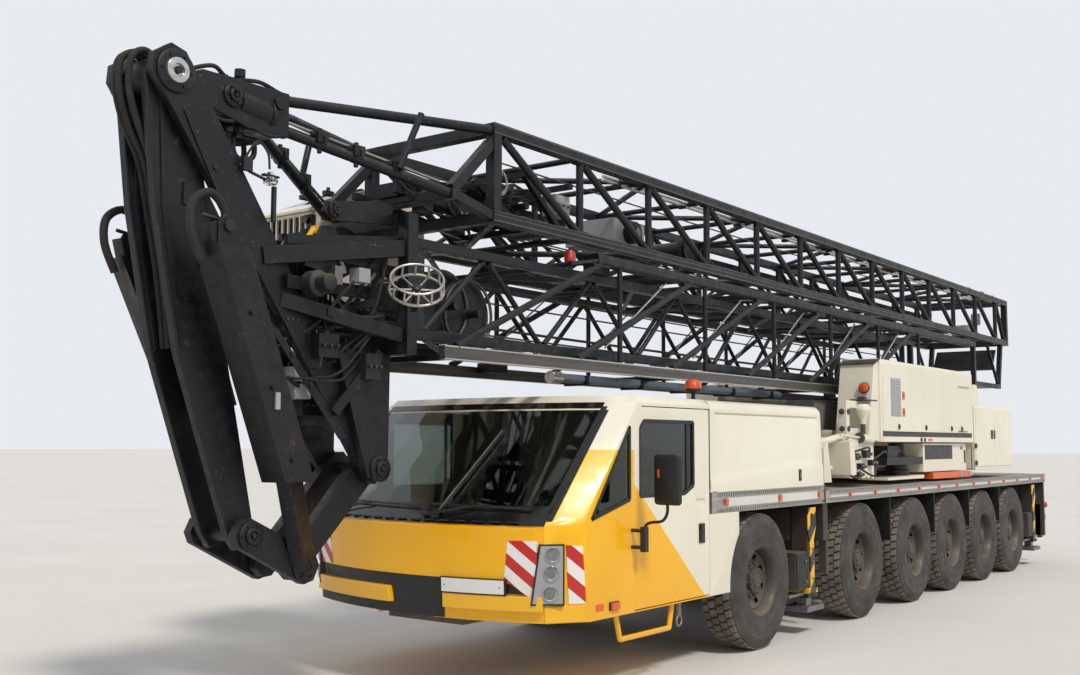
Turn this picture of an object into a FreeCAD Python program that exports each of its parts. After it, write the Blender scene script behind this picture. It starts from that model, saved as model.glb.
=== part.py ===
import FreeCAD, Part
import math
import os

# A mobile tower crane, folded for the road, standing on the wheels of its six-axle carrier.
# Millimetres. X points forward and is counted from the first axle, Y to the left, Z up from the ground.
# save() shifts every piece so that X is counted from the middle of the crane's whole length.

Vec = FreeCAD.Vector

# Whole crane
HALF_WIDTH = 1500
FIT_GAP = 0.3
SLIDE_GAP = 6
FAR = 9000

# Axles, wheels and steering
AXLE_X = [0, -2700, -4520, -6070, -7620, -9170]
UNSTEERED_AXLE = 4
TYRE_RADIUS = 685
TYRE_WIDTH = 385
TREAD_WIDTH = 310
SHOULDER_DROP = 45
BEAD_NARROWING = 12
RIM_RADIUS = 333
RIM_WIDTH = 330
RIM_FLATS = 14
TYRE_FLATS = 2 * RIM_FLATS
RIM_WALL = 26
WHEEL_Y = HALF_WIDTH - 211
HUB_FACE_Y = WHEEL_Y + 30
HUB_RADIUS = 135
HUB_LENGTH = 105
DISC_THICKNESS = 22
KINGPIN_Y = HALF_WIDTH - 460
KNUCKLE_WIDTH = 110
KNUCKLE_LENGTH = 140
KNUCKLE_HEIGHT = 240
SPINDLE_RADIUS = 62
EAR_THICKNESS = 45
AXLE_DEPTH = 170
AXLE_HEIGHT = 190
HOUSING_RADIUS = 180
SUSPENSION_RADIUS = 65
SUSPENSION_Y = 330

# Carrier frame and deck
FRAME_HALF_WIDTH = 430
FRAME_BOTTOM = 880
FRAME_TOP = 1400
FRAME_FRONT = 1000
FRAME_REAR = -11180
SUBFRAME_FRONT = 3430
SUBFRAME_BOTTOM = 560
SUBFRAME_TOP = 640
SUBFRAME_SLOPE = 700
DECK_FRONT = 1090
DECK_UNDERSIDE = 1500
DECK_TOP = 1550
RAIL_HEIGHT = 140
RAIL_THICKNESS = 38
REAR_POST_BOTTOM = 420
REAR_PLATE_THICKNESS = 130

# Outriggers
OUTRIGGER_X = [-1350, -10600]
TUBE_WIDTH = 216
TUBE_HEIGHT = 340
TUBE_BOTTOM = 1010
TUBE_WALL = 18
BEAM_END_Y = HALF_WIDTH - 110
BEAM_LENGTH = 2500
JACK_TUBE_WIDTH = 190
JACK_TUBE_BOTTOM = 520
JACK_ROD_WIDTH = 120
JACK_ROD_LENGTH = 880
FOOT_BOTTOM = 250
FOOT_THICKNESS = 60
FOOT_SIZE = 420

# Driver's cab. Each section is: height, side corner X, lamp corner X, nose X, half width
CAB_SECTIONS = [
    (650, 3120, 3420, 3700, HALF_WIDTH),
    (1420, 3200, 3460, 3740, HALF_WIDTH),
    (2430, 2400, 2540, 2720, HALF_WIDTH),
    (2490, 2330, 2470, 2640, HALF_WIDTH - 70),
]
NOSE_FLATS = 8
CAB_REAR = 1130
LAMP_CORNER_Y = HALF_WIDTH - 200
CAB_WALL = 50
CAB_FLOOR = 90
DOOR_FRONT = 2450
DOOR_BOTTOM = 660
DOOR_TOP = 2400
DOOR_WALL = 48
DOOR_GAP = 8
DOOR_SILL = 1620
DOOR_WINDOW_TOP = 2270
PILLAR_WIDTH = 95
GLASS_THICKNESS = 8
WINDSCREEN_BOTTOM = 1450
WINDSCREEN_TOP = 2360
WINDSCREEN_HALF_WIDTH = HALF_WIDTH - 170
QUARTER_WINDOW = [(3090, 1460), (2520, 1600), (2520, 2220)]
MIRROR_X = (2460, 2520)
FENDER_REAR = 745
FENDER_ARCH_RADIUS = 745
FENDER_THICKNESS = 45
TOW_RECESS_HALF_WIDTH = 330
TOW_RECESS_REAR = 3120
TOW_RECESS_TOP = 960
TOW_RECESS_WALL = 30

# Engine cover and engine
COVER_FRONT = 1100
COVER_REAR_TOP = -1500
COVER_REAR_BOTTOM = -1640
COVER_BOTTOM = 1612
COVER_TOP = 2490
COVER_WALL = 30
COVER_EDGE = 90
ENGINE_SIZE = (2100, 900, 760)

# Slewing platform
SLEW_X = -5950
RING_RADIUS = 850
RING_TOP = 1690
RING_FLATS = 32
PLATFORM_FRONT = -3000
PLATFORM_REAR = -9560
PLATFORM_BOTTOM = 1750
PLATFORM_TOP = 2250
SIDE_PLATE_INNER = 830
SIDE_PLATE_THICKNESS = 45
MAST_FOOT = (-9300, 2950)
FOOT_EAR_RADIUS = 170
CABINET_INNER = 915
CABINET_OUTER = HALF_WIDTH - 80
BALLAST_FRONT = -3080
BALLAST_SLABS = 5
SLAB_LENGTH = 290

# Mast: outer and inner lattice
MAST_HALF_WIDTH = 800
MAST_RAIL_BOTTOM = 2730
MAST_RAIL_HEIGHT = 110
MAST_RAIL_WIDTH = 60
MAST_TOP = 3865
MAST_CHORD = 110
MAST_REAR = -9700
MAST_FRONT = 1950
MAST_RAIL_FRONT = 4100
MAST_BAY = 1680
MAST_RAKE = 2050
TELESCOPE_TRAVEL = 7500
INNER_HALF_WIDTH = 640
INNER_BOTTOM = 2880
INNER_TOP = 3690
INNER_CHORD = 80
INNER_REAR = -7000
INNER_FRONT = 4250
INNER_PANELS = 14
INNER_LACE = 42
LEAST_MEMBER_AREA = 300

# Jib
JIB_HALF_WIDTH = 780
JIB_SEAT = 60
JIB_DEPTH = 855
JIB_BOTTOM = MAST_TOP + JIB_SEAT
JIB_TOP = JIB_BOTTOM + JIB_DEPTH
JIB_CHORD = 100
JIB_LACE = 58
TAIL_FRAME_FRONT = -10010
TAIL_FRAME_GAP = 10
JIB_FRONT = 3480
JIB_REAR = -11800
JIB_BAY = 1210
ROOT_PIVOT = (6270, JIB_TOP - 200)
ROOT_EYE_REACH = 170
TAIL_HINGE_REACH = 95
OUTER_JIB_INNER = 870
OUTER_JIB_WIDTH = 560
OUTER_JIB_BOTTOM = JIB_BOTTOM + 85
OUTER_JIB_TOP = JIB_TOP - 140
OUTER_JIB_FRONT = 2130
OUTER_JIB_CHORD = 75
OUTER_JIB_LACE = 42
OUTER_JIB_PANELS = 14
OUTER_JIB_HINGE = (JIB_REAR - 50, -OUTER_JIB_INNER + 45)

# The foremost and rearmost points, and the middle between them
FRONT_TIP = ROOT_PIVOT[0] + ROOT_EYE_REACH
REAR_TIP = JIB_REAR - TAIL_HINGE_REACH
CENTRE_X = (FRONT_TIP + REAR_TIP) / 2

# Head linkage pivots, as X and Z
MAST_LEG_FOOT = (4350, 1870)
STRUT_PIVOT = (5550, 1420)
LINK_END = (5050, 1170)
STRUT_TOP = (6080, 3550)
HEAD_DEPTH = 110
LEG_INNER_Y = 205
LEG_OUTER_Y = 275
WINCH = (5080, 3250)
WINCH_RADIUS = 140
PIN_RADIUS = 50
PIN_CLEARANCE = 0.8

# Operator's cabin
CABIN_REAR = 2560
CABIN_FRONT = 3960
CABIN_INNER_Y = -MAST_HALF_WIDTH - 80
CABIN_OUTER_Y = CABIN_INNER_Y - 780
CABIN_BOTTOM = 3120
CABIN_TOP = 4440
CABIN_WALL = 40
CABIN_ARM_GAP = 15
CABIN_ARM_THICKNESS = 50
CABIN_PIVOT = (3260, 3780)
CABIN_BARS = 7

# Mast raising cylinders
CYLINDER_BASE = (-5200, 2300)
CYLINDER_EYE = (-7800, 2790)
CYLINDER_Y = 350
BARREL_RADIUS = 112
ROD_SHOWING = 205
ROD_RADIUS = 70
ROD_HEAD_RADIUS = 110
CYLINDER_FLATS = 16


# Shapes

def box(x0, x1, y0, y1, z0, z1):
    low = Vec(min(x0, x1), min(y0, y1), min(z0, z1))
    return Part.makeBox(abs(x1 - x0), abs(y1 - y0), abs(z1 - z0), low)


def closed_face(points):
    return Part.Face(Part.makePolygon(points + [points[0]]))


def side_plate(outline, y0, y1):
    """A plate with its outline in X and Z, between two planes of Y."""
    return closed_face([Vec(x, y0, z) for x, z in outline]).extrude(Vec(0, y1 - y0, 0))


def level_plate(outline, z0, z1):
    """A plate with its outline in X and Y, between two planes of Z."""
    return closed_face([Vec(x, y, z0) for x, y in outline]).extrude(Vec(0, 0, z1 - z0))


def cross_plate(outline, x0, x1):
    """A plate with its outline in Y and Z, between two planes of X."""
    return closed_face([Vec(x0, y, z) for y, z in outline]).extrude(Vec(x1 - x0, 0, 0))


def bar(start, end, width, depth):
    """A straight bar of rectangular section: width level, depth square to it."""
    along = end - start
    level = along.cross(Vec(0, 0, 1))
    if level.Length < 1:
        level = Vec(0, 1, 0)
    level.normalize()
    upright = level.cross(along)
    upright.normalize()
    corners = [(-1, -1), (1, -1), (1, 1), (-1, 1)]
    points = [start + level * (a * width / 2) + upright * (b * depth / 2) for a, b in corners]
    return closed_face(points).extrude(along)


def prism(start, end, radius, sides):
    """A post with a regular polygon for its section."""
    along = end - start
    level = along.cross(Vec(0, 0, 1))
    if level.Length < 1:
        level = Vec(0, 1, 0)
    level.normalize()
    upright = level.cross(along)
    upright.normalize()
    turns = [(i + 0.5) * 2 * math.pi / sides for i in range(sides)]
    points = [start + level * (radius * math.cos(t)) + upright * (radius * math.sin(t)) for t in turns]
    return closed_face(points).extrude(along)


def cross_pin(place, radius, y0, y1):
    """A round pin along Y, or what its bore takes out of a solid."""
    return Part.makeCylinder(radius, y1 - y0, Vec(place[0], y0, place[1]), Vec(0, 1, 0))


def flat_ring(outline, count):
    """A closed ring about the Y axis made of flats, one of them at the bottom.

    The outline is a closed list of Y and distance from the axis to the middle of a flat.
    """
    faces = []
    step = 2 * math.pi / count
    section = [(y, r / math.cos(step / 2)) for y, r in outline]
    for i in range(count):
        a0 = step * (i + 0.5)
        a1 = a0 + step
        for (y0, r0), (y1, r1) in zip(section, section[1:] + section[:1]):
            quad = [
                Vec(r0 * math.cos(a0), y0, r0 * math.sin(a0)),
                Vec(r0 * math.cos(a1), y0, r0 * math.sin(a1)),
                Vec(r1 * math.cos(a1), y1, r1 * math.sin(a1)),
                Vec(r1 * math.cos(a0), y1, r1 * math.sin(a0)),
            ]
            faces.append(closed_face(quad))
    return Part.Solid(Part.Shell(faces))


def strap(start, end, start_width, end_width, y0, y1):
    """A flat link that tapers from one pivot to the other, with blunt ends round each pivot."""
    along = Vec(end[0] - start[0], 0, end[1] - start[1])
    along.normalize()
    across = Vec(-along.z, 0, along.x)
    outline = []
    for place, width, way in ((start, start_width, -1), (end, end_width, 1)):
        for side, reach in ((-way, 0.25), (-way * 0.5, 0.55), (way * 0.5, 0.55), (way, 0.25)):
            point = Vec(place[0], 0, place[1]) + across * (side * width / 2) + along * (way * reach * width)
            outline.append((point.x, point.z))
    return side_plate(outline, y0, y1)


def mirrored(shape):
    return shape.mirror(Vec(0, 0, 0), Vec(0, 1, 0))


def both_sides(shape):
    return [shape, mirrored(shape)]


def joined(shapes):
    whole = shapes[0].fuse(shapes[1:])
    return whole.removeSplitter()


def moved(shape, x=0, y=0, z=0):
    copy = shape.copy()
    copy.translate(Vec(x, y, z))
    return copy


def save(name, *shapes):
    """Write one node, with X counted from the middle of the crane."""
    whole = shapes[0] if len(shapes) == 1 else Part.makeCompound(list(shapes))
    moved(whole, x=-CENTRE_X).exportStep("parts/" + name + ".step")


# Wheels, knuckles and axles

def wheel_pair():
    """Tyre and rim of a left wheel, centred on its hub, both as rings of flats."""
    half_width = TYRE_WIDTH / 2
    bead_radius = RIM_RADIUS / math.cos(math.pi / RIM_FLATS) + FIT_GAP
    half_bead = half_width - BEAD_NARROWING
    tyre = flat_ring([
        (-half_bead, bead_radius),
        (-half_width, TYRE_RADIUS - 3 * SHOULDER_DROP),
        (-TREAD_WIDTH / 2, TYRE_RADIUS),
        (TREAD_WIDTH / 2, TYRE_RADIUS),
        (half_width, TYRE_RADIUS - 3 * SHOULDER_DROP),
        (half_bead, bead_radius),
    ], TYRE_FLATS)
    disc_y = HUB_FACE_Y - WHEEL_Y
    well = RIM_RADIUS - RIM_WALL
    rim = flat_ring([
        (-RIM_WIDTH / 2, RIM_RADIUS),
        (RIM_WIDTH / 2 + 10, RIM_RADIUS),
        (RIM_WIDTH / 2 + 10, well),
        (disc_y, HUB_RADIUS + 60),
        (disc_y + HUB_LENGTH, HUB_RADIUS * 0.8),
        (disc_y + HUB_LENGTH, 1),
        (disc_y - DISC_THICKNESS, 1),
        (disc_y - DISC_THICKNESS, well),
        (-RIM_WIDTH / 2, well),
    ], RIM_FLATS)
    return tyre, rim


def left_knuckle():
    """Steering knuckle of a left wheel: the block on the kingpin and the spindle that carries the hub."""
    inner = KINGPIN_Y - KNUCKLE_WIDTH / 2
    outer = KINGPIN_Y + KNUCKLE_WIDTH / 2
    half = KNUCKLE_HEIGHT / 2
    block = box(-KNUCKLE_LENGTH / 2, KNUCKLE_LENGTH / 2, inner, outer, -half, half)
    spindle_end = HUB_FACE_Y - DISC_THICKNESS - FIT_GAP
    spindle = prism(Vec(0, KINGPIN_Y, 0), Vec(0, spindle_end, 0), SPINDLE_RADIUS, 8)
    flange = prism(Vec(0, outer, 0), Vec(0, outer + 40, 0), SPINDLE_RADIUS * 1.7, 8)
    return joined([block, spindle, flange])


def axle_half():
    """Left half of an axle beam, with the yoke that holds the knuckle above and below."""
    web_y = KINGPIN_Y - KNUCKLE_WIDTH / 2 - 55
    beam = box(-AXLE_DEPTH / 2, AXLE_DEPTH / 2, 0, web_y, -AXLE_HEIGHT / 2, AXLE_HEIGHT / 2)
    ear_low = KNUCKLE_HEIGHT / 2 + FIT_GAP
    ear_top = ear_low + EAR_THICKNESS
    web = box(-AXLE_DEPTH / 2, AXLE_DEPTH / 2, web_y - 60, web_y, -ear_top, ear_top)
    pieces = [beam, web]
    for side in (-1, 1):
        ear = [
            Vec(-80, web_y, side * ear_low),
            Vec(80, web_y, side * ear_low),
            Vec(45, KINGPIN_Y + 50, side * ear_low),
            Vec(-45, KINGPIN_Y + 50, side * ear_low),
        ]
        pieces.append(closed_face(ear).extrude(Vec(0, 0, side * EAR_THICKNESS)))
    return joined(pieces)


def fixed_axle_half():
    """Left half of the unsteered axle: the beam runs out to the spindle."""
    spindle_end = HUB_FACE_Y - DISC_THICKNESS - FIT_GAP
    beam = box(-AXLE_DEPTH / 2, AXLE_DEPTH / 2, 0, KINGPIN_Y, -AXLE_HEIGHT / 2, AXLE_HEIGHT / 2)
    spindle = prism(Vec(0, KINGPIN_Y - 20, 0), Vec(0, spindle_end, 0), SPINDLE_RADIUS, 8)
    return joined([beam, spindle])


def axle_beam(number):
    half = fixed_axle_half() if number == UNSTEERED_AXLE else axle_half()
    housing = prism(Vec(0, -150, 0), Vec(0, 150, 0), HOUSING_RADIUS, 12)
    post_bottom = AXLE_HEIGHT / 2 - 10
    post_top = FRAME_BOTTOM - TYRE_RADIUS - FIT_GAP
    posts = []
    for y in (-SUSPENSION_Y, SUSPENSION_Y):
        posts.append(prism(Vec(0, y, post_bottom), Vec(0, y, post_top), SUSPENSION_RADIUS, 8))
    return joined(both_sides(half) + [housing] + posts)


def make_running_gear():
    tyre, rim = wheel_pair()
    knuckle = left_knuckle()
    beams = []
    for number, x in enumerate(AXLE_X, start=1):
        beams.append(moved(axle_beam(number), x=x, z=TYRE_RADIUS))
        for side_name, turn in (("left", False), ("right", True)):
            pieces = [moved(shape, x=x, y=WHEEL_Y, z=TYRE_RADIUS) for shape in (tyre, rim)]
            pin_block = moved(knuckle, x=x, z=TYRE_RADIUS)
            if turn:
                pieces = [mirrored(shape) for shape in pieces]
                pin_block = mirrored(pin_block)
            save("wheel_%d_%s" % (number, side_name), *pieces)
            if number != UNSTEERED_AXLE:
                save("knuckle_%d_%s" % (number, side_name), pin_block)
    save("axle_beams", *beams)


# Carrier

def outrigger_tube(x):
    """Open steel tube across the frame that one outrigger beam slides in."""
    half = TUBE_WIDTH / 2
    outer = box(x - half, x + half, -BEAM_END_Y + 20, BEAM_END_Y - 150, TUBE_BOTTOM, TUBE_BOTTOM + TUBE_HEIGHT)
    inner = box(x - half + TUBE_WALL, x + half - TUBE_WALL, -HALF_WIDTH, HALF_WIDTH,
                TUBE_BOTTOM + TUBE_WALL, TUBE_BOTTOM + TUBE_HEIGHT - TUBE_WALL)
    return outer, inner


def tube_x(middle, side):
    """The left beam runs in the front tube of a pair, the right beam in the rear one."""
    return middle + side * TUBE_WIDTH / 2


def make_frame():
    frame = box(FRAME_REAR, FRAME_FRONT, -FRAME_HALF_WIDTH, FRAME_HALF_WIDTH, FRAME_BOTTOM, FRAME_TOP)
    neck = side_plate([
        (FRAME_FRONT, FRAME_TOP),
        (FRAME_FRONT, FRAME_BOTTOM),
        (FRAME_FRONT - SUBFRAME_SLOPE * 0.2, SUBFRAME_BOTTOM),
        (SUBFRAME_FRONT, SUBFRAME_BOTTOM),
        (SUBFRAME_FRONT, SUBFRAME_TOP),
        (CAB_REAR - 60, SUBFRAME_TOP),
        (CAB_REAR - 60, FRAME_TOP),
    ], -FRAME_HALF_WIDTH, FRAME_HALF_WIDTH)
    rear_plate = box(FRAME_REAR - REAR_PLATE_THICKNESS / 2, FRAME_REAR + REAR_PLATE_THICKNESS / 2,
                     -HALF_WIDTH + 60, HALF_WIDTH - 60, 1010, FRAME_TOP)
    pieces = [frame, neck, rear_plate]
    for side in (-1, 1):
        y = side * (HALF_WIDTH - 160)
        pieces.append(box(FRAME_REAR - 60, FRAME_REAR + 60, y - 70, y + 70, REAR_POST_BOTTOM, 1100))
    pieces.append(box(FRAME_REAR - 55, FRAME_REAR + 20, -HALF_WIDTH + 90, HALF_WIDTH - 90,
                      REAR_POST_BOTTOM, REAR_POST_BOTTOM + 120))
    hollows = []
    for middle in OUTRIGGER_X:
        for side in (-1, 1):
            outer, inner = outrigger_tube(tube_x(middle, side))
            pieces.append(outer if side > 0 else mirrored(outer))
            hollows.append(inner)
    ring = prism(Vec(SLEW_X, 0, FRAME_TOP - 20), Vec(SLEW_X, 0, RING_TOP), RING_RADIUS, RING_FLATS)
    pieces.append(ring)
    save("chassis_frame", joined(pieces).cut(Part.makeCompound(hollows)))


def make_deck():
    """Deck plate on cross bearers, open round the slewing ring."""
    plate = box(FRAME_REAR - 20, DECK_FRONT, -HALF_WIDTH + RAIL_THICKNESS + FIT_GAP,
                HALF_WIDTH - RAIL_THICKNESS - FIT_GAP, DECK_UNDERSIDE, DECK_TOP)
    pieces = [plate]
    middles = [(a + b) / 2 for a, b in zip(AXLE_X, AXLE_X[1:])]
    for x in [FRAME_FRONT - 60] + middles + [FRAME_REAR + 200]:
        pieces.append(box(x - 60, x + 60, -HALF_WIDTH + 60, HALF_WIDTH - 60, FRAME_TOP + FIT_GAP, DECK_UNDERSIDE))
    opening = prism(Vec(SLEW_X, 0, FRAME_TOP - 50), Vec(SLEW_X, 0, FRAME_TOP + 350), RING_RADIUS + SLIDE_GAP, RING_FLATS)
    save("carrier_deck", joined(pieces).cut(opening))


def make_side_rails():
    """Folded aluminium edge of the deck, with a row of stamped notches along its foot."""
    rails = []
    rail_foot = DECK_TOP - RAIL_HEIGHT
    for x0, x1, top in ((COVER_REAR_TOP - 30, COVER_FRONT - 12, COVER_BOTTOM),
                        (FRAME_REAR - 20, COVER_REAR_TOP - 50, DECK_TOP + 6)):
        rails.append(box(x0, x1, HALF_WIDTH - RAIL_THICKNESS, HALF_WIDTH, rail_foot, top))
    save("side_rails", *[piece for rail in rails for piece in both_sides(rail)])


def cab_outline(section, inset, floor_lift=0):
    """Closed wire of the cab at one height: square rear corners, bent lamp corners and a round nose of flats."""
    height, side_x, lamp_x, nose_x, half_width = section
    rear = CAB_REAR + inset
    side = half_width - inset
    lamp_y = LAMP_CORNER_Y - inset
    z = height + floor_lift
    corners = {}
    for way in (-1, 1):
        corners[way] = [
            Vec(lamp_x - inset, way * lamp_y, z),
            Vec(side_x - inset, way * side, z),
            Vec(rear, way * side, z),
        ]
    rise = nose_x - lamp_x
    radius = (lamp_y ** 2 + rise ** 2) / (2 * rise)
    nose = []
    for i in range(1, NOSE_FLATS):
        y = lamp_y * (1 - 2 * i / NOSE_FLATS)
        nose.append(Vec(nose_x - inset - radius + math.sqrt(radius ** 2 - y ** 2), y, z))
    points = corners[1][::-1] + nose + corners[-1]
    return Part.makePolygon(points + [points[0]])


def cab_volume(inset, floor_lift, roof_drop):
    """The cab's outside for no inset, or the room inside its walls."""
    sections = [list(section) for section in CAB_SECTIONS]
    if inset:
        sections = sections[:3]
        sections[2][4] = CAB_SECTIONS[2][4]
    wires = []
    last = len(sections) - 1
    for i, section in enumerate(sections):
        lift = floor_lift if i == 0 else 0
        lift -= roof_drop if i == last else 0
        wires.append(cab_outline(section, inset, lift))
    return Part.makeLoft(wires, True, True)


def windscreen_zone():
    """Space that the windscreen fills: the slanted front between the roof's edge and the hood."""
    return box(CAB_REAR + 600, FRONT_TIP, -WINDSCREEN_HALF_WIDTH, WINDSCREEN_HALF_WIDTH,
               WINDSCREEN_BOTTOM, WINDSCREEN_TOP)


def door_outline(inset, hinge_inset):
    """Door outline drawn in from its opening, with the hinges' edge at the front."""
    return [
        (CAB_REAR + inset, DOOR_BOTTOM + inset),
        (DOOR_FRONT - hinge_inset, DOOR_BOTTOM + inset),
        (DOOR_FRONT - hinge_inset, DOOR_TOP - 130 - inset),
        (DOOR_FRONT - 130, DOOR_TOP - inset),
        (CAB_REAR + inset, DOOR_TOP - inset),
    ]


def door_window_outline(inset):
    front = DOOR_FRONT - PILLAR_WIDTH
    rear = CAB_REAR + 300
    return [
        (rear + inset, DOOR_SILL + 70 + inset),
        (rear + 160, DOOR_SILL + inset),
        (front - inset, DOOR_SILL + inset),
        (front - inset, DOOR_WINDOW_TOP - 60),
        (front - 60, DOOR_WINDOW_TOP - inset),
        (rear + inset, DOOR_WINDOW_TOP - inset),
    ]


def quarter_window_outline(inset):
    """Triangular window ahead of the door, drawn in from its three edges."""
    middle_x = sum(x for x, z in QUARTER_WINDOW) / 3
    middle_z = sum(z for x, z in QUARTER_WINDOW) / 3
    size = 300
    k = 1 - inset / size
    return [(middle_x + (x - middle_x) * k, middle_z + (z - middle_z) * k) for x, z in QUARTER_WINDOW]


def tow_recess(wall):
    """Opening in the foot of the nose for the towing eye, or the same with its wall round it."""
    half = TOW_RECESS_HALF_WIDTH + wall
    return box(TOW_RECESS_REAR - wall, FRONT_TIP, -half, half, CAB_SECTIONS[0][0] - 20, TOW_RECESS_TOP + wall)


def make_cab():
    outside = cab_volume(0, 0, 0)
    room = cab_volume(CAB_WALL, CAB_FLOOR, 10)
    shell = outside.cut(room)
    glass_room = cab_volume(GLASS_THICKNESS, 0, 0)
    side_windows = []
    side_glasses = []
    for way in (-1, 1):
        y0 = way * (HALF_WIDTH - CAB_WALL - 30)
        y1 = way * (HALF_WIDTH + 30)
        shell = shell.cut(side_plate(door_outline(0, 0), y0, y1))
        side_windows.append(side_plate(quarter_window_outline(0), y0, y1))
        glass_y = way * (HALF_WIDTH - 4)
        side_glasses.append(side_plate(quarter_window_outline(FIT_GAP), glass_y - way * GLASS_THICKNESS, glass_y))
    shell = shell.cut(Part.makeCompound([windscreen_zone()] + side_windows))
    lining = tow_recess(TOW_RECESS_WALL).common(outside)
    shell = shell.fuse(lining).cut(tow_recess(0))
    fenders = []
    arch = cross_pin((AXLE_X[0], TYRE_RADIUS), FENDER_ARCH_RADIUS, HALF_WIDTH - 300, HALF_WIDTH + 50)
    for way in (-1, 1):
        panel = box(FENDER_REAR - 200, CAB_REAR + 5, way * (HALF_WIDTH - FENDER_THICKNESS), way * HALF_WIDTH,
                    CAB_SECTIONS[0][0], DECK_TOP - RAIL_HEIGHT - FIT_GAP)
        fenders.append(panel.cut(arch if way > 0 else mirrored(arch)))
    step = cab_step()
    shell = joined([shell] + fenders + both_sides(step))
    save("cab_shell", shell)
    windscreen = outside.cut(glass_room).common(box(
        CAB_REAR + 600 + FIT_GAP, FRONT_TIP, -WINDSCREEN_HALF_WIDTH + FIT_GAP, WINDSCREEN_HALF_WIDTH - FIT_GAP,
        WINDSCREEN_BOTTOM + FIT_GAP, WINDSCREEN_TOP - FIT_GAP))
    save("cab_windows", windscreen, *side_glasses)
    make_cab_doors()
    make_cab_interior()


def cab_step():
    """Tubular step that hangs under the door."""
    y = HALF_WIDTH - 80
    low = 430
    path = [Vec(2630, y, 670), Vec(2560, y, low), Vec(1760, y, low), Vec(1700, y, 670)]
    return joined([prism(a, b, 24, 8) for a, b in zip(path, path[1:])])


def make_cab_doors():
    """Front-hinged doors, each a hollow-framed panel with its own window."""
    for name, way in (("left", 1), ("right", -1)):
        outer = way * HALF_WIDTH
        inner = way * (HALF_WIDTH - DOOR_WALL)
        panel = side_plate(door_outline(DOOR_GAP, FIT_GAP), inner, outer)
        window = side_plate(door_window_outline(0), inner - way * 20, outer + way * 20)
        pocket = box(CAB_REAR + 120, DOOR_FRONT - 120, inner - way * 20, inner + way * 20, DOOR_BOTTOM + 120, 1500)
        handle = box(CAB_REAR + 90, CAB_REAR + 250, outer - way * 12, outer + way * 20, 1500, 1560)
        save("door_" + name, panel.cut(window).cut(pocket).cut(handle))
        glass_y = outer - way * 14
        glass = side_plate(door_window_outline(FIT_GAP), glass_y - way * GLASS_THICKNESS, glass_y)
        save("door_glass_" + name, glass)


def make_cab_interior():
    """Seats, dashboard and steering wheel, standing on the cab floor."""
    floor = CAB_SECTIONS[0][0] + CAB_FLOOR + FIT_GAP
    pieces = []
    for y in (-750, 750):
        base = box(1500, 1850, y - 160, y + 160, floor, floor + 330)
        cushion = box(1420, 1960, y - 260, y + 260, floor + 330, floor + 460)
        back = side_plate([(1420, floor + 440), (1560, floor + 440), (1420, floor + 1130), (1300, floor + 1130)],
                          y - 250, y + 250)
        head = side_plate([(1400, floor + 1120), (1450, floor + 1120), (1410, floor + 1330), (1320, floor + 1330)],
                          y - 130, y + 130)
        pieces.append(joined([base, cushion, back, head]))
    front = TOW_RECESS_REAR - TOW_RECESS_WALL - 20
    reach = HALF_WIDTH - 220
    dash = side_plate([(2860, floor), (front, floor), (front + 40, 1440), (2780, 1440), (2700, 1330), (2860, 1250)],
                      -reach, reach)
    column = bar(Vec(2800, 750, 1300), Vec(2395, 750, 1514), 70, 70)
    wheel = flat_ring([(-14, 216), (14, 216), (14, 244), (-14, 244)], 16)
    spoke = box(-225, 225, -8, 8, -20, 20)
    steering = Part.makeCompound([wheel, spoke])
    steering.Placement = FreeCAD.Placement(Vec(2400, 750, 1512), FreeCAD.Rotation(Vec(0, 1, 0), Vec(-0.88, 0, 0.46)))
    pieces.append(joined([dash, column] + steering.Solids))
    save("cab_interior", *pieces)


def make_cab_trim():
    """Mirrors on bent arms ahead of the doors, and the beacon on its stalk."""
    pieces = []
    face = HALF_WIDTH + FIT_GAP
    rear, front = MIRROR_X
    middle = (rear + front) / 2
    foot = box(rear, front, HALF_WIDTH + 100, HALF_WIDTH + 150, 1165, 1375)
    parts = [
        foot,
        box(middle - 15, middle + 15, face, HALF_WIDTH + 100, 1180, 1220),
        box(middle - 15, middle + 15, face, HALF_WIDTH + 100, 1320, 1360),
        box(middle - 15, middle + 15, HALF_WIDTH + 110, HALF_WIDTH + 140, 1375, 1400),
        box(middle - 15, middle + 15, HALF_WIDTH + 110, HALF_WIDTH + 370, 1400, 1430),
        box(middle - 15, middle + 15, HALF_WIDTH + 340, HALF_WIDTH + 370, 1430, 1560),
        box(rear, front, HALF_WIDTH + 230, HALF_WIDTH + 480, 1560, 1990),
    ]
    for part in parts:
        pieces += both_sides(part)
    beacon_y = HALF_WIDTH - 300
    for foot_z, top_z, radius in ((COVER_TOP + FIT_GAP, 2580, 20), (2580, 2615, 80), (2615, 2700, 68)):
        pieces.append(prism(Vec(900, beacon_y, foot_z), Vec(900, beacon_y, top_z), radius, 12))
    save("mirrors_and_beacon", *pieces)


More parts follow.
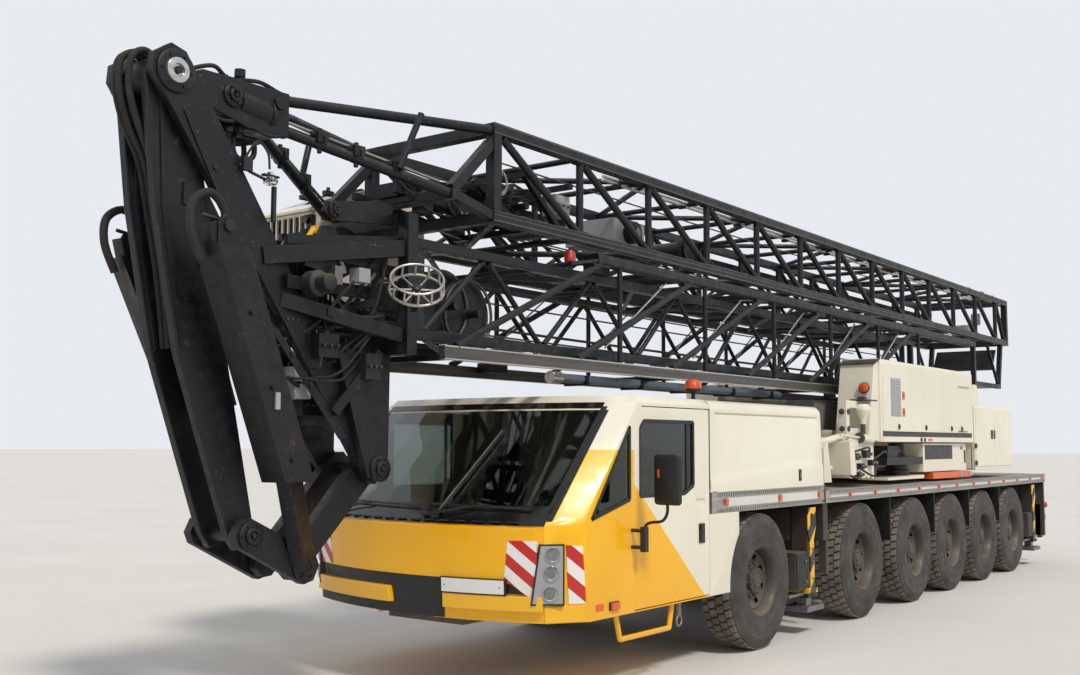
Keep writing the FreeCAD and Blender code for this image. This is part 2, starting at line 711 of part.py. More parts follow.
def make_engine():
    """Hood over the engine, a thin-walled cover with chamfered edges, and the engine as one block."""
    def cover_body(inset):
        profile = [
            (COVER_FRONT - inset, COVER_BOTTOM),
            (COVER_FRONT - inset, COVER_TOP - inset),
            (COVER_REAR_TOP + 60 + inset, COVER_TOP - inset),
            (COVER_REAR_TOP - 20 + inset, COVER_TOP - 80 - inset),
            (COVER_REAR_BOTTOM + 60 + inset, COVER_BOTTOM),
        ]
        body = side_plate(profile, -HALF_WIDTH + inset, HALF_WIDTH - inset)
        edge = COVER_EDGE
        side = HALF_WIDTH - inset
        top = COVER_TOP - inset
        corners = []
        for way in (-1, 1):
            corners.append(cross_plate([(way * side, top - edge), (way * side, top + 50), (way * (side - edge), top + 50),
                                        (way * (side - edge), top)], -2500, 2500))
        return body.cut(Part.makeCompound(corners))
    room = cover_body(COVER_WALL).cut(box(-3000, 3000, -2000, 2000, 0, COVER_BOTTOM - 1))
    well = box(COVER_REAR_BOTTOM + 60 + COVER_WALL, COVER_FRONT - COVER_WALL, -HALF_WIDTH + COVER_WALL,
               HALF_WIDTH - COVER_WALL, COVER_BOTTOM - 10, COVER_BOTTOM + 1)
    cover = cover_body(0).cut(room).cut(well)
    save("engine_cover", moved(cover, z=FIT_GAP))
    length, width, height = ENGINE_SIZE
    middle = (COVER_FRONT + COVER_REAR_TOP) / 2
    save("engine_block", box(middle - length / 2, middle + length / 2, -width / 2, width / 2,
                             DECK_TOP + FIT_GAP, DECK_TOP + height))


def make_tow_couplings():
    """Forged eyes at both ends of the frame, each with an upright bore for a towing pin."""
    eyes = []
    for x0, x1 in ((SUBFRAME_FRONT - 180, SUBFRAME_FRONT + 190), (FRAME_REAR - 250, FRAME_REAR - 65 - FIT_GAP)):
        z = SUBFRAME_TOP + FIT_GAP if x0 > 0 else 1150
        block = box(x0, x1, -90, 90, z, z + 90)
        bore_x = x1 - 80 if x0 > 0 else x0 + 80
        eyes.append(block.cut(Part.makeCylinder(25, 400, Vec(bore_x, 0, z - 100))))
    save("tow_couplings", *eyes)


def make_outriggers():
    """Four sliding beams with a jack tube at the end, and the jacks that drop out of them."""
    for place, middle in zip(("front", "rear"), OUTRIGGER_X):
        for side_name, side in (("left", 1), ("right", -1)):
            x = tube_x(middle, side)
            half = TUBE_WIDTH / 2 - TUBE_WALL - SLIDE_GAP
            low = TUBE_BOTTOM + TUBE_WALL + FIT_GAP
            high = TUBE_BOTTOM + TUBE_HEIGHT - TUBE_WALL - SLIDE_GAP
            beam = box(x - half, x + half, side * (BEAM_END_Y - BEAM_LENGTH), side * (BEAM_END_Y - 100), low, high)
            jack_y = side * (BEAM_END_Y - JACK_TUBE_WIDTH / 2 + 60)
            jack_half = JACK_TUBE_WIDTH / 2
            tube = box(x - jack_half, x + jack_half, jack_y - jack_half, jack_y + jack_half,
                       JACK_TUBE_BOTTOM, FRAME_TOP - 25)
            rod_half = JACK_ROD_WIDTH / 2
            hole_half = rod_half + FIT_GAP
            hole = box(x - hole_half, x + hole_half, jack_y - hole_half, jack_y + hole_half,
                       0, FRAME_TOP - 25 - TUBE_WALL)
            save("outrigger_beam_%s_%s" % (place, side_name), joined([beam, tube]).cut(hole))
            rod = box(x - rod_half, x + rod_half, jack_y - rod_half, jack_y + rod_half,
                      FOOT_BOTTOM, FOOT_BOTTOM + JACK_ROD_LENGTH)
            foot_half = FOOT_SIZE / 2
            pad_y = side * min(abs(jack_y), HALF_WIDTH - foot_half + 60)
            foot = box(x - foot_half, x + foot_half, pad_y - foot_half * 0.7, pad_y + foot_half * 0.7,
                       FOOT_BOTTOM, FOOT_BOTTOM + FOOT_THICKNESS)
            save("outrigger_jack_%s_%s" % (place, side_name), joined([rod, foot]))


# Slewing platform

def make_platform():
    """Two long side plates tied by a floor, standing on the slewing ring, with ears for the mast's foot."""
    foot_x, foot_z = MAST_FOOT
    ear = FOOT_EAR_RADIUS
    outline = [
        (PLATFORM_FRONT, PLATFORM_BOTTOM + 120),
        (PLATFORM_FRONT - 400, PLATFORM_BOTTOM),
        (PLATFORM_REAR + 300, PLATFORM_BOTTOM),
        (PLATFORM_REAR, PLATFORM_BOTTOM + 250),
        (foot_x - ear, foot_z),
        (foot_x - ear * 0.6, foot_z + ear * 0.8),
        (foot_x + ear * 0.6, foot_z + ear * 0.8),
        (foot_x + ear, foot_z),
        (foot_x + 900, PLATFORM_TOP),
        (PLATFORM_FRONT, PLATFORM_TOP),
    ]
    plate = side_plate(outline, SIDE_PLATE_INNER, SIDE_PLATE_INNER + SIDE_PLATE_THICKNESS)
    inner = SIDE_PLATE_INNER + 5
    floor = box(PLATFORM_REAR + 300, PLATFORM_FRONT - 400, -inner, inner, PLATFORM_BOTTOM, PLATFORM_BOTTOM + 40)
    pieces = both_sides(plate) + [floor]
    for x in (PLATFORM_FRONT - 45, -4900, SLEW_X - 1000, PLATFORM_REAR + 330):
        pieces.append(box(x - 45, x, -inner, inner, PLATFORM_BOTTOM + 20, PLATFORM_TOP - 60))
    pieces.append(prism(Vec(SLEW_X, 0, RING_TOP + FIT_GAP), Vec(SLEW_X, 0, PLATFORM_BOTTOM + 10),
                        RING_RADIUS - 40, RING_FLATS))
    base_x, base_z = CYLINDER_BASE
    for y in (-CYLINDER_Y, CYLINDER_Y):
        for cheek in (-1, 1):
            y0 = y + cheek * 100
            pieces.append(side_plate([(base_x - 160, PLATFORM_BOTTOM + 30), (base_x + 200, PLATFORM_BOTTOM + 30),
                                      (base_x + 110, base_z + 110), (base_x - 90, base_z + 110)], y0, y0 + cheek * 40))
        pieces.append(cross_pin(CYLINDER_BASE, PIN_RADIUS, y - 120, y + 120))
    pin_inner = MAST_HALF_WIDTH - MAST_RAIL_WIDTH - 60
    for way in (-1, 1):
        y0 = min(way * pin_inner, way * (SIDE_PLATE_INNER + 10))
        pieces.append(cross_pin(MAST_FOOT, PIN_RADIUS, y0, y0 + SIDE_PLATE_INNER + 10 - pin_inner))
    for way in (-1, 1):
        for x in (-3900, -6600, -8700):
            reach = CABINET_INNER - FIT_GAP
            y0 = SIDE_PLATE_INNER + SIDE_PLATE_THICKNESS - 5
            pieces.append(box(x - 90, x + 90, way * y0, way * reach, PLATFORM_TOP - 300, PLATFORM_TOP - 80))
    save("slewing_platform", joined(pieces))


def make_cabinets():
    """Housings along both sides of the platform."""
    pieces = []
    table = [
        # rear X, front X, bottom, top, side
        (-7320, -3500, 2100, 3170, 1),
        (-9400, -7370, 1680, 2690, 1),
        (-5600, -3500, 1900, 2900, -1),
        (-9300, -5650, 1680, 2600, -1),
    ]
    for x0, x1, z0, z1, way in table:
        body = box(x0, x1, way * CABINET_INNER, way * CABINET_OUTER, z0, z1)
        panel = box(x0 + 120, x1 - 120, way * (CABINET_OUTER - 12), way * (CABINET_OUTER + 5), z0 + 110, z1 - 110)
        pieces.append(body.cut(panel))
    skirt = box(-7200, -3350, CABINET_INNER, CABINET_OUTER - 60, 1960, 2100 - FIT_GAP)
    pieces.append(skirt)
    bracket = joined([
        box(-3500 + FIT_GAP, -2700, 1180, 1290, 2180, 2260),
        box(-2780, -2700, 1180, 1290, 2180, 2610),
        box(-3500 + FIT_GAP, -2700, 1180, 1290, 2530, 2610),
        box(-3400, -3100, 1180, 1290, 2240, 2560),
    ])
    pieces.append(bracket)
    save("platform_cabinets", *pieces)


def make_ballast():
    slabs = []
    for i in range(BALLAST_SLABS):
        x1 = BALLAST_FRONT - 20 - i * (SLAB_LENGTH + FIT_GAP)
        slabs.append(box(x1 - SLAB_LENGTH, x1, -700, 700, PLATFORM_BOTTOM + 40 + FIT_GAP, 2640))
    save("ballast_slabs", *slabs)


# Lattices and the head linkage, every straight member a solid of its own

def rectangle(u0, u1, v0, v1):
    return [(u0, v0), (u1, v0), (u1, v1), (u0, v1)]


def strip(start, end, width):
    """Outline of a straight bar round its centre line, longer than the line by its width at both ends."""
    length = math.hypot(end[0] - start[0], end[1] - start[1])
    along = ((end[0] - start[0]) / length, (end[1] - start[1]) / length)
    corners = []
    for place, side, reach in ((start, -1, -1), (end, -1, 1), (end, 1, 1), (start, 1, -1)):
        u = place[0] + along[0] * reach * width - along[1] * side * width / 2
        v = place[1] + along[1] * reach * width + along[0] * side * width / 2
        corners.append((u, v))
    return corners


def clipped(outline, u0, u1, v0, v1):
    """The part of a convex outline that lies inside a rectangle, or nothing if little is left."""
    for index, limit, way in ((0, u0, 1), (0, u1, -1), (1, v0, 1), (1, v1, -1)):
        kept = []
        for a, b in zip(outline, outline[1:] + outline[:1]):
            a_in = (a[index] - limit) * way
            b_in = (b[index] - limit) * way
            if a_in >= 0:
                kept.append(a)
            if (a_in > 0 and b_in < 0) or (a_in < 0 and b_in > 0):
                share = a_in / (a_in - b_in)
                crossing = [a[k] + (b[k] - a[k]) * share for k in (0, 1)]
                crossing[index] = limit
                kept.append(tuple(crossing))
        outline = kept
    outline = [p for i, p in enumerate(outline) if math.dist(p, outline[i - 1]) > 0.5]
    doubled = sum(a[0] * b[1] - b[0] * a[1] for a, b in zip(outline, outline[1:] + outline[:1]))
    return outline if abs(doubled) > 2 * LEAST_MEMBER_AREA else []


def bays(stations, post):
    """The open stretches between posts, which stand centred on all stations but the first and the last."""
    spans = []
    last = len(stations) - 1
    for i in range(last):
        spans.append((stations[i] + (post / 2 if i > 0 else 0), stations[i + 1] - (post / 2 if i + 1 < last else 0)))
    return spans


def frame_face(stations, post, v0, v1, size, pattern):
    """Outlines of a lattice face's posts and braces. Each brace fills one bay from corner to corner."""
    outlines = [rectangle(u - post / 2, u + post / 2, v0, v1) for u in stations[1:-1] if post]
    for number, (u0, u1) in enumerate(bays(stations, post)):
        rising = pattern == "rising" or (pattern == "zigzag" and number % 2 == 0)
        start, end = ((u0, v0), (u1, v1)) if rising else ((u0, v1), (u1, v0))
        outlines.append(clipped(strip(start, end, size), u0, u1, v0, v1))
    return outlines


def even_stations(x0, x1, panels):
    return [x0 + (x1 - x0) * i / panels for i in range(panels + 1)]


def box_lattice(x0, x1, y0, y1, z0, z1, chord, lace, sides, posts, flats):
    """Four chords with end frames, laced on all four faces. Every member is a solid that touches its neighbours.

    sides and flats list the stations of the upright and of the level faces, inside the end frames.
    """
    pieces = []
    for y in (y0, y1 - chord):
        for z in (z0, z1 - chord):
            pieces.append(box(x0, x1, y, y + chord, z, z + chord))
    for x in (x0, x1 - chord):
        for y in (y0, y1 - chord):
            pieces.append(box(x, x + chord, y, y + chord, z0 + chord, z1 - chord))
        for z in (z0, z1 - chord):
            pieces.append(box(x, x + chord, y0 + chord, y1 - chord, z, z + chord))
    inset = (chord - lace) / 2
    pattern = "rising" if posts else "zigzag"
    for outline in frame_face(sides, lace if posts else 0, z0 + chord, z1 - chord, lace, pattern):
        for y in (y0 + inset, y1 - inset - lace):
            pieces.append(side_plate(outline, y, y + lace))
    for outline in frame_face(flats, lace, y0 + chord, y1 - chord, lace, "zigzag"):
        for z in (z0 + inset, z1 - inset - lace):
            pieces.append(level_plate(outline, z, z + lace))
    return pieces


def make_outer_mast():
    """Outer mast: a pair of top chords and a pair of deep foot rails with long raking bars between."""
    rail_top = MAST_RAIL_BOTTOM + MAST_RAIL_HEIGHT
    chord_foot = MAST_TOP - MAST_CHORD
    rail_inner = MAST_HALF_WIDTH - MAST_RAIL_WIDTH
    chord_inner = MAST_HALF_WIDTH - MAST_CHORD
    tops = []
    x = MAST_FRONT - 60
    while x - MAST_BAY > MAST_REAR:
        tops.append(x)
        x -= MAST_BAY
    post = 50
    posts = [x - MAST_BAY * 0.2 for x in tops]
    stations = [MAST_REAR + 90] + posts[::-1] + [MAST_RAIL_FRONT]
    outlines = [rectangle(x - post / 2, x + post / 2, rail_top, chord_foot) for x in posts]
    outlines.append(rectangle(MAST_REAR, MAST_REAR + 90, rail_top, chord_foot))
    for x in tops:
        raker = strip((x, chord_foot), (x + MAST_RAKE, rail_top), 60)
        outlines += [clipped(raker, u0, u1, rail_top, chord_foot) for u0, u1 in bays(stations, post)]
    foot_x, foot_z = MAST_FOOT
    lug = side_plate([(foot_x - 300, rail_top), (foot_x + 600, rail_top), (foot_x + 150, foot_z + 220),
                      (foot_x - 250, foot_z + 220)], rail_inner - 50, rail_inner)
    bore = cross_pin(MAST_FOOT, PIN_RADIUS + PIN_CLEARANCE, 600, 900)
    side = [
        box(MAST_REAR, MAST_RAIL_FRONT, rail_inner, MAST_HALF_WIDTH, MAST_RAIL_BOTTOM, rail_top),
        box(MAST_REAR, MAST_FRONT, chord_inner, MAST_HALF_WIDTH, chord_foot, MAST_TOP),
        box(foot_x - 300, foot_x + 600, rail_inner - 50, rail_inner, rail_top - 60, rail_top),
        lug.cut(bore),
    ]
    for outline in outlines:
        if outline:
            side.append(side_plate(outline, MAST_HALF_WIDTH - 55, MAST_HALF_WIDTH - 5))
    eye_x, eye_z = CYLINDER_EYE
    beam_foot = eye_z + 90
    side.append(box(eye_x + 85, eye_x + 200, rail_inner - 40, rail_inner, MAST_RAIL_BOTTOM, beam_foot))
    shoe_rear = MAST_FRONT - 350
    shoe_inner = INNER_HALF_WIDTH - 60
    side.append(box(shoe_rear, MAST_FRONT - 50, shoe_inner, rail_inner, MAST_RAIL_BOTTOM + 50, INNER_BOTTOM - FIT_GAP))
    side.append(box(shoe_rear, MAST_FRONT - 50, shoe_inner, chord_inner, INNER_TOP + FIT_GAP, MAST_TOP))
    open_rear = TAIL_FRAME_FRONT + TELESCOPE_TRAVEL + 100
    ties = [box(x - 30, x + 30, -chord_inner, chord_inner, MAST_TOP - 85, MAST_TOP - 25)
            for x in tops[1:] if x > open_rear]
    for x in (MAST_RAIL_FRONT - 100, 400, -3000, -6300):
        ties.append(box(x - 30, x + 30, -rail_inner, rail_inner, MAST_RAIL_BOTTOM, MAST_RAIL_BOTTOM + 50))
    ties.append(box(MAST_REAR, MAST_REAR + 80, -rail_inner, rail_inner, MAST_RAIL_BOTTOM + 15, rail_top - 15))
    ties.append(box(eye_x + 85, eye_x + 200, -rail_inner, rail_inner, beam_foot, beam_foot + 80))
    save("mast_outer", *[piece for shape in side for piece in both_sides(shape)], *ties)


def make_inner_mast():
    """Inner mast, which runs out of the outer one on slide pads."""
    sides = even_stations(INNER_REAR + INNER_CHORD, INNER_FRONT - INNER_CHORD, INNER_PANELS)
    flats = even_stations(INNER_REAR + INNER_CHORD, INNER_FRONT - INNER_CHORD, INNER_PANELS // 2)
    pieces = box_lattice(INNER_REAR, INNER_FRONT, -INNER_HALF_WIDTH, INNER_HALF_WIDTH, INNER_BOTTOM, INNER_TOP,
                         INNER_CHORD, INNER_LACE, sides, False, flats)
    pad_y = MAST_HALF_WIDTH - MAST_RAIL_WIDTH - FIT_GAP
    pad = box(INNER_REAR + 20, INNER_REAR + 220, INNER_HALF_WIDTH, pad_y, MAST_RAIL_BOTTOM + 70, INNER_BOTTOM + 20)
    save("mast_inner", *pieces, *both_sides(pad))


def make_mast_head():
    """Head of the inner mast: end frame, belly plates, legs up to the jib's root, hoist winch and cabin arm."""
    leg_x, leg_z = MAST_LEG_FOOT
    face = INNER_FRONT + FIT_GAP
    front = face + HEAD_DEPTH
    foot, head = INNER_BOTTOM - 120, INNER_TOP + 190
    post_inner = INNER_HALF_WIDTH - 110
    upper_brace = bar(Vec(face + 60, 560, 3600), Vec(5480, 240, 3420), 110, 130)
    lower_brace = bar(Vec(face + 60, 560, 2900), Vec(5300, 240, 3120), 90, 110)
    brace_zone = box(front, 6000, LEG_OUTER_Y, INNER_HALF_WIDTH + 40, foot, head)
    side = [
        strap(ROOT_PIVOT, MAST_LEG_FOOT, 320, 210, LEG_INNER_Y, LEG_OUTER_Y),
        side_plate([(face, foot), (face + 560, foot), (leg_x + 130, leg_z - 60), (leg_x - 90, leg_z - 90)],
                   LEG_OUTER_Y, LEG_OUTER_Y + 75),
        strap(MAST_LEG_FOOT, LINK_END, 230, 190, 110, LEG_INNER_Y),
        box(face, front, post_inner, INNER_HALF_WIDTH, foot, head),
        upper_brace.common(brace_zone),
        lower_brace.common(brace_zone),
        prism(Vec(WINCH[0], 200, WINCH[1]), Vec(WINCH[0], LEG_OUTER_Y, WINCH[1]), 60, 12),
        box(front, WINCH[0] + 220, LEG_OUTER_Y, LEG_OUTER_Y + 55, WINCH[1] - 50, WINCH[1] + 50),
    ]
    pieces = [piece for shape in side for piece in both_sides(shape)]
    pieces += [
        box(face, front, -post_inner, post_inner, foot, foot + 140),
        box(face, front, -post_inner, post_inner, head - 110, head),
        cross_pin(MAST_LEG_FOOT, PIN_RADIUS, -110, 110),
        cross_pin(ROOT_PIVOT, PIN_RADIUS, -LEG_INNER_Y, LEG_INNER_Y),
        prism(Vec(WINCH[0], -200, WINCH[1]), Vec(WINCH[0], 200, WINCH[1]), WINCH_RADIUS, 16),
        box(WINCH[0] - 80, WINCH[0] + 80, -LEG_OUTER_Y - 125, -LEG_OUTER_Y - 55, WINCH[1] - 100, WINCH[1] + 100),
    ]
    pivot_x, pivot_z = CABIN_PIVOT
    arm_inner = -MAST_HALF_WIDTH - CABIN_ARM_GAP
    pieces.append(box(pivot_x - 90, front + 40, arm_inner - CABIN_ARM_THICKNESS, arm_inner, pivot_z - 80, pivot_z + 80))
    pieces.append(box(face, front, arm_inner, -INNER_HALF_WIDTH, pivot_z - 80, pivot_z + 80))
    save("mast_head", *pieces)


def make_jib():
    """Root section of the jib: a laced box that narrows to the pivot block at the head."""
    half = JIB_CHORD / 2
    stations = [JIB_FRONT - JIB_CHORD]
    while stations[-1] - JIB_BAY > JIB_REAR + JIB_CHORD + 300:
        stations.append(stations[-1] - JIB_BAY)
    stations.append(JIB_REAR + JIB_CHORD)
    stations = stations[::-1]
    pieces = box_lattice(JIB_REAR, JIB_FRONT, -JIB_HALF_WIDTH, JIB_HALF_WIDTH, JIB_BOTTOM, JIB_TOP,
                         JIB_CHORD, JIB_LACE, stations, True, stations)
    post_front = JIB_FRONT
    tie_rear, tie_front = JIB_FRONT + 435, JIB_FRONT + 525
    tie_foot, tie_top = JIB_BOTTOM + 110, JIB_BOTTOM + 200
    block_rear = 5200
    eye_x, eye_z = ROOT_PIVOT
    for way in (-1, 1):
        y = way * (JIB_HALF_WIDTH - half)
        falling = bar(Vec(post_front - 60, y, JIB_TOP - 160), Vec(tie_front, y, tie_top - 60), 80, 90)
        pieces.append(falling.common(box(post_front, tie_front, -2000, 2000, tie_top, JIB_TOP)))
        low = bar(Vec(post_front - 60, y, JIB_BOTTOM + half - 10), Vec(tie_rear + 60, y, tie_foot + 45), 80, 80)
        pieces.append(low.common(box(post_front, tie_rear, -2000, 2000, JIB_BOTTOM, JIB_TOP)))
        top = bar(Vec(post_front - 60, y, JIB_TOP - 60), Vec(block_rear + 80, way * 110, JIB_TOP - 130), 80, 75)
        pieces.append(top.common(box(post_front, block_rear, -2000, 2000, 0, JIB_TOP)))
        nose = bar(Vec(tie_front - 60, y, tie_foot + 20), Vec(block_rear + 80, way * 110, eye_z - 150), 80, 85)
        pieces.append(nose.common(box(tie_front, block_rear, -2000, 2000, 0, JIB_TOP)))
    pieces.append(box(tie_rear, tie_front, -JIB_HALF_WIDTH, JIB_HALF_WIDTH, tie_foot, tie_top))
    block_front = eye_x - 220
    block = side_plate([(block_rear, eye_z + 120), (block_front, eye_z + 110), (block_front, eye_z - 100),
                        (block_front - 450, eye_z - 220), (block_rear, eye_z - 220)], -185, 185)
    eye = strap((block_front - 50, eye_z + 5), ROOT_PIVOT, 200, 270, -100, 100)
    eye_zone = box(block_front, FAR, -HALF_WIDTH, HALF_WIDTH, 0, FAR)
    bore = cross_pin(ROOT_PIVOT, PIN_RADIUS + PIN_CLEARANCE, -150, 150)
    pieces += [block, eye.common(eye_zone).cut(bore)]
    pieces += jib_tail()
    save("jib_root_section", *pieces)


def jib_tail():
    """Frame that hangs under the jib's rear end, and the ears that the outer section swings on."""
    pieces = []
    rail_top = 3190
    rear, front = JIB_REAR + 210, TAIL_FRAME_FRONT
    outer = MAST_HALF_WIDTH - MAST_CHORD - TAIL_FRAME_GAP
    inner = outer - 80
    for way in (-1, 1):
        y0, y1 = way * inner, way * outer
        leg = side_plate([(JIB_REAR + 20, JIB_BOTTOM), (JIB_REAR + 110, JIB_BOTTOM), (rear + 90, rail_top),
                          (rear, rail_top)], y0, y1)
        pieces.append(leg)
        pieces.append(box(front - 80, front, y0, y1, rail_top, JIB_BOTTOM))
        pieces.append(box(rear, front, y0, y1, rail_top - 80, rail_top))
    pieces.append(box(rear + 300, front - 300, -inner, inner, rail_top - 80, rail_top))
    hinge_x, hinge_y = OUTER_JIB_HINGE
    for z0, z1 in ((JIB_BOTTOM + 65, JIB_BOTTOM + 155), (JIB_TOP - 210, JIB_TOP - 120)):
        pieces.append(box(JIB_REAR - TAIL_HINGE_REACH, JIB_REAR, hinge_y - 50, hinge_y + 150, z0, z1))
    return pieces


def make_outer_jib():
    """Outer jib section, folded back beside the root section, with the barrel that it swings on."""
    rear = JIB_REAR + 160
    chord = OUTER_JIB_CHORD
    sides = even_stations(rear + chord, OUTER_JIB_FRONT - chord, OUTER_JIB_PANELS)
    flats = even_stations(rear + chord, OUTER_JIB_FRONT - chord, OUTER_JIB_PANELS // 2)
    inner = -OUTER_JIB_INNER
    pieces = box_lattice(rear, OUTER_JIB_FRONT, inner - OUTER_JIB_WIDTH, inner, OUTER_JIB_BOTTOM, OUTER_JIB_TOP,
                         chord, OUTER_JIB_LACE, sides, False, flats)
    hinge_x, hinge_y = OUTER_JIB_HINGE
    z0, z1 = JIB_BOTTOM + 155 + FIT_GAP, JIB_TOP - 210 - FIT_GAP
    barrel = prism(Vec(hinge_x, hinge_y, z0), Vec(hinge_x, hinge_y, z1), 42 / math.cos(math.pi / 12), 12)
    pieces.append(barrel)
    pieces.append(box(hinge_x - 40, rear, hinge_y - 42 - 70, hinge_y - 42, z0 + 10, z1 - 10))
    save("jib_outer_section", *pieces)


def make_back_struts():
    """Folding back struts: an upper pair that hangs from the jib's root and a lower pair with its short link."""
    bore = cross_pin(ROOT_PIVOT, PIN_RADIUS + PIN_CLEARANCE, -400, 400)
    low_bore = cross_pin(STRUT_PIVOT, PIN_RADIUS + PIN_CLEARANCE, -400, 400)
    bores = Part.makeCompound([bore, low_bore])
    root_x, root_z = ROOT_PIVOT
    pivot_x, pivot_z = STRUT_PIVOT
    outline = [
        (root_x - 110, root_z + 110), (root_x + 90, root_z + 150), (root_x + ROOT_EYE_REACH, root_z - 20),
        (root_x + 60, root_z - 900), (root_x - 150, root_z - 1900), (pivot_x + 110, pivot_z),
        (pivot_x + 30, pivot_z - 110), (pivot_x - 80, pivot_z - 60), (pivot_x - 110, pivot_z + 60),
        (root_x - 560, root_z - 1900), (root_x - 330, root_z - 700), (root_x - 190, root_z - 60),
    ]
    plate = side_plate(outline, 115, 185).cut(bores)
    stiffener = bar(Vec(root_x - 130, 0, root_z - 800), Vec(pivot_x + 60, 0, pivot_z + 900), 230, 120)
    save("back_strut_upper", *both_sides(plate), stiffener)
    lower = []
    link_x, link_z = LINK_END
    top_x, top_z = STRUT_TOP
    knee_z = link_z + 620
    shoulder_z = top_z - 160
    foot = bar(Vec(link_x, 290, link_z), Vec(link_x + 275, 412, knee_z + 70), 110, 200)
    arm = bar(Vec(link_x + 225, 388, knee_z - 60), Vec(top_x - 40, 505, top_z - 100), 220, 290)
    tip = bar(Vec(top_x - 60, 500, top_z - 220), Vec(top_x, 500, top_z), 120, 200)
    link_outer_y = 295
    lower.append(strap(STRUT_PIVOT, LINK_END, 220, 240, 215, link_outer_y))
    lower.append(foot.common(box(0, FAR, link_outer_y, FAR, 0, knee_z)))
    lower.append(arm.common(box(0, FAR, 0, FAR, knee_z, shoulder_z)))
    lower.append(tip.common(box(0, FAR, 0, FAR, shoulder_z, top_z + 200)))
    pin = cross_pin(STRUT_PIVOT, PIN_RADIUS, -215, 215)
    save("back_strut_lower", *[piece for shape in lower for piece in both_sides(shape)], pin)


# Raising cylinders and operator's cabin

def make_raising_cylinders():
    base = Vec(CYLINDER_BASE[0], 0, CYLINDER_BASE[1])
    eye = Vec(CYLINDER_EYE[0], 0, CYLINDER_EYE[1])
    along = eye - base
    closed_length = along.Length
    along.normalize()
    barrels = []
    rods = []
    for y in (-CYLINDER_Y, CYLINDER_Y):
        side = Vec(0, y, 0)
        start = base + side
        barrel_end = closed_length - ROD_HEAD_RADIUS - ROD_SHOWING
        barrel = prism(start + along * 130, start + along * barrel_end, BARREL_RADIUS, CYLINDER_FLATS)
        inside = prism(start + along * 400, start + along * (barrel_end + 10), ROD_RADIUS + PIN_CLEARANCE, CYLINDER_FLATS)
        neck = box(start.x - 90, start.x + 90, y - 90, y + 90, start.z - 90, start.z + 90)
        neck.rotate(start, Vec(0, 1, 0), -math.degrees(math.atan2(along.z, -along.x)) + 180)
        hole = cross_pin((start.x, start.z), PIN_RADIUS + PIN_CLEARANCE, y - 200, y + 200)
        link = prism(start, start + along * 200, 75, CYLINDER_FLATS)
        barrels.append(joined([barrel, link, neck]).cut(inside).cut(hole))
        tip = eye + side
        rod = prism(start + along * 420, start + along * (closed_length - 60), ROD_RADIUS, CYLINDER_FLATS)
        head = prism(Vec(tip.x, y - 60, tip.z), Vec(tip.x, y + 60, tip.z), ROD_HEAD_RADIUS, 12)
        rods.append(joined([rod, head]))
    save("raising_cylinder_barrels", *barrels)
    save("raising_cylinder_rods", *rods)


def cabin_outline(inset):
    """Side outline of the operator's cabin: sloped roof, upright front and raked foot."""
    return [
        (CABIN_REAR + inset, CABIN_BOTTOM + inset),
        (CABIN_FRONT - 250 - inset, CABIN_BOTTOM + inset),
        (CABIN_FRONT - inset, CABIN_BOTTOM + 380),
        (CABIN_FRONT - inset, CABIN_TOP - 260 - inset * 0.6),
        (CABIN_FRONT - 620, CABIN_TOP - inset),
        (CABIN_REAR + inset, CABIN_TOP - inset),
    ]


def make_operator_cabin():
    """Hollow cabin with a barred front, a roof window and a door in its outer wall."""
    inner_y = CABIN_INNER_Y
    outer_y = CABIN_OUTER_Y
    body = side_plate(cabin_outline(0), outer_y, inner_y)
    room = side_plate(cabin_outline(CABIN_WALL), outer_y + CABIN_WALL, inner_y - CABIN_WALL)
    front = box(CABIN_FRONT - 60, CABIN_FRONT + 20, outer_y + 70, inner_y - 70, CABIN_BOTTOM + 420, CABIN_TOP - 330)
    side_window = box(CABIN_REAR + 120, CABIN_REAR + 720, inner_y - 60, inner_y + 20, 3900, 4260)
    door_hole = box(CABIN_REAR + 150, CABIN_REAR + 900, outer_y - 20, outer_y + 60, CABIN_BOTTOM + 80, CABIN_TOP - 90)
    shell = body.cut(Part.makeCompound([room, front, side_window, door_hole]))
    bars = []
    pitch = (inner_y - outer_y - 140) / (CABIN_BARS + 1)
    for i in range(CABIN_BARS):
        y = outer_y + 70 + (i + 1) * pitch
        bars.append(box(CABIN_FRONT - 20, CABIN_FRONT, y - 9, y + 9, CABIN_BOTTOM + 410, CABIN_TOP - 320))
    pivot_x, pivot_z = CABIN_PIVOT
    seat = side_plate([(3000, CABIN_BOTTOM + 30), (3300, CABIN_BOTTOM + 30), (3320, 3560), (3100, 3580),
                       (2980, 4080), (2880, 4080), (2980, 3480)], outer_y + 180, inner_y - 180)
    hub_end = -MAST_HALF_WIDTH - CABIN_ARM_GAP - CABIN_ARM_THICKNESS - FIT_GAP
    hub = prism(Vec(pivot_x, inner_y - 5, pivot_z), Vec(pivot_x, hub_end, pivot_z), 90, 12)
    save("operator_cabin", joined([shell] + bars + [seat, hub]))
    front_glass = box(CABIN_FRONT - 35, CABIN_FRONT - 27, outer_y + 70 + FIT_GAP, inner_y - 70 - FIT_GAP,
                      CABIN_BOTTOM + 420 + FIT_GAP, CABIN_TOP - 330 - FIT_GAP)
    side_glass = box(CABIN_REAR + 120 + FIT_GAP, CABIN_REAR + 720 - FIT_GAP, inner_y - 24, inner_y - 16,
                     3900 + FIT_GAP, 4260 - FIT_GAP)
    save("operator_cabin_windows", front_glass, side_glass)
    door = box(CABIN_REAR + 158, CABIN_REAR + 900 - FIT_GAP, outer_y, outer_y + CABIN_WALL,
               CABIN_BOTTOM + 88, CABIN_TOP - 98)
    window = box(CABIN_REAR + 250, CABIN_REAR + 800, outer_y - 20, outer_y + 60, 3700, CABIN_TOP - 190)
    save("operator_cabin_door", door.cut(window))


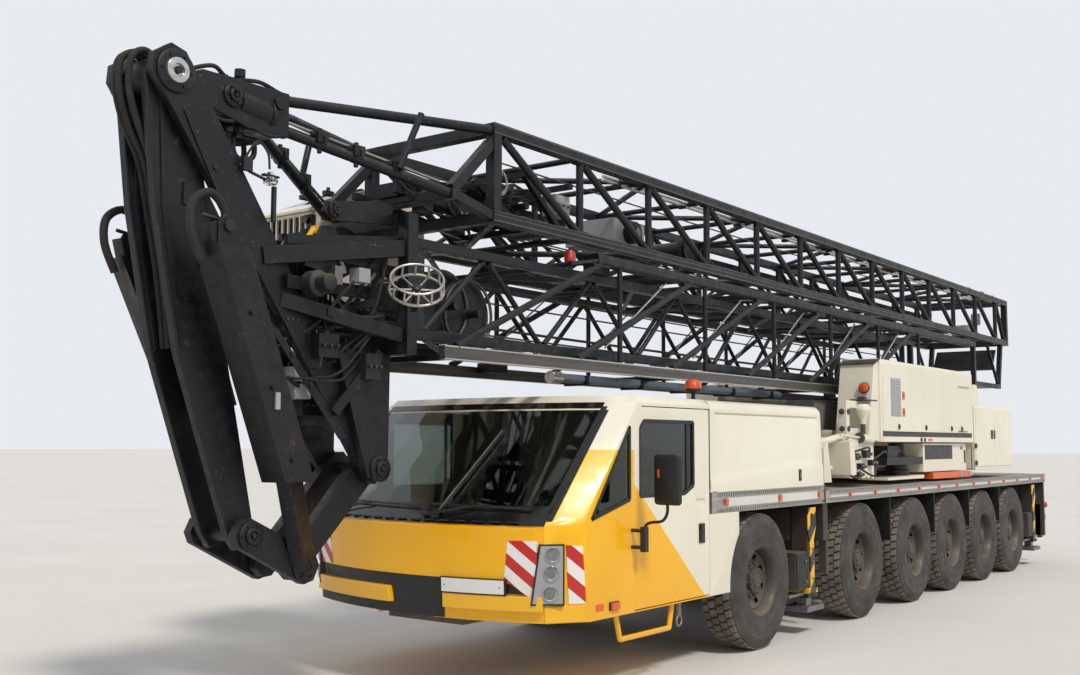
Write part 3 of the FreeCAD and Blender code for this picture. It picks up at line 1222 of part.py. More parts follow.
def main():
    os.makedirs("parts", exist_ok=True)
    make_running_gear()
    make_frame()
    make_deck()
    make_side_rails()
    make_cab()
    make_cab_trim()
    make_engine()
    make_tow_couplings()
    make_outriggers()
    make_platform()
    make_cabinets()
    make_ballast()
    make_outer_mast()
    make_inner_mast()
    make_mast_head()
    make_jib()
    make_outer_jib()
    make_back_struts()
    make_raising_cylinders()
    make_operator_cabin()


main()
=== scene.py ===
import math
import random

import bmesh
import bpy
from mathutils import Matrix, Vector


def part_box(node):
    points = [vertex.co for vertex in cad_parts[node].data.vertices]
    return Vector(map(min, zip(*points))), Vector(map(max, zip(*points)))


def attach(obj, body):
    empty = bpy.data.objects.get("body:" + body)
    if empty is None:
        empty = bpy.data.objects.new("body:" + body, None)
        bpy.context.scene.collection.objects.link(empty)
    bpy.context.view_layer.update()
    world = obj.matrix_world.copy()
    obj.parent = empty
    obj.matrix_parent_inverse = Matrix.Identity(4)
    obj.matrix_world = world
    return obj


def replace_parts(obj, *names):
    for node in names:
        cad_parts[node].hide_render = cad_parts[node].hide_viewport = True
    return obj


# A folded mobile tower crane on a six-axle carrier, dressed for rendering.
# Metres. Places are given with X counted from the first axle, as place() takes them.

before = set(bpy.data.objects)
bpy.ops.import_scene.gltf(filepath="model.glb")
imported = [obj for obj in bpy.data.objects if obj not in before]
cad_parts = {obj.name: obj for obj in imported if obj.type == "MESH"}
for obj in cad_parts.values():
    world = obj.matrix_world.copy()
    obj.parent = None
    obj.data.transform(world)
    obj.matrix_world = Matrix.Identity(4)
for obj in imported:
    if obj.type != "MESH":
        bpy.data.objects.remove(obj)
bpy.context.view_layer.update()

WHEEL_LOW, WHEEL_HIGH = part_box("wheel_1_left")
AXLE_1 = (WHEEL_LOW.x + WHEEL_HIGH.x) / 2
TYRE_RADIUS = (WHEEL_HIGH.z - WHEEL_LOW.z) / 2
HALF_WIDTH = 1.5
SIDES = ((1, "left"), (-1, "right"))


def place(x, y, z):
    return Vector((x + AXLE_1, y, z))


# Camera and studio

def colour(red, green, blue):
    """A colour given as it looks, from 0 to 255, turned into the linear values that shaders take."""
    linear = []
    for value in (red, green, blue):
        share = value / 255
        linear.append(share / 12.92 if share <= 0.04045 else ((share + 0.055) / 1.055) ** 2.4)
    return (*linear, 1.0)


CAMERA_PLACE = (10.82, 6.85, 2.08)
CAMERA_YAW = math.radians(-142.74)
CAMERA_PITCH = math.radians(5.21)
CAMERA_ROLL = math.radians(0.2)
SENSOR_WIDTH = 36
LENS = 38.333
VIEW_REACH = 500
SUN_FROM = Vector((0.42, 0.95, 1.25))
SUN_STRENGTH = 2.1
SUN_SPREAD = math.radians(9)
SUN_COLOUR = (1.0, 0.97, 0.92)
SKY_COLOUR = (0.86, 0.90, 0.96, 1)
SKY_STRENGTH = 0.62
BACKDROP_COLOUR = (0.80, 0.83, 0.87, 1)
FLOOR_HALF = 260
FLOOR_Z = -0.002


def linked(name, data):
    """A new object in the scene."""
    made = bpy.data.objects.new(name, data)
    bpy.context.scene.collection.objects.link(made)
    return made


def put(name, mesh, body):
    """A piece that rides on a body."""
    piece = linked(name, mesh)
    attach(piece, body)
    return piece


def make_camera():
    """The photograph's viewpoint, solved from the tyres and the carrier's width."""
    level_reach = math.cos(CAMERA_PITCH)
    ahead = Vector((level_reach * math.cos(CAMERA_YAW), level_reach * math.sin(CAMERA_YAW),
                    math.sin(CAMERA_PITCH)))
    level = Vector((math.sin(CAMERA_YAW), -math.cos(CAMERA_YAW), 0))
    upward = level.cross(ahead)
    right = level * math.cos(CAMERA_ROLL) + upward * math.sin(CAMERA_ROLL)
    top = upward * math.cos(CAMERA_ROLL) - level * math.sin(CAMERA_ROLL)
    data = bpy.data.cameras.new("camera")
    data.sensor_width = SENSOR_WIDTH
    data.lens = LENS
    data.clip_end = VIEW_REACH
    camera = linked("camera", data)
    turn = Matrix((right, top, -ahead)).transposed().to_4x4()
    camera.matrix_world = Matrix.Translation(place(*CAMERA_PLACE)) @ turn
    bpy.context.scene.camera = camera


def make_light():
    """One soft sun and a sky; camera, glass and glossy rays see the plain backdrop instead."""
    sun = bpy.data.lights.new("key_light", "SUN")
    sun.energy = SUN_STRENGTH
    sun.angle = SUN_SPREAD
    sun.color = SUN_COLOUR
    linked("key_light", sun).rotation_euler = SUN_FROM.to_track_quat("Z", "Y").to_euler()
    world = bpy.data.worlds.new("studio")
    world.use_nodes = True
    tree = world.node_tree
    sky = tree.nodes["Background"]
    sky.inputs["Color"].default_value = SKY_COLOUR
    sky.inputs["Strength"].default_value = SKY_STRENGTH
    backdrop = tree.nodes.new("ShaderNodeBackground")
    backdrop.inputs["Color"].default_value = BACKDROP_COLOUR
    rays = tree.nodes.new("ShaderNodeLightPath").outputs
    seen = rays["Is Camera Ray"]
    for ray in ("Is Transmission Ray", "Is Glossy Ray"):
        either = tree.nodes.new("ShaderNodeMath")
        either.operation = "ADD"
        either.use_clamp = True
        tree.links.new(seen, either.inputs[0])
        tree.links.new(rays[ray], either.inputs[1])
        seen = either.outputs[0]
    mix = tree.nodes.new("ShaderNodeMixShader")
    tree.links.new(seen, mix.inputs["Fac"])
    tree.links.new(sky.outputs[0], mix.inputs[1])
    tree.links.new(backdrop.outputs[0], mix.inputs[2])
    tree.links.new(mix.outputs[0], tree.nodes["World Output"].inputs["Surface"])
    bpy.context.scene.world = world
    bpy.context.scene.view_settings.view_transform = "Standard"


# Materials

# A mix node has sockets for numbers, vectors and colours under the same names; these are the colour ones
COLOUR_A, COLOUR_B, COLOUR_RESULT = 6, 7, 2


class Finish:
    """A node material in the making. Patterns use object coordinates, so they move with their piece."""

    def __init__(self, name):
        self.material = bpy.data.materials.new(name)
        self.material.use_nodes = True
        self.tree = self.material.node_tree
        self.shader = self.tree.nodes["Principled BSDF"]
        self.place = self.node("ShaderNodeTexCoord").outputs["Object"]

    def node(self, kind, **settings):
        made = self.tree.nodes.new(kind)
        for name, value in settings.items():
            setattr(made, name, value)
        return made

    def link(self, source, target):
        if hasattr(source, "is_linked"):
            self.tree.links.new(source, target)
        else:
            target.default_value = source

    def noise(self, scale, detail, roughness=0.55, stretch=(1, 1, 1)):
        mapping = self.node("ShaderNodeMapping")
        mapping.inputs["Scale"].default_value = stretch
        self.link(self.place, mapping.inputs["Vector"])
        texture = self.node("ShaderNodeTexNoise")
        texture.inputs["Scale"].default_value = scale
        texture.inputs["Detail"].default_value = detail
        texture.inputs["Roughness"].default_value = roughness
        self.link(mapping.outputs[0], texture.inputs["Vector"])
        return texture.outputs["Fac"]

    def axis(self, name):
        split = self.node("ShaderNodeSeparateXYZ")
        self.link(self.place, split.inputs[0])
        return split.outputs[name]

    def facing_up(self):
        split = self.node("ShaderNodeSeparateXYZ")
        self.link(self.node("ShaderNodeNewGeometry").outputs["Normal"], split.inputs[0])
        return split.outputs["Z"]

    def math(self, operation, first, second=0.0):
        made = self.node("ShaderNodeMath", operation=operation)
        self.link(first, made.inputs[0])
        self.link(second, made.inputs[1])
        return made.outputs[0]

    def remap(self, value, low, high, to_low=0.0, to_high=1.0):
        made = self.node("ShaderNodeMapRange")
        self.link(value, made.inputs["Value"])
        for name, number in (("From Min", low), ("From Max", high), ("To Min", to_low), ("To Max", to_high)):
            made.inputs[name].default_value = number
        return made.outputs["Result"]

    def mix(self, share, first, second):
        made = self.node("ShaderNodeMix", data_type="RGBA")
        self.link(share, made.inputs["Factor"])
        self.link(first, made.inputs[COLOUR_A])
        self.link(second, made.inputs[COLOUR_B])
        return made.outputs[COLOUR_RESULT]

    def bump(self, height, strength, distance):
        made = self.node("ShaderNodeBump")
        made.inputs["Strength"].default_value = strength
        made.inputs["Distance"].default_value = distance
        self.link(height, made.inputs["Height"])
        self.link(made.outputs[0], self.shader.inputs["Normal"])

    def colour(self, value):
        self.link(value, self.shader.inputs["Base Color"])

    def rough(self, value):
        self.link(value, self.shader.inputs["Roughness"])

    def settle(self, **values):
        """Plain numbers on the shader's own sockets, named with _ for each space."""
        for name, value in values.items():
            self.shader.inputs[name.replace("_", " ")].default_value = value

    def mottled(self, first, second, scale, detail=4.0, low=0.35, high=0.65, roughness=0.55,
                stretch=(1, 1, 1)):
        """Two tones that a soft noise mixes."""
        return self.mix(self.remap(self.noise(scale, detail, roughness, stretch), low, high), first, second)

    def uneven(self, scale, low, high, detail=4.0):
        """Roughness that wanders between two values."""
        self.rough(self.remap(self.noise(scale, detail), 0.3, 0.7, low, high))


DUST = colour(150, 134, 112)
RUST = colour(104, 66, 42)


def scaled(tone, share):
    """A lighter or darker colour of the same hue."""
    return tuple(min(1.0, share * value) for value in tone[:3]) + (1,)


def dusted(finish, base, amount, low=0.2, high=1.0, tone=DUST):
    """Base colour with road dust lying on what faces up, thicker where a noise says so."""
    upward = finish.remap(finish.facing_up(), low, high)
    patches = finish.remap(finish.noise(2.3, 5, 0.65), 0.3, 0.75)
    share = finish.math("MULTIPLY", finish.math("MULTIPLY", upward, patches), amount)
    return finish.mix(share, base, tone)


def road_film(finish, base, top, amount):
    """Dust thrown up by the wheels, which fades out with height."""
    level = finish.remap(finish.axis("Z"), 0.3, top, 1.0, 0.0)
    streaks = finish.remap(finish.noise(3.0, 5, 0.6, (1, 1, 0.35)), 0.25, 0.8, 0.35, 1.0)
    share = finish.math("MULTIPLY", finish.math("MULTIPLY", level, streaks), amount)
    return finish.mix(share, base, DUST)


def painted(name, tone, faded, rough, dust, film, film_top, coat):
    """Vehicle paint: slightly uneven tone, dust on ledges, road film low down and fine orange peel."""
    finish = Finish(name)
    base = dusted(finish, finish.mottled(tone, faded, 0.9), dust)
    finish.colour(road_film(finish, base, film_top, film))
    finish.uneven(7.0, rough - 0.07, rough + 0.12)
    finish.settle(Coat_Weight=coat, Coat_Roughness=0.12)
    finish.bump(finish.noise(160, 2), 0.05, 0.001)
    return finish.material


YELLOW = colour(248, 180, 0)
YELLOW_FADED = colour(250, 190, 14)
CREAM = colour(236, 229, 210)
CREAM_FADED = colour(228, 219, 198)

# The yellow field ends along a line that falls towards the rear from the door's front edge
SPLIT_X = 2.45
SPLIT_Z = 1.73
SPLIT_SLOPE = 0.876
PILLAR_SPLIT_Z = 2.02


def cab_paint():
    """Cream paint with the yellow field, whose edge is a slanted line with a step at the door's pillar."""
    finish = Finish("cab_paint")
    x = finish.math("SUBTRACT", finish.axis("X"), SPLIT_X + AXLE_1)
    z = finish.axis("Z")
    line = finish.math("ADD", finish.math("MULTIPLY", x, SPLIT_SLOPE), SPLIT_Z)
    ahead = finish.math("MULTIPLY", finish.math("GREATER_THAN", x, 0.0),
                        finish.math("LESS_THAN", z, PILLAR_SPLIT_Z))
    behind = finish.math("MULTIPLY", finish.math("LESS_THAN", x, 0.0), finish.math("LESS_THAN", z, line))
    mask = finish.math("MAXIMUM", ahead, behind)
    base = finish.mix(mask, finish.mottled(CREAM, CREAM_FADED, 0.9),
                      finish.mottled(YELLOW, YELLOW_FADED, 0.9))
    finish.colour(road_film(finish, dusted(finish, base, 0.12), 1.15, 0.16))
    finish.uneven(7.0, 0.24, 0.4)
    finish.settle(Coat_Weight=0.3, Specular_IOR_Level=0.35, Coat_Roughness=0.08)
    finish.bump(finish.noise(160, 2), 0.04, 0.001)
    return finish.material


def steelwork_paint(name, chips):
    """Old anthracite paint on the lattice: brown dust on top faces, chips down to primer and pale metal."""
    finish = Finish(name)
    base = finish.mottled(colour(14, 16, 20), colour(24, 25, 29), 1.7)
    base = dusted(finish, base, 0.7, 0.35, 0.95, colour(80, 70, 60))
    wear = finish.math("MULTIPLY", finish.remap(finish.noise(26, 6, 0.7), 0.60, 0.66),
                       finish.remap(finish.noise(1.3, 3), 0.45, 0.62))
    base = finish.mix(finish.math("MULTIPLY", wear, chips), base, colour(122, 112, 100))
    rusty = finish.math("MULTIPLY", finish.remap(finish.noise(9, 5, 0.7), 0.62, 0.72), 0.5)
    finish.colour(finish.mix(rusty, base, RUST))
    finish.uneven(11, 0.34, 0.62)
    finish.settle(Specular_IOR_Level=0.38)
    finish.bump(finish.noise(60, 4), 0.12, 0.002)
    return finish.material


ALONG = (0.2, 8, 8)
EVEN = (1, 1, 1)


def bare_steel(name, tone, rough, streak):
    """Worn metal, drawn out along the piece or even, with dust on what faces up."""
    finish = Finish(name)
    base = finish.mottled(tone, scaled(tone, 0.6), 4, 5, 0.3, 0.7, 0.6, streak)
    finish.colour(dusted(finish, base, 0.35, 0.5, 1.0))
    finish.settle(Metallic=0.85)
    finish.uneven(22, rough - 0.08, rough + 0.15)
    finish.bump(finish.noise(90, 3, 0.5, streak), 0.08, 0.001)
    return finish.material


def rubber(name, tone, dust_tone, dust):
    finish = Finish(name)
    patches = finish.remap(finish.noise(5.0, 5, 0.6), 0.3, 0.7)
    finish.colour(finish.mix(finish.math("MULTIPLY", patches, dust), tone, dust_tone))
    finish.uneven(30, 0.72, 0.92)
    finish.bump(finish.noise(120, 4), 0.25, 0.0015)
    return finish.material


def glass(name, tint, rough):
    finish = Finish(name)
    finish.colour(finish.mottled(tint, scaled(tint, 0.92), 1.5, 3, 0.3, 0.7))
    finish.settle(Transmission_Weight=1.0, IOR=1.45)
    finish.rough(finish.remap(finish.noise(3, 4), 0.4, 0.8, rough, rough + 0.05))
    return finish.material


def lamp_lens(name, tone):
    """Ribbed coloured plastic with a glow of its own colour below the surface."""
    finish = Finish(name)
    finish.colour(finish.mottled(tone, scaled(tone, 0.75), 8, 3, 0.3, 0.7))
    finish.uneven(30, 0.12, 0.25, 3)
    finish.settle(Coat_Weight=0.6, Subsurface_Weight=0.35, Subsurface_Radius=(0.03, 0.01, 0.005))
    ribs = finish.node("ShaderNodeTexWave", wave_type="BANDS", bands_direction="Z")
    ribs.inputs["Scale"].default_value = 45
    finish.link(finish.place, ribs.inputs["Vector"])
    finish.bump(ribs.outputs["Fac"], 0.35, 0.003)
    return finish.material


def plastic(name, tone, rough, dust):
    finish = Finish(name)
    finish.colour(dusted(finish, finish.mottled(tone, scaled(tone, 1.25), 3), dust))
    finish.uneven(14, rough - 0.06, rough + 0.1)
    finish.bump(finish.noise(220, 2), 0.12, 0.0008)
    return finish.material


def deck_surface():
    """Grey chequer plate walked over for years, sandy in its hollows."""
    finish = Finish("deck_surface")
    base = finish.mottled(colour(120, 112, 102), colour(158, 147, 130), 1.1, 6, 0.3, 0.7, 0.65)
    finish.colour(dusted(finish, base, 0.5))
    finish.settle(Metallic=0.15)
    finish.uneven(9, 0.55, 0.8)
    weave = finish.node("ShaderNodeTexBrick")
    weave.inputs["Scale"].default_value = 22
    weave.inputs["Mortar Size"].default_value = 0.03
    finish.link(finish.place, weave.inputs["Vector"])
    finish.bump(weave.outputs["Fac"], 0.3, 0.003)
    return finish.material


def banded(name, first, second, slope, width, axis):
    """Two-colour slanted bands: a hazard pattern that runs along one axis and falls with height."""
    finish = Finish(name)
    run = finish.math("ADD", finish.axis(axis), finish.math("MULTIPLY", finish.axis("Z"), slope))
    turn = finish.math("FRACT", finish.math("DIVIDE", run, width))
    base = finish.mix(finish.math("GREATER_THAN", turn, 0.5), first, second)
    finish.colour(road_film(finish, base, 1.3, 0.3))
    finish.uneven(20, 0.3, 0.5)
    finish.bump(finish.noise(300, 2), 0.06, 0.0006)
    return finish.material


WHITE_BAND = colour(236, 234, 230)
RED_BAND = colour(196, 28, 22)
MATERIALS = (
    # how it is made, then rows of key, name and the maker's own values
    (painted, (
        # tone, faded tone, roughness, dust, road film, the film's top, clear coat
        ("cream", "cream_paint", CREAM, CREAM_FADED, 0.42, 0.3, 0.15, 1.5, 0.3),
        ("yellow", "yellow_paint", YELLOW, YELLOW_FADED, 0.36, 0.25, 0.25, 1.2, 0.3),
        ("chassis", "chassis_paint", colour(26, 26, 28), colour(36, 35, 35), 0.6, 0.75, 0.5, 1.5, 0.05),
        ("axle", "axle_paint", colour(30, 29, 29), colour(44, 40, 37), 0.65, 0.8, 0.6, 1.4, 0.0),
        ("lamp_body", "lamp_silver", colour(150, 150, 150), colour(160, 160, 160), 0.34, 0.15, 0.15, 1.2,
         0.3),
        ("rim", "rim_paint", colour(22, 22, 24), colour(34, 33, 33), 0.5, 0.3, 0.4, 1.4, 0.05),
        ("plate", "plate_white", colour(232, 232, 228), colour(222, 222, 218), 0.4, 0.2, 0.3, 1.2, 0.3),
        ("tape", "white_tape", colour(226, 224, 218), colour(205, 201, 192), 0.45, 0.25, 0.35, 2.0, 0.3),
        ("vent", "vent_grey", colour(168, 170, 172), colour(154, 156, 158), 0.5, 0.3, 0.1, 1.5, 0.3),
        ("orange", "orange_paint", colour(235, 92, 20), colour(225, 100, 36), 0.45, 0.35, 0.1, 1.5, 0.3),
        ("grey", "ballast_grey", colour(104, 106, 106), colour(128, 126, 120), 0.6, 0.5, 0.1, 1.5, 0.05),
        ("steel_blue", "steel_blue", colour(86, 98, 116), colour(98, 110, 126), 0.4, 0.5, 0.1, 1.5, 0.3),
    )),
    (steelwork_paint, (
        # share of chips
        ("black", "steelwork_black", 0.55),
        ("dark", "head_steel", 0.3),
    )),
    (bare_steel, (
        # tone, roughness, streaks
        ("rail_steel", "worn_rail_steel", colour(112, 108, 104), 0.42, ALONG),
        ("silver", "bright_steel", colour(214, 212, 208), 0.24, ALONG),
        ("galvanised", "galvanised_steel", colour(150, 150, 148), 0.4, EVEN),
        ("aluminium", "aluminium_rail", colour(196, 192, 186), 0.38, ALONG),
        ("chrome", "chromed_rod", colour(230, 230, 232), 0.16, ALONG),
        ("mirror", "lamp_reflector", colour(240, 240, 240), 0.12, EVEN),
        ("rope", "wire_rope", colour(96, 92, 86), 0.5, EVEN),
    )),
    (rubber, (
        # tone, dust's tone, dust
        ("tyre", "tyre_rubber", colour(46, 45, 45), colour(94, 88, 81), 0.65),
        ("tread", "tread_rubber", colour(86, 81, 76), colour(148, 139, 127), 0.85),
        ("hose", "hose_rubber", colour(22, 22, 23), colour(70, 64, 58), 0.35),
    )),
    (glass, (
        # tint, roughness
        ("glass", "tinted_glass", colour(150, 162, 158), 0.02),
        ("clear", "clear_glass", colour(238, 242, 242), 0.01),
    )),
    (lamp_lens, (
        # tone
        ("amber", "amber_lens", colour(236, 92, 12)),
        ("red", "red_lens", colour(176, 22, 18)),
    )),
    (plastic, (
        # tone, roughness, dust
        ("plastic", "black_plastic", colour(24, 24, 25), 0.5, 0.3),
        ("trim", "cab_trim", colour(62, 62, 64), 0.6, 0.1),
        ("seat", "seat_cloth", colour(58, 62, 70), 0.85, 0.1),
        ("frit", "screen_edge", colour(10, 10, 11), 0.12, 0.05),
    )),
    (banded, (
        # first tone, second tone, slope, pitch, axis
        ("hazard_front", "hazard_front", WHITE_BAND, RED_BAND, 1.15, 0.24, "Y"),
        ("hazard_side", "hazard_side", WHITE_BAND, RED_BAND, -1.05, 0.24, "X"),
        ("warning", "warning_bands", colour(242, 184, 10), colour(20, 20, 21), 1.0, 0.34, "X"),
    )),
)
MAT = {}



def make_materials():
    MAT["cab"] = cab_paint()
    MAT["deck"] = deck_surface()
    for maker, rows in MATERIALS:
        for key, *values in rows:
            MAT[key] = maker(*values)


# Mesh work

def square_to(start, end):
    """Two directions square to a line: one level, one upright."""
    along = (end - start).normalized()
    level = along.cross(Vector((0, 0, 1)))
    if level.length < 0.001:
        level = Vector((0, 1, 0))
    level.normalize()
    return level, level.cross(along).normalized()


def around(count, radius, phase=0.0):
    """Evenly spread places on a circle, each as its reach in the circle's two directions."""
    turns = [2 * math.pi * (i + phase) / count for i in range(count)]
    return [(radius * math.cos(turn), radius * math.sin(turn)) for turn in turns]


class Build:
    """Faces of one piece in the making, each with the number of its material."""

    def __init__(self):
        self.points = []
        self.faces = []
        self.kinds = []

    def add(self, points, faces, kind):
        first = len(self.points)
        self.points += [Vector(p) for p in points]
        self.faces += [[first + i for i in face] for face in faces]
        self.kinds += [kind] * len(faces)

    def block(self, low, high, kind=0):
        """A box between two corners."""
        low, high = Vector(low), Vector(high)
        middle = (low + high) / 2
        half = (high - low) / 2
        points = []
        for sx in (-1, 1):
            for sy in (-1, 1):
                for sz in (-1, 1):
                    points.append(middle + Vector((half.x * sx, half.y * sy, half.z * sz)))
        faces = [(0, 1, 3, 2), (4, 6, 7, 5), (0, 4, 5, 1), (2, 3, 7, 6), (0, 2, 6, 4), (1, 5, 7, 3)]
        self.add(points, faces, kind)

    def bar(self, start, end, width, depth, kind=0):
        """A straight bar of rectangular section: width level, depth square to it."""
        start, end = Vector(start), Vector(end)
        level, upright = square_to(start, end)
        corners = [(-1, -1), (1, -1), (1, 1), (-1, 1)]
        points = []
        for tip in (start, end):
            points += [tip + level * (a * width / 2) + upright * (b * depth / 2) for a, b in corners]
        faces = [(3, 2, 1, 0), (4, 5, 6, 7), (0, 1, 5, 4), (1, 2, 6, 5), (2, 3, 7, 6), (3, 0, 4, 7)]
        self.add(points, faces, kind)

    def tube(self, start, end, radius, sides, kind=0, end_radius=None):
        """A straight round bar, or a cone where the end's radius differs."""
        start, end = Vector(start), Vector(end)
        level, upright = square_to(start, end)
        points = []
        for tip, size in ((start, radius), (end, radius if end_radius is None else end_radius)):
            points += [tip + level * a + upright * b for a, b in around(sides, size, 0.5)]
        faces = [tuple(range(sides))[::-1], tuple(range(sides, 2 * sides))]
        faces += [(i, (i + 1) % sides, sides + (i + 1) % sides, sides + i) for i in range(sides)]
        self.add(points, faces, kind)

    def path(self, route, radius, sides, kind):
        """A round bar or hose bent along a list of points."""
        route = [Vector(p) for p in route]
        points = []
        level = None
        for i, point in enumerate(route):
            along = (route[min(len(route) - 1, i + 1)] - route[max(0, i - 1)]).normalized()
            if level is None:
                level = along.orthogonal().normalized()
            level = (level - along * level.dot(along)).normalized()
            upright = along.cross(level)
            points += [point + level * a + upright * b for a, b in around(sides, radius)]
        faces = [tuple(range(sides))[::-1], tuple(range(len(points) - sides, len(points)))]
        for first in range(0, len(points) - sides, sides):
            for k in range(sides):
                a, b = first + k, first + (k + 1) % sides
                faces.append((a, b, b + sides, a + sides))
        self.add(points, faces, kind)

    def lathe(self, profile, middle, axis, sides, kind, closed=False):
        """A turned shape: its profile lists reach along the axis and radius, and closed joins its two ends."""
        middle, axis = Vector(middle), Vector(axis).normalized()
        level = Vector((1, 0, 0)) if abs(axis.y) > 0.9 else axis.orthogonal().normalized()
        upright = axis.cross(level)
        points = []
        for reach, radius in profile:
            points += [middle + axis * reach + level * a + upright * b for a,
                       b in around(sides, radius, 0.5)]
        faces = []
        for r in range(len(profile) if closed else len(profile) - 1):
            first, following = r * sides, (r + 1) % len(profile) * sides
            for i in range(sides):
                j = (i + 1) % sides
                faces.append((first + i, first + j, following + j, following + i))
        if not closed:
            faces.append(tuple(range(sides))[::-1])
            faces.append(tuple(range(len(points) - sides, len(points))))
        self.add(points, faces, kind)

    def ring(self, middle, axis, radius, thickness, sides, kind, section=8):
        """A round bar bent into a closed hoop."""
        profile = [(rise, radius + reach) for reach, rise in around(section, thickness)]
        self.lathe(profile, middle, axis, sides, kind, closed=True)

    def plate(self, outline, low, high, across="Y", kind=0):
        """A flat plate: its outline in X and Z (across Y), Y and Z (across X) or X and Y (across Z)."""
        count = len(outline)
        points = []
        for level in (low, high):
            for a, b in outline:
                if across == "Y":
                    points.append((a, level, b))
                elif across == "X":
                    points.append((level, a, b))
                else:
                    points.append((a, b, level))
        faces = [tuple(range(count)), tuple(range(count, 2 * count))[::-1]]
        faces += [(i, count + i, count + (i + 1) % count, (i + 1) % count) for i in range(count)]
        self.add(points, faces, kind)

    def mesh(self, name, materials, shift=(0, 0, 0)):
        """The faces as a smooth mesh with its materials, all facing outwards."""
        made = bpy.data.meshes.new(name)
        shift = Vector(shift)
        made.from_pydata([p + shift for p in self.points], [], self.faces)
        for material in materials:
            made.materials.append(MAT[material])
        for polygon, kind in zip(made.polygons, self.kinds):
            polygon.material_index = kind
            polygon.use_smooth = True
        work = bmesh.new()
        work.from_mesh(made)
        bmesh.ops.recalc_face_normals(work, faces=work.faces)
        work.to_mesh(made)
        work.free()
        return made

    def finish(self, name, body, materials, slot, bevel=0.0, segments=1, replaces=(), smooth=40):
        """The piece itself, with sharp or rounded edges where faces meet at more than the angle smooth."""
        piece = put(name, self.mesh(name, materials, (AXLE_1, 0, 0)), body)
        if bevel:
            rounding = piece.modifiers.new("rounding", "BEVEL")
            rounding.width = bevel
            rounding.segments = segments
            rounding.limit_method = "ANGLE"
            rounding.angle_limit = math.radians(smooth)
            rounding.harden_normals = True
            rounding.use_clamp_overlap = True
        else:
            piece.data.set_sharp_from_angle(angle=math.radians(smooth))
        if replaces:
            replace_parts(piece, *replaces)


def curve_through(route, steps=6):
    """Points of a smooth line through a few chosen ones."""
    route = [Vector(p) for p in route]
    points = []
    for i in range(len(route) - 1):
        p0 = route[max(0, i - 1)]
        p1, p2 = route[i], route[i + 1]
        p3 = route[min(len(route) - 1, i + 2)]
        for k in range(steps):
            t = k / steps
            points.append(0.5 * ((2 * p1) + (p2 - p0) * t + (2 * p0 - 5 * p1 + 4 * p2 - p3) * t * t
                                 + (3 * p1 - p0 - 3 * p2 + p3) * t ** 3))
    points.append(route[-1])
    return points


WELD = 0.00002
SHARP_EDGE = math.radians(24)


def softened(node, name, body, material, width, angle=30):
    """A copy of a CAD node with rounded edges, which stands for it."""
    work = bmesh.new()
    work.from_mesh(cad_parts[node].data)
    bmesh.ops.remove_doubles(work, verts=work.verts, dist=WELD)
    bmesh.ops.dissolve_limit(work, angle_limit=math.radians(1), verts=work.verts, edges=work.edges)
    edges = [edge for edge in work.edges
             if len(edge.link_faces) == 2 and edge.calc_face_angle(0) > math.radians(angle)
             and edge.calc_length() > width * 1.2]
    bmesh.ops.bevel(work, geom=edges, offset=width, segments=2, profile=0.6, affect="EDGES",
                    clamp_overlap=True, harden_normals=False)
    for face in work.faces:
        face.material_index = 0
        face.smooth = True
    mesh = bpy.data.meshes.new(name)
    work.to_mesh(mesh)
    work.free()
    mesh.materials.append(MAT[material])
    mesh.set_sharp_from_angle(angle=SHARP_EDGE)
    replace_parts(put(name, mesh, body), node)


def give(node, material):
    """A CAD node that keeps its shape takes a finish."""
    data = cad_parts[node].data
    data.materials.clear()
    data.materials.append(MAT[material])


# Wheels

TYRE_PROFILE = [
    # offset across, radius
    (-0.160, 0.335), (-0.182, 0.352), (-0.181, 0.372), (-0.187, 0.395), (-0.190, 0.440), (-0.1925, 0.445),
    (-0.1925, 0.455), (-0.191, 0.462), (-0.190, 0.520), (-0.188, 0.560), (-0.190, 0.565), (-0.189, 0.577),
    (-0.185, 0.584), (-0.176, 0.628), (-0.160, 0.660), (-0.140, 0.667), (-0.05, 0.669),
]
RIM_SIDES = 48
TREAD_PITCHES = 46
TREAD_ROWS = (
    # inner edge, outer edge, phase
    (-0.150, -0.090, 0.0), (-0.080, -0.006, 0.5), (0.006, 0.080, 0.0), (0.090, 0.150, 0.5),
)
TREAD_FOOT = 0.655
SHOULDER_Y = 0.14
SHOULDER_DROP = 0.007
WHEEL_NUTS = 10
HUB_BOLTS = 12
HAND_HOLES = 8
HOLE_BAND = 2
OPEN_SECTORS = (2, 3)
WHEEL_Y = 1.289
# Each wheel stands turned from the one ahead by whole tread pitches, so a block meets the ground under it
WHEEL_TURN = 4


def tyre(build):
    profile = TYRE_PROFILE + [(-offset, radius) for offset, radius in TYRE_PROFILE[::-1]]
    build.lathe(profile, (0, 0, 0), (0, 1, 0), 72, 0, closed=True)
    pitch = 2 * math.pi / TREAD_PITCHES
    for near, far, phase in TREAD_ROWS:
        for i in range(TREAD_PITCHES):
            middle = (i + phase) * pitch - math.pi / 2
            points = []
            for radius, shrink in ((TREAD_FOOT, 0.0), (TYRE_RADIUS - 0.0005, 0.05)):
                for y, lean in ((near, -0.10), (far, 0.10)):
                    drop = SHOULDER_DROP if abs(y) > SHOULDER_Y else 0.0
                    for edge in (-0.42 + shrink, 0.42 - shrink):
                        turn = middle + (edge + lean) * pitch
                        reach = (radius - drop) / math.cos(0.38 * pitch)
                        if radius > TREAD_FOOT:
                            reach = min(reach, TYRE_RADIUS - drop)
                        points.append((reach * math.cos(turn), y, reach * math.sin(turn)))
            faces = [(0, 2, 3, 1), (4, 5, 7, 6), (0, 1, 5, 4), (2, 6, 7, 3), (0, 4, 6, 2), (1, 3, 7, 5)]
            build.add(points, faces, 1)


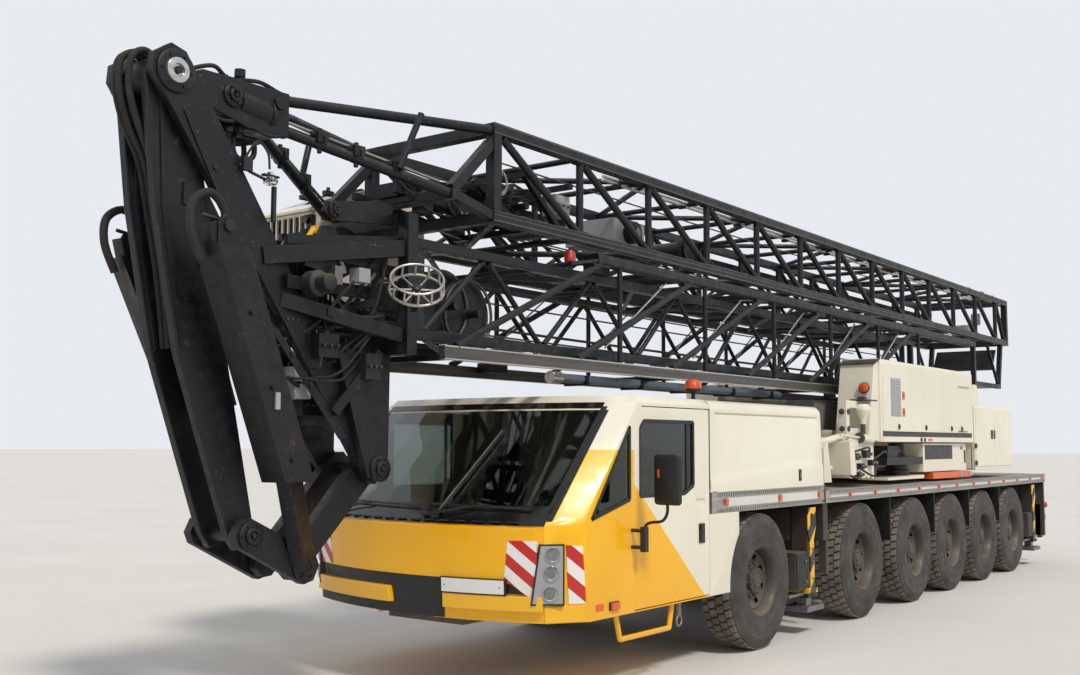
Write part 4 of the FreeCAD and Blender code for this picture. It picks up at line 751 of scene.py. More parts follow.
def rim(build):
    """Wheel disc with hand holes, nuts and a planetary hub, outer face towards +Y."""
    barrel = [(-0.165, 0.340), (0.150, 0.340), (0.172, 0.356), (0.178, 0.352), (0.172, 0.336),
              (0.150, 0.318),
              (0.085, 0.305), (0.062, 0.296), (0.045, 0.300), (-0.150, 0.312)]
    build.lathe(barrel, (0, 0, 0), (0, 1, 0), RIM_SIDES, 2, closed=True)
    disc = [(0.070, 0.297), (0.078, 0.285), (0.062, 0.262), (0.045, 0.215), (0.040, 0.190), (0.052, 0.180),
            (0.052, 0.145), (0.020, 0.140), (0.010, 0.297)]
    first = len(build.faces)
    build.lathe(disc, (0, 0, 0), (0, 1, 0), RIM_SIDES, 2, closed=True)
    disc_faces = build.faces[first:]
    del build.faces[first:], build.kinds[first:]
    for number, face in enumerate(disc_faces):
        band, sector = divmod(number, RIM_SIDES)
        if band != HOLE_BAND or sector % (RIM_SIDES // HAND_HOLES) not in OPEN_SECTORS:
            build.faces.append(face)
            build.kinds.append(2)
    hub = [(0.030, 0.150), (0.056, 0.148), (0.060, 0.128), (0.105, 0.122), (0.112, 0.112), (0.115, 0.075),
           (0.128, 0.070), (0.131, 0.040), (0.131, 0.004)]
    build.lathe(hub, (0, 0, 0), (0, 1, 0), 32, 2)
    for x, z in around(WHEEL_NUTS, 0.166):
        spot = Vector((x, 0.050, z))
        for height, radius, sides, kind in ((0.010, 0.022, 10, 2), (0.034, 0.015, 6, 3),
                                            (0.048, 0.008, 8, 3)):
            build.tube(spot, spot + Vector((0, height, 0)), radius, sides, kind)
    for x, z in around(HUB_BOLTS, 0.100, 0.5):
        spot = Vector((x, 0.112, z))
        build.tube(spot, spot + Vector((0, 0.012, 0)), 0.009, 6, 3)


def make_wheels():
    pitch = 2 * math.pi / TREAD_PITCHES
    for way, side in SIDES:
        build = Build()
        tyre(build)
        rim(build)
        if way < 0:
            for point in build.points:
                point.y = -point.y
        mesh = build.mesh("road_wheel_" + side, ["tyre", "tread", "rim", "galvanised"])
        mesh.set_sharp_from_angle(angle=math.radians(35))
        for number in range(1, 7):
            name = "wheel_%d_%s" % (number, side)
            low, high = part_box(name)
            middle = (low + high) / 2
            turn = Matrix.Rotation(WHEEL_TURN * (number - 1) * pitch, 4, "Y")
            placed = mesh.copy()
            placed.name = "road_" + name
            placed.transform(Matrix.Translation(Vector((middle.x, way * WHEEL_Y, TYRE_RADIUS))) @ turn)
            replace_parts(put("road_" + name, placed, name), name)


# Floor

def make_floor():
    finish = Finish("floor")
    finish.colour(finish.mottled(colour(214, 210, 203), colour(220, 216, 209), 0.35, 3, 0.3, 0.7))
    finish.rough(0.9)
    mesh = bpy.data.meshes.new("floor")
    corners = [(x * FLOOR_HALF, y * FLOOR_HALF, 0) for x, y in ((-1, -1), (1, -1), (1, 1), (-1, 1))]
    mesh.from_pydata(corners, [], [(0, 1, 2, 3)])
    mesh.materials.append(finish.material)
    floor = linked("floor", mesh)
    floor.location.z = FLOOR_Z


# Driver's cab

# Sections of the cab's front: height, side corner X, lamp corner X, nose X
NOSE_SECTIONS = ((0.65, 3.12, 3.42, 3.70), (1.42, 3.20, 3.46, 3.74), (2.43, 2.40, 2.54, 2.72))
LAMP_CORNER_Y = 1.3


def nose_x(y, z):
    """How far forward the cab's skin stands at one side place and height."""
    lower, upper = NOSE_SECTIONS[0], NOSE_SECTIONS[1]
    if z > NOSE_SECTIONS[1][0]:
        lower, upper = NOSE_SECTIONS[1], NOSE_SECTIONS[2]
    share = (z - lower[0]) / (upper[0] - lower[0])
    side, lamp, nose = (a + (b - a) * share for a, b in zip(lower[1:], upper[1:]))
    across = abs(y)
    if across > LAMP_CORNER_Y:
        return lamp + (side - lamp) * (across - LAMP_CORNER_Y) / (HALF_WIDTH - LAMP_CORNER_Y)
    rise = nose - lamp
    radius = (LAMP_CORNER_Y ** 2 + rise ** 2) / (2 * rise)
    return nose - radius + math.sqrt(radius ** 2 - across ** 2)


def on_nose(y, z, out):
    """A point on the cab's front, moved out square to the skin."""
    step = 0.01
    point = Vector((nose_x(y, z), y, z))
    way = -step if y > 0 else step
    beside = Vector((nose_x(y + way, z), y + way, z)) - point
    above = Vector((nose_x(y, z + step), y, z + step)) - point
    normal = beside.cross(above)
    if normal.x < 0:
        normal = -normal
    return point + normal.normalized() * out


def nose_panel(build, corners, out, kind, columns, rows, inside=-0.004):
    """A thin panel that follows the nose. Its corners are side place and height, in order round it."""
    (ay, az), (by, bz), (cy, cz), (dy, dz) = corners
    points = []
    for level in (out, inside):
        for r in range(rows + 1):
            v = r / rows
            for c in range(columns + 1):
                u = c / columns
                y = (1 - v) * ((1 - u) * ay + u * by) + v * ((1 - u) * dy + u * cy)
                z = (1 - v) * ((1 - u) * az + u * bz) + v * ((1 - u) * dz + u * cz)
                points.append(on_nose(y, z, level))
    wide = columns + 1
    layer = wide * (rows + 1)
    faces = []
    for r in range(rows):
        for c in range(columns):
            a = r * wide + c
            quad = (a, a + 1, a + 1 + wide, a + wide)
            faces.append(quad)
            faces.append(tuple(layer + i for i in quad[::-1]))
    last_row = rows * wide
    rim_line = list(range(columns)) + [r * wide + columns for r in range(rows)]
    rim_line += [last_row + columns - c for c in range(columns)] + [last_row - r * wide for r in range(rows)]
    for a, b in zip(rim_line, rim_line[1:] + rim_line[:1]):
        faces.append((a, layer + a, layer + b, b))
    build.add(points, faces, kind)


HOOD_FOOT_Z = 0.98
BUMPER_TOP_Z = 0.875
BUMPER_FOOT_Z = 0.745
TOW_RIGHT, TOW_LEFT = -0.10, 0.42
PLATE_LOW, PLATE_HIGH = (0.45, 0.875), (0.99, 0.985)
SCUTTLE_BARS = 15


def make_cab():
    for node, name, body, width in (("cab_shell", "cab_body", "carrier", 0.014),
                                    ("door_left", "cab_door_left", "door_left", 0.008),
                                    ("door_right", "cab_door_right", "door_right", 0.008)):
        softened(node, name, body, "cab", width)
    for node in ("cab_windows", "door_glass_left", "door_glass_right"):
        give(node, "glass")
    make_cab_front()
    make_lamps()
    make_cab_sides()
    make_wipers()
    make_mirrors()
    make_cab_room()


def level_panel(build, low, high, out, kind, columns, rows, inside=-0.004):
    """A nose panel between a low and a high corner."""
    corners = [low, (high[0], low[1]), high, (low[0], high[1])]
    nose_panel(build, corners, out, kind, columns, rows, inside)


def make_cab_front():
    # Black sheets just proud of the nose's skin, between bumper and hood, below the bumper and round the tow
    # coupling: painted shade for the dark openings there.
    skin = Build()
    for low, high, columns in (((-1.16, BUMPER_TOP_Z), (TOW_LEFT, HOOD_FOOT_Z), 20),
                               ((TOW_RIGHT, 0.66), (TOW_LEFT, HOOD_FOOT_Z), 6),
                               ((PLATE_HIGH[0] - 0.02, 0.875), (1.22, 0.95), 4),
                               ((-1.27, 0.655), (TOW_LEFT + 0.02, BUMPER_FOOT_Z - 0.01), 20)):
        level_panel(skin, low, high, 0.004, 0, columns, 1)
    skin.finish("nose_opening_shade", "carrier", ["plastic"], "cab_trim_dark", smooth=30)

    hood = Build()
    nose_panel(hood, [(-1.22, HOOD_FOOT_Z), (1.22, HOOD_FOOT_Z), (1.24, 1.405), (-1.24, 1.405)], 0.022, 0,
               28, 6)
    hood.finish("nose_hood", "carrier", ["cab"], "cab_yellow", 0.010, 3, smooth=35)

    bumper = Build()
    nose_panel(bumper, [(-1.25, BUMPER_FOOT_Z), (TOW_RIGHT, BUMPER_FOOT_Z), (TOW_RIGHT - 0.03, BUMPER_TOP_Z),
                        (-1.20, BUMPER_TOP_Z)], 0.052, 0, 14, 2)
    level_panel(bumper, (TOW_LEFT + 0.03, BUMPER_FOOT_Z), (1.28, 0.865), 0.045, 0, 14, 2)
    level_panel(bumper, (1.285, 0.655), (1.49, 0.785), 0.010, 0, 4, 2)
    bumper.finish("nose_bumper", "carrier", ["yellow"], "cab_yellow", 0.014, 3, smooth=35)

    band = Build()
    nose_panel(band, [(-1.30, 1.415), (1.30, 1.415), (1.285, 1.565), (-1.285, 1.565)], 0.004, 0, 30, 2)
    level_panel(band, (-1.27, 2.375), (1.27, 2.425), 0.005, 0, 30, 1)
    for way in (-1, 1):
        level_panel(band, (way * 1.262, 1.55), (way * 1.31, 2.39), 0.004, 0, 1, 6)
    band.finish("screen_surround", "carrier", ["frit"], "cab_trim_dark", smooth=30)

    scuttle = Build()
    half = Vector((0.010, 0.050, 0.006))
    for i in range(SCUTTLE_BARS):
        spot = on_nose(-1.05 + i * 0.15, 1.435, 0.008)
        scuttle.block(spot - half, spot + half, 0)
    scuttle.finish("scuttle_grille", "carrier", ["plastic"], "cab_trim_dark", 0.002)

    plate = Build()
    (y0, z0), (y1, z1) = PLATE_LOW, PLATE_HIGH
    level_panel(plate, (y0 - 0.015, z0 - 0.012), (y1 + 0.015, z1 + 0.008), 0.050, 0, 6, 1, 0.02)
    level_panel(plate, PLATE_LOW, PLATE_HIGH, 0.054, 1, 6, 1, 0.045)
    for y in (y0 + 0.03, y1 - 0.03):
        spot = on_nose(y, (z0 + z1) / 2, 0.052)
        plate.tube(spot, spot + Vector((0.006, 0, 0)), 0.006, 6, 0)
    plate.finish("number_plate", "carrier", ["plastic", "plate"], "cab_trim_dark", 0.002)

    stripes = Build()
    nose_panel(stripes, [(0.985, 0.99), (1.235, 0.82), (1.245, 1.30), (1.02, 1.30)], 0.0245, 0, 6, 6)
    nose_panel(stripes, [(-1.235, 0.99), (-0.985, 0.99), (-1.02, 1.30), (-1.245, 1.30)], 0.0245, 0, 6, 6)
    stripes.finish("hazard_panels_front", "carrier", ["hazard_front"], "cab_yellow", smooth=30)

    corner = Build()
    for way in (-1, 1):
        nose_panel(corner, [(way * 1.405, 0.80), (way * 1.488, 0.80), (way * 1.488, 1.255),
                            (way * 1.405, 1.265)],
                   0.006, 0, 2, 6)
    corner.finish("hazard_panels_side", "carrier", ["hazard_side"], "cab_yellow", smooth=30)


def make_lamps():
    """A silver cluster in each nose corner: three round lamps in a tall housing that narrows upwards."""
    housing = Build()
    for way in (-1, 1):
        inner = Vector((3.50, way * 1.205, 0))
        outer = Vector((3.315, way * 1.405, 0))
        across = (outer - inner).normalized()
        forward = Vector((across.y * way, -across.x * way, 0))
        if forward.x < 0:
            forward = -forward
        middle = (inner + outer) / 2

        def spot(u, z, depth):
            return middle + across * u + forward * depth + Vector((0, 0, z))

        # height, inner edge, outer edge
        levels = ((0.795, -0.145, 0.125), (1.275, -0.080, 0.125))
        for depth0, depth1, grow, kind in ((-0.06, 0.030, 0.0, 0), (0.030, 0.034, -0.014, 1)):
            points = []
            for depth in (depth0, depth1):
                (z0, a0, b0), (z1, a1, b1) = levels
                points += [spot(a0 - grow, z0 - grow, depth), spot(b0 + grow, z0 - grow, depth),
                           spot(b1 + grow, z1 + grow, depth), spot(a1 - grow, z1 + grow, depth)]
            faces = [(3, 2, 1, 0), (4, 5, 6, 7), (0, 1, 5, 4), (1, 2, 6, 5), (2, 3, 7, 6), (3, 0, 4, 7)]
            housing.add(points, faces, kind)
        for z, u in ((0.885, 0.010), (1.045, 0.018), (1.190, 0.030)):
            centre = spot(u, z, 0.030)
            for profile, kind in (([(0.0, 0.066), (0.012, 0.066), (0.014, 0.060), (0.008, 0.055)], 1),
                                  ([(0.004, 0.054), (0.010, 0.052), (0.006, 0.030), (0.002, 0.008)], 2),
                                  ([(0.013, 0.054), (0.021, 0.040), (0.025, 0.020), (0.026, 0.004)], 3)):
                housing.lathe(profile, centre, forward, 28, kind)
    housing.finish("lamp_clusters", "carrier", ["plastic", "lamp_body", "mirror", "clear"], "cab_trim_dark",
                   0.004, 2)


def make_cab_sides():
    frames = Build()
    for way in (-1, 1):
        y = way * HALF_WIDTH
        quarter = ((3.09, 1.46), (2.52, 1.60), (2.52, 2.22))
        for (xa, za), (xb, zb) in zip(quarter, quarter[1:] + quarter[:1]):
            frames.bar((xa, y + way * 0.001, za), (xb, y + way * 0.001, zb), 0.012, 0.030, 0)
    frames.finish("quarter_window_rubber", "carrier", ["plastic"], "cab_trim_dark", 0.002)

    for way, side in SIDES:
        y = way * HALF_WIDTH
        door = Build()
        window = ((1.43, 1.69), (1.59, 1.62), (2.355, 1.62), (2.355, 2.21), (2.295, 2.27), (1.43, 2.27))
        for (xa, za), (xb, zb) in zip(window, window[1:] + window[:1]):
            door.bar((xa, y - way * 0.004, za), (xb, y - way * 0.004, zb), 0.014, 0.032, 0)
        door.bar((1.53, y - way * 0.010, 1.66), (1.53, y - way * 0.010, 2.25), 0.010, 0.045, 0)
        door.block((1.245, y - way * 0.010, 1.155), (1.345, y + way * 0.012, 1.335), 0)
        door.block((1.262, y + way * 0.006, 1.175), (1.328, y + way * 0.018, 1.245), 1)
        door.block((1.262, y + way * 0.006, 1.262), (1.328, y + way * 0.022, 1.318), 1)
        door.finish("door_furniture_" + side, "door_" + side, ["plastic", "frit"], "cab_trim_dark", 0.003, 2)

    marks = Build()
    for way in (-1, 1):
        y = way * HALF_WIDTH
        marks.block((2.92, y - way * 0.005, 0.720), (3.03, y + way * 0.006, 0.775), 0)
        marks.block((2.70, y - way * 0.005, 0.705), (2.84, y + way * 0.012, 0.775), 1)
        marks.block((2.71, y + way * 0.010, 0.712), (2.83, y + way * 0.030, 0.768), 0)
    marks.finish("cab_side_markers", "carrier", ["amber", "plastic"], "cab_trim_dark", 0.004, 2)

    ring = Build()
    for way in (-1, 1):
        y = way * (HALF_WIDTH - 0.07)
        ring.ring((1.60, y, 0.475), (0, 1, 0), 0.045, 0.011, 24, 0)
        ring.block((1.575, y - 0.012, 0.52), (1.625, y + 0.012, 0.66), 0)
    ring.finish("lashing_rings", "carrier", ["galvanised"], "chassis_black", 0.003)


WIPER_STEPS = 9
UPRIGHT_STEPS = 6


def make_wipers():
    """Two wipers that lie along the screen's foot, and one that stands upright, its blade beside its arm."""
    wipers = Build()
    reach = Vector((0.03, 0, 0))
    for y0, y1 in ((-0.98, 0.12), (0.24, 1.14)):
        pivot = on_nose(y0 + 0.02 if y0 < 0 else y0, 1.47, 0.015)
        wipers.tube(pivot - reach, pivot + Vector((0.045, 0, 0)), 0.022, 14, 0)
        shares = [i / WIPER_STEPS for i in range(WIPER_STEPS + 1)]
        blade = [on_nose(y0 + (y1 - y0) * share, 1.545 - 0.018 * share, 0.030) for share in shares]
        back = Vector((0.012, 0, 0))
        for a, b in zip(blade, blade[1:]):
            wipers.bar(a, b, 0.010, 0.016, 0)
            wipers.bar(a - back, b - back, 0.004, 0.012, 0)
        wipers.bar(pivot + Vector((0.035, 0, 0)), blade[WIPER_STEPS // 2] + back, 0.012, 0.022, 0)
    pivot = on_nose(0.36, 1.50, 0.02)
    shares = [i / UPRIGHT_STEPS for i in range(UPRIGHT_STEPS + 1)]
    arm = [on_nose(0.36 + 0.12 * share, 1.50 + 0.66 * share, 0.035) for share in shares]
    beside = Vector((0, 0.030, 0))
    for a, b in zip(arm, arm[1:]):
        wipers.bar(a, b, 0.012, 0.010, 1)
        wipers.bar(a + beside, b + beside, 0.008, 0.018, 0)
    wipers.tube(pivot - reach, pivot + reach, 0.020, 14, 0)
    wipers.finish("screen_wipers", "carrier", ["plastic", "galvanised"], "cab_trim_dark", 0.002)


MIRROR_X = 2.49


# Middle and quarter turn of each rounded corner of a mirror's head
MIRROR_CORNERS = ((1.945, 1.955, 0), (1.765, 1.955, 90), (1.765, 1.595, 180), (1.945, 1.595, 270))
MIRROR_MIDDLE_Y, MIRROR_MIDDLE_Z = 1.85, 1.77
MIRROR_ROUNDING = 0.035


def mirror_loop(way, depth, shrink):
    """One outline of the head, set in from the largest by half of shrink."""
    inset = shrink * 0.5
    radius = MIRROR_ROUNDING - inset
    loop = []
    for y, z, start in MIRROR_CORNERS:
        side_y = y - math.copysign(inset, y - MIRROR_MIDDLE_Y)
        side_z = z - math.copysign(inset, z - MIRROR_MIDDLE_Z)
        for k in range(5):
            turn = math.radians(start + k * 22.5)
            loop.append((MIRROR_X + depth, way * (side_y + radius * math.cos(turn)),
                         side_z + radius * math.sin(turn)))
    return loop


def make_mirrors():
    """Two mirrors on bent arms, and the beacon on the cab's roof."""
    for way, side in SIDES:
        build = Build()
        head = [mirror_loop(way, depth, shrink)
                for depth, shrink in ((0.032, 0.030), (0.020, 0.006), (-0.020, 0.0), (-0.034, 0.010))]
        count = len(head[0])
        points = [p for loop in head for p in loop]
        faces = [tuple(range(count)), tuple(range(3 * count, 4 * count))[::-1]]
        for first in (0, count, 2 * count):
            for i in range(count):
                j = (i + 1) % count
                faces.append((first + i, first + j, first + count + j, first + count + i))
        build.add(points, faces, 0)
        build.block((MIRROR_X - 0.038, way * 1.755, 1.60), (MIRROR_X - 0.033, way * 1.955, 1.95), 1)
        build.block((MIRROR_X + 0.028, way * 1.775, 1.79), (MIRROR_X + 0.034, way * 1.795, 1.86), 3)
        arm = [(MIRROR_X, way * y, z) for y, z in ((1.85, 1.60), (1.85, 1.50), (1.80, 1.43), (1.68, 1.41),
                                                   (1.63, 1.36), (1.625, 1.20))]
        build.path(curve_through(arm, 5), 0.013, 10, 0)
        build.block((MIRROR_X - 0.03, way * 1.600, 1.165), (MIRROR_X + 0.03, way * 1.650, 1.375), 0)
        for z in (1.20, 1.34):
            build.tube((MIRROR_X, way * (HALF_WIDTH - 0.01), z), (MIRROR_X, way * 1.61, z), 0.016, 10, 0)
        build.finish("mirror_" + side, "carrier", ["plastic", "mirror", "galvanised", "amber"],
                     "mirror_black", 0.003)
    beacon = Build()
    spot = (0.9, 1.2, 2.49)
    beacon.lathe([(0.0, 0.050), (0.012, 0.050), (0.020, 0.022), (0.075, 0.018), (0.085, 0.050),
                  (0.100, 0.078),
                  (0.118, 0.082), (0.122, 0.080)], spot, (0, 0, 1), 28, 0)
    beacon.lathe([(0.118, 0.079), (0.135, 0.084), (0.165, 0.083), (0.195, 0.072), (0.212, 0.045),
                  (0.216, 0.004)],
                 spot, (0, 0, 1), 28, 1)
    beacon.lathe([(0.124, 0.030), (0.180, 0.030), (0.190, 0.010)], spot, (0, 0, 1), 16, 2)
    beacon.finish("beacon", "carrier", ["plastic", "amber", "mirror"], "mirror_black",
                  replaces=["mirrors_and_beacon"])


CUSHION_CUTS = 10


def cushion(name, low, high, lean=0.0, crown=0.025):
    """A crowned seat cushion: sides pull in, a sewn channel runs across, faces swell."""
    low, high = Vector(low), Vector(high)
    size = high - low
    middle = (low + high) / 2 + Vector((AXLE_1, 0, 0))
    thin = min(range(3), key=lambda axis: size[axis])
    work = bmesh.new()
    bmesh.ops.create_cube(work, size=1)
    bmesh.ops.subdivide_edges(work, edges=work.edges, cuts=CUSHION_CUTS, use_grid_fill=True)
    for vert in work.verts:
        u, v, w = (value * 2 for value in vert.co)
        swell = crown * (1 - u ** 4) * (1 - v ** 4) * (1 - w ** 4)
        round_off = [1 - 0.10 * (abs(b) ** 4 * abs(c) ** 4) for b, c in ((v, w), (u, w), (u, v))]
        shape = Vector((u * round_off[0], v * round_off[1], w * round_off[2]))
        shape[thin] *= 1 - 0.12 * (u ** 2 + v ** 2 + w ** 2 - shape[thin] ** 2) / 2
        channel = 0.012 * math.exp(-((abs(v) - 0.55) / 0.05) ** 2)
        vert.co = Vector((shape.x * size.x / 2, shape.y * size.y / 2, shape.z * size.z / 2))
        if abs((u, v, w)[thin]) > 0.9:
            vert.co[thin] += math.copysign(swell * 0.6 - channel, vert.co[thin])
        vert.co = Matrix.Rotation(lean, 3, "Y") @ vert.co + middle
    for face in work.faces:
        face.smooth = True
    mesh = bpy.data.meshes.new(name)
    work.to_mesh(mesh)
    work.free()
    mesh.materials.append(MAT["seat"])
    put(name, mesh, "carrier")


def make_cab_room():
    floor = 0.745
    for side, y in (("left", 0.75), ("right", -0.75)):
        cushion("seat_base_" + side, (1.44, y - 0.25, floor + 0.34), (1.96, y + 0.25, floor + 0.47))
        cushion("seat_back_" + side, (1.38, y - 0.24, floor + 0.46), (1.50, y + 0.24, floor + 1.10), -0.14)
        cushion("seat_head_" + side, (1.325, y - 0.12, floor + 1.14), (1.405, y + 0.12, floor + 1.32), -0.10,
                0.015)
    room = Build()
    for y in (-0.75, 0.75):
        room.block((1.50, y - 0.15, floor), (1.85, y + 0.15, floor + 0.335), 0)
        for way in (-1, 1):
            room.tube((1.40, y + way * 0.05, floor + 1.05), (1.375, y + way * 0.05, floor + 1.18), 0.008, 8,
                      1)
    dash = [(2.86, floor), (3.11, floor), (3.15, 1.43), (2.80, 1.44), (2.71, 1.33), (2.86, 1.25)]
    room.plate(dash, -1.27, 1.27, "Y", 0)
    room.block((2.74, 0.50, 1.40), (3.00, 1.00, 1.475), 0)
    axis = Vector((-0.88, 0, 0.46)).normalized()
    centre = Vector((2.40, 0.75, 1.512))
    room.tube(Vector((2.80, 0.75, 1.30)), centre, 0.035, 12, 0)
    room.ring(centre, axis, 0.225, 0.016, 32, 0)
    level = Vector((0, 1, 0))
    upright = axis.cross(level)
    for turn in (90, 210, 330):
        reach = level * math.cos(math.radians(turn)) + upright * math.sin(math.radians(turn))
        room.bar(centre, centre + reach * 0.222, 0.030, 0.014, 0)
    room.tube(centre - axis * 0.01, centre + axis * 0.02, 0.06, 20, 0)
    room.finish("cab_room", "carrier", ["trim", "galvanised"], "cab_trim_dark", 0.008, 2,
                replaces=["cab_interior"])


# Lattices: square chords, round laces, and what runs along them

JIB_LOW, JIB_HIGH = Vector((-11.8, -0.78, 3.925)), Vector((3.48, 0.78, 4.78))
JIB_CHORD = 0.10
JIB_BAY = 1.21
OUTER_JIB_CHORD = 0.075
INNER_CHORD = 0.08
OUTER_JIB_LOW, OUTER_JIB_HIGH = Vector((-11.64, -1.43, 4.01)), Vector((2.13, -0.87, 4.64))
INNER_LOW, INNER_HIGH = Vector((-7.0, -0.64, 2.88)), Vector((4.25, 0.64, 3.69))
MAST_REAR, MAST_FRONT, RAIL_FRONT = -9.7, 1.95, 4.1
MAST_BAY = 1.68
BRACE_REACH = 2.05
MAST_TOP = 3.865
RAIL_LOW, RAIL_HIGH = 2.73, 2.84


def even_stations(x0, x1, panels):
    """Places that divide a length into equal panels, both ends among them."""
    return [x0 + (x1 - x0) * i / panels for i in range(panels + 1)]


def corner_bars(build, low, high, chord):
    """Four chords and the two end frames."""
    for z in (low.z, high.z - chord):
        for y in (low.y, high.y - chord):
            build.block((low.x, y, z), (high.x, y + chord, z + chord))
    for x in (low.x, high.x - chord):
        for y in (low.y, high.y - chord):
            build.block((x, y, low.z + chord), (x + chord, y + chord, high.z - chord))
        for z in (low.z, high.z - chord):
            build.block((x, low.y + chord, z), (x + chord, high.y - chord, z + chord))


def brace(build, start, end, radius):
    """A round lace with the flattened, wider foot that its weld gives it."""
    start, end = Vector(start), Vector(end)
    build.tube(start, end, radius, 12)
    along = (end - start).normalized()
    for tip, way in ((start, 1), (end, -1)):
        build.tube(tip, tip + along * (way * radius * 1.6), radius * 1.22, 12, 0, radius)


def lace_sides(build, low, high, chord, radius, stations, posts):
    """Upright faces. With posts, each brace runs from the bottom rear to the top front of its bay."""
    foot, head = low.z + chord, high.z - chord
    for y in (low.y + chord / 2, high.y - chord / 2):
        for x in stations[1:-1] if posts else []:
            build.tube((x, y, foot), (x, y, head), radius, 12)
        for number, (a, b) in enumerate(zip(stations, stations[1:])):
            inset = radius * 1.4
            rising = posts or number % 2 == 0
            start = (a + inset, y, foot if rising else head)
            end = (b - inset, y, head if rising else foot)
            brace(build, start, end, radius)


def lace_flats(build, low, high, chord, radius, stations):
    """Level faces: a cross bar at each station and a slanted one in each bay, to and fro."""
    inner_low, inner_high = low.y + chord, high.y - chord
    for z in (low.z + chord / 2, high.z - chord / 2):
        for x in stations[1:-1]:
            build.tube((x, inner_low, z), (x, inner_high, z), radius, 10)
        for number, (a, b) in enumerate(zip(stations, stations[1:])):
            inset = radius * 1.4
            y0, y1 = (inner_low, inner_high) if number % 2 == 0 else (inner_high, inner_low)
            build.tube((a + inset, y0, z), (b - inset, y1, z), radius, 10)


def jib_stations():
    """The jib's posts, counted back from its front by whole bays, with one odd bay at the rear."""
    stations = [JIB_HIGH.x - JIB_CHORD]
    while stations[-1] - JIB_BAY > JIB_LOW.x + JIB_CHORD + 0.3:
        stations.append(stations[-1] - JIB_BAY)
    stations.append(JIB_LOW.x + JIB_CHORD)
    return stations[::-1]


def make_jib():
    build = Build()
    low, high, chord = JIB_LOW, JIB_HIGH, JIB_CHORD
    stations = jib_stations()
    corner_bars(build, low, high, chord)
    lace_sides(build, low, high, chord, 0.036, stations, True)
    lace_flats(build, low, high, chord, 0.030, stations)
    for y in (low.y, high.y - chord):
        outer = y - 0.004 if y < 0 else y + chord + 0.004
        inner = y + chord * 0.5
        for z, depth in ((high.z - 0.022, 0.016), (high.z - chord + 0.004, 0.014), (low.z + 0.006, 0.014),
                         (low.z + 0.055, 0.012), (low.z + chord - 0.012, 0.010)):
            build.block((low.x, min(outer, inner), z), (high.x, max(outer, inner), z + depth), 1)
        for x in stations[1:-1]:
            for z0, z1 in ((low.z + chord - 0.002, low.z + chord + 0.012),
                           (high.z - chord - 0.012, high.z - chord + 0.002)):
                build.block((x - 0.085, y + 0.01, z0), (x + 0.085, y + chord - 0.01, z1))
    nose_bars(build)
    jib_tail(build)
    build.finish("jib_lattice", "jib", ["black", "rail_steel"], "mast_black", 0.006, 2,
                 ("jib_root_section",))


def nose_bars(build):
    """Bars that draw the jib in to its pivot block."""
    front = JIB_HIGH.x
    build.block((3.915, -0.78, 4.035), (4.005, 0.78, 4.125))
    for way in (-1, 1):
        y = way * 0.73
        build.bar((front, y, 4.60), (3.97, y, 4.12), 0.08, 0.09)
        build.bar((front, y, 3.98), (3.92, y, 4.07), 0.08, 0.08)
        build.tube((front, y, 4.715), (5.22, way * 0.12, 4.655), 0.042, 14)
        build.tube((4.0, y, 4.08), (5.22, way * 0.12, 4.43), 0.044, 14)
        build.tube((4.25, y * 0.9, 4.69), (4.42, y * 0.80, 4.22), 0.028, 10)
    block = [(5.2, 4.70), (5.98, 4.69), (6.05, 4.66), (6.05, 4.50), (5.97, 4.455), (5.6, 4.36), (5.2, 4.36)]
    for y0, y1 in ((-0.185, -0.12), (0.12, 0.185)):
        build.plate(block, y0, y1)
    build.block((5.22, -0.12, 4.38), (5.62, 0.12, 4.68))
    build.block((5.95, -0.12, 4.48), (6.04, 0.12, 4.67))
    turns = [math.radians(-150 + 300 * i / 16) for i in range(17)]
    ring = [(ROOT_PIN[0] + 0.135 * math.cos(turn), ROOT_PIN[1] + 0.135 * math.sin(turn)) for turn in turns]
    build.plate([(5.98, 4.50)] + ring + [(5.98, 4.67)], -0.10, 0.10)
    build.tube((5.30, -0.215, 4.60), (5.30, 0.215, 4.60), 0.05, 18)
    build.tube((5.72, -0.20, 4.58), (5.72, 0.20, 4.58), 0.035, 18)
    build.tube((5.72, 0.0, 4.66), (5.72, 0.0, 4.76), 0.022, 12)
    build.tube((5.72, -0.24, 4.60), (5.72, 0.24, 4.60), 0.022, 12)


def jib_tail(build):
    """Frame that hangs under the jib's rear end, and its hinge ears."""
    for way in (-1, 1):
        y0, y1 = sorted((way * 0.60, way * 0.68))
        build.plate([(-11.78, 3.925), (-11.69, 3.925), (-11.50, 3.19), (-11.59, 3.19)], y0, y1)
        build.block((-10.09, y0, 3.19), (-10.01, y1, 3.925))
        build.block((-11.59, y0, 3.11), (-10.01, y1, 3.19))
        build.bar((-11.5, way * 0.64, 3.21), (-10.9, way * 0.64, 3.90), 0.045, 0.045)
    build.block((-11.29, -0.60, 3.11), (-10.31, 0.60, 3.19))
    for z0, z1 in ((3.99, 4.08), (4.57, 4.66)):
        build.block((-11.892, -0.872, z0), (-11.80, -0.678, z1))
        build.tube((-11.85, -0.825, z0 - 0.012), (-11.85, -0.825, z1 + 0.012), 0.03, 16)


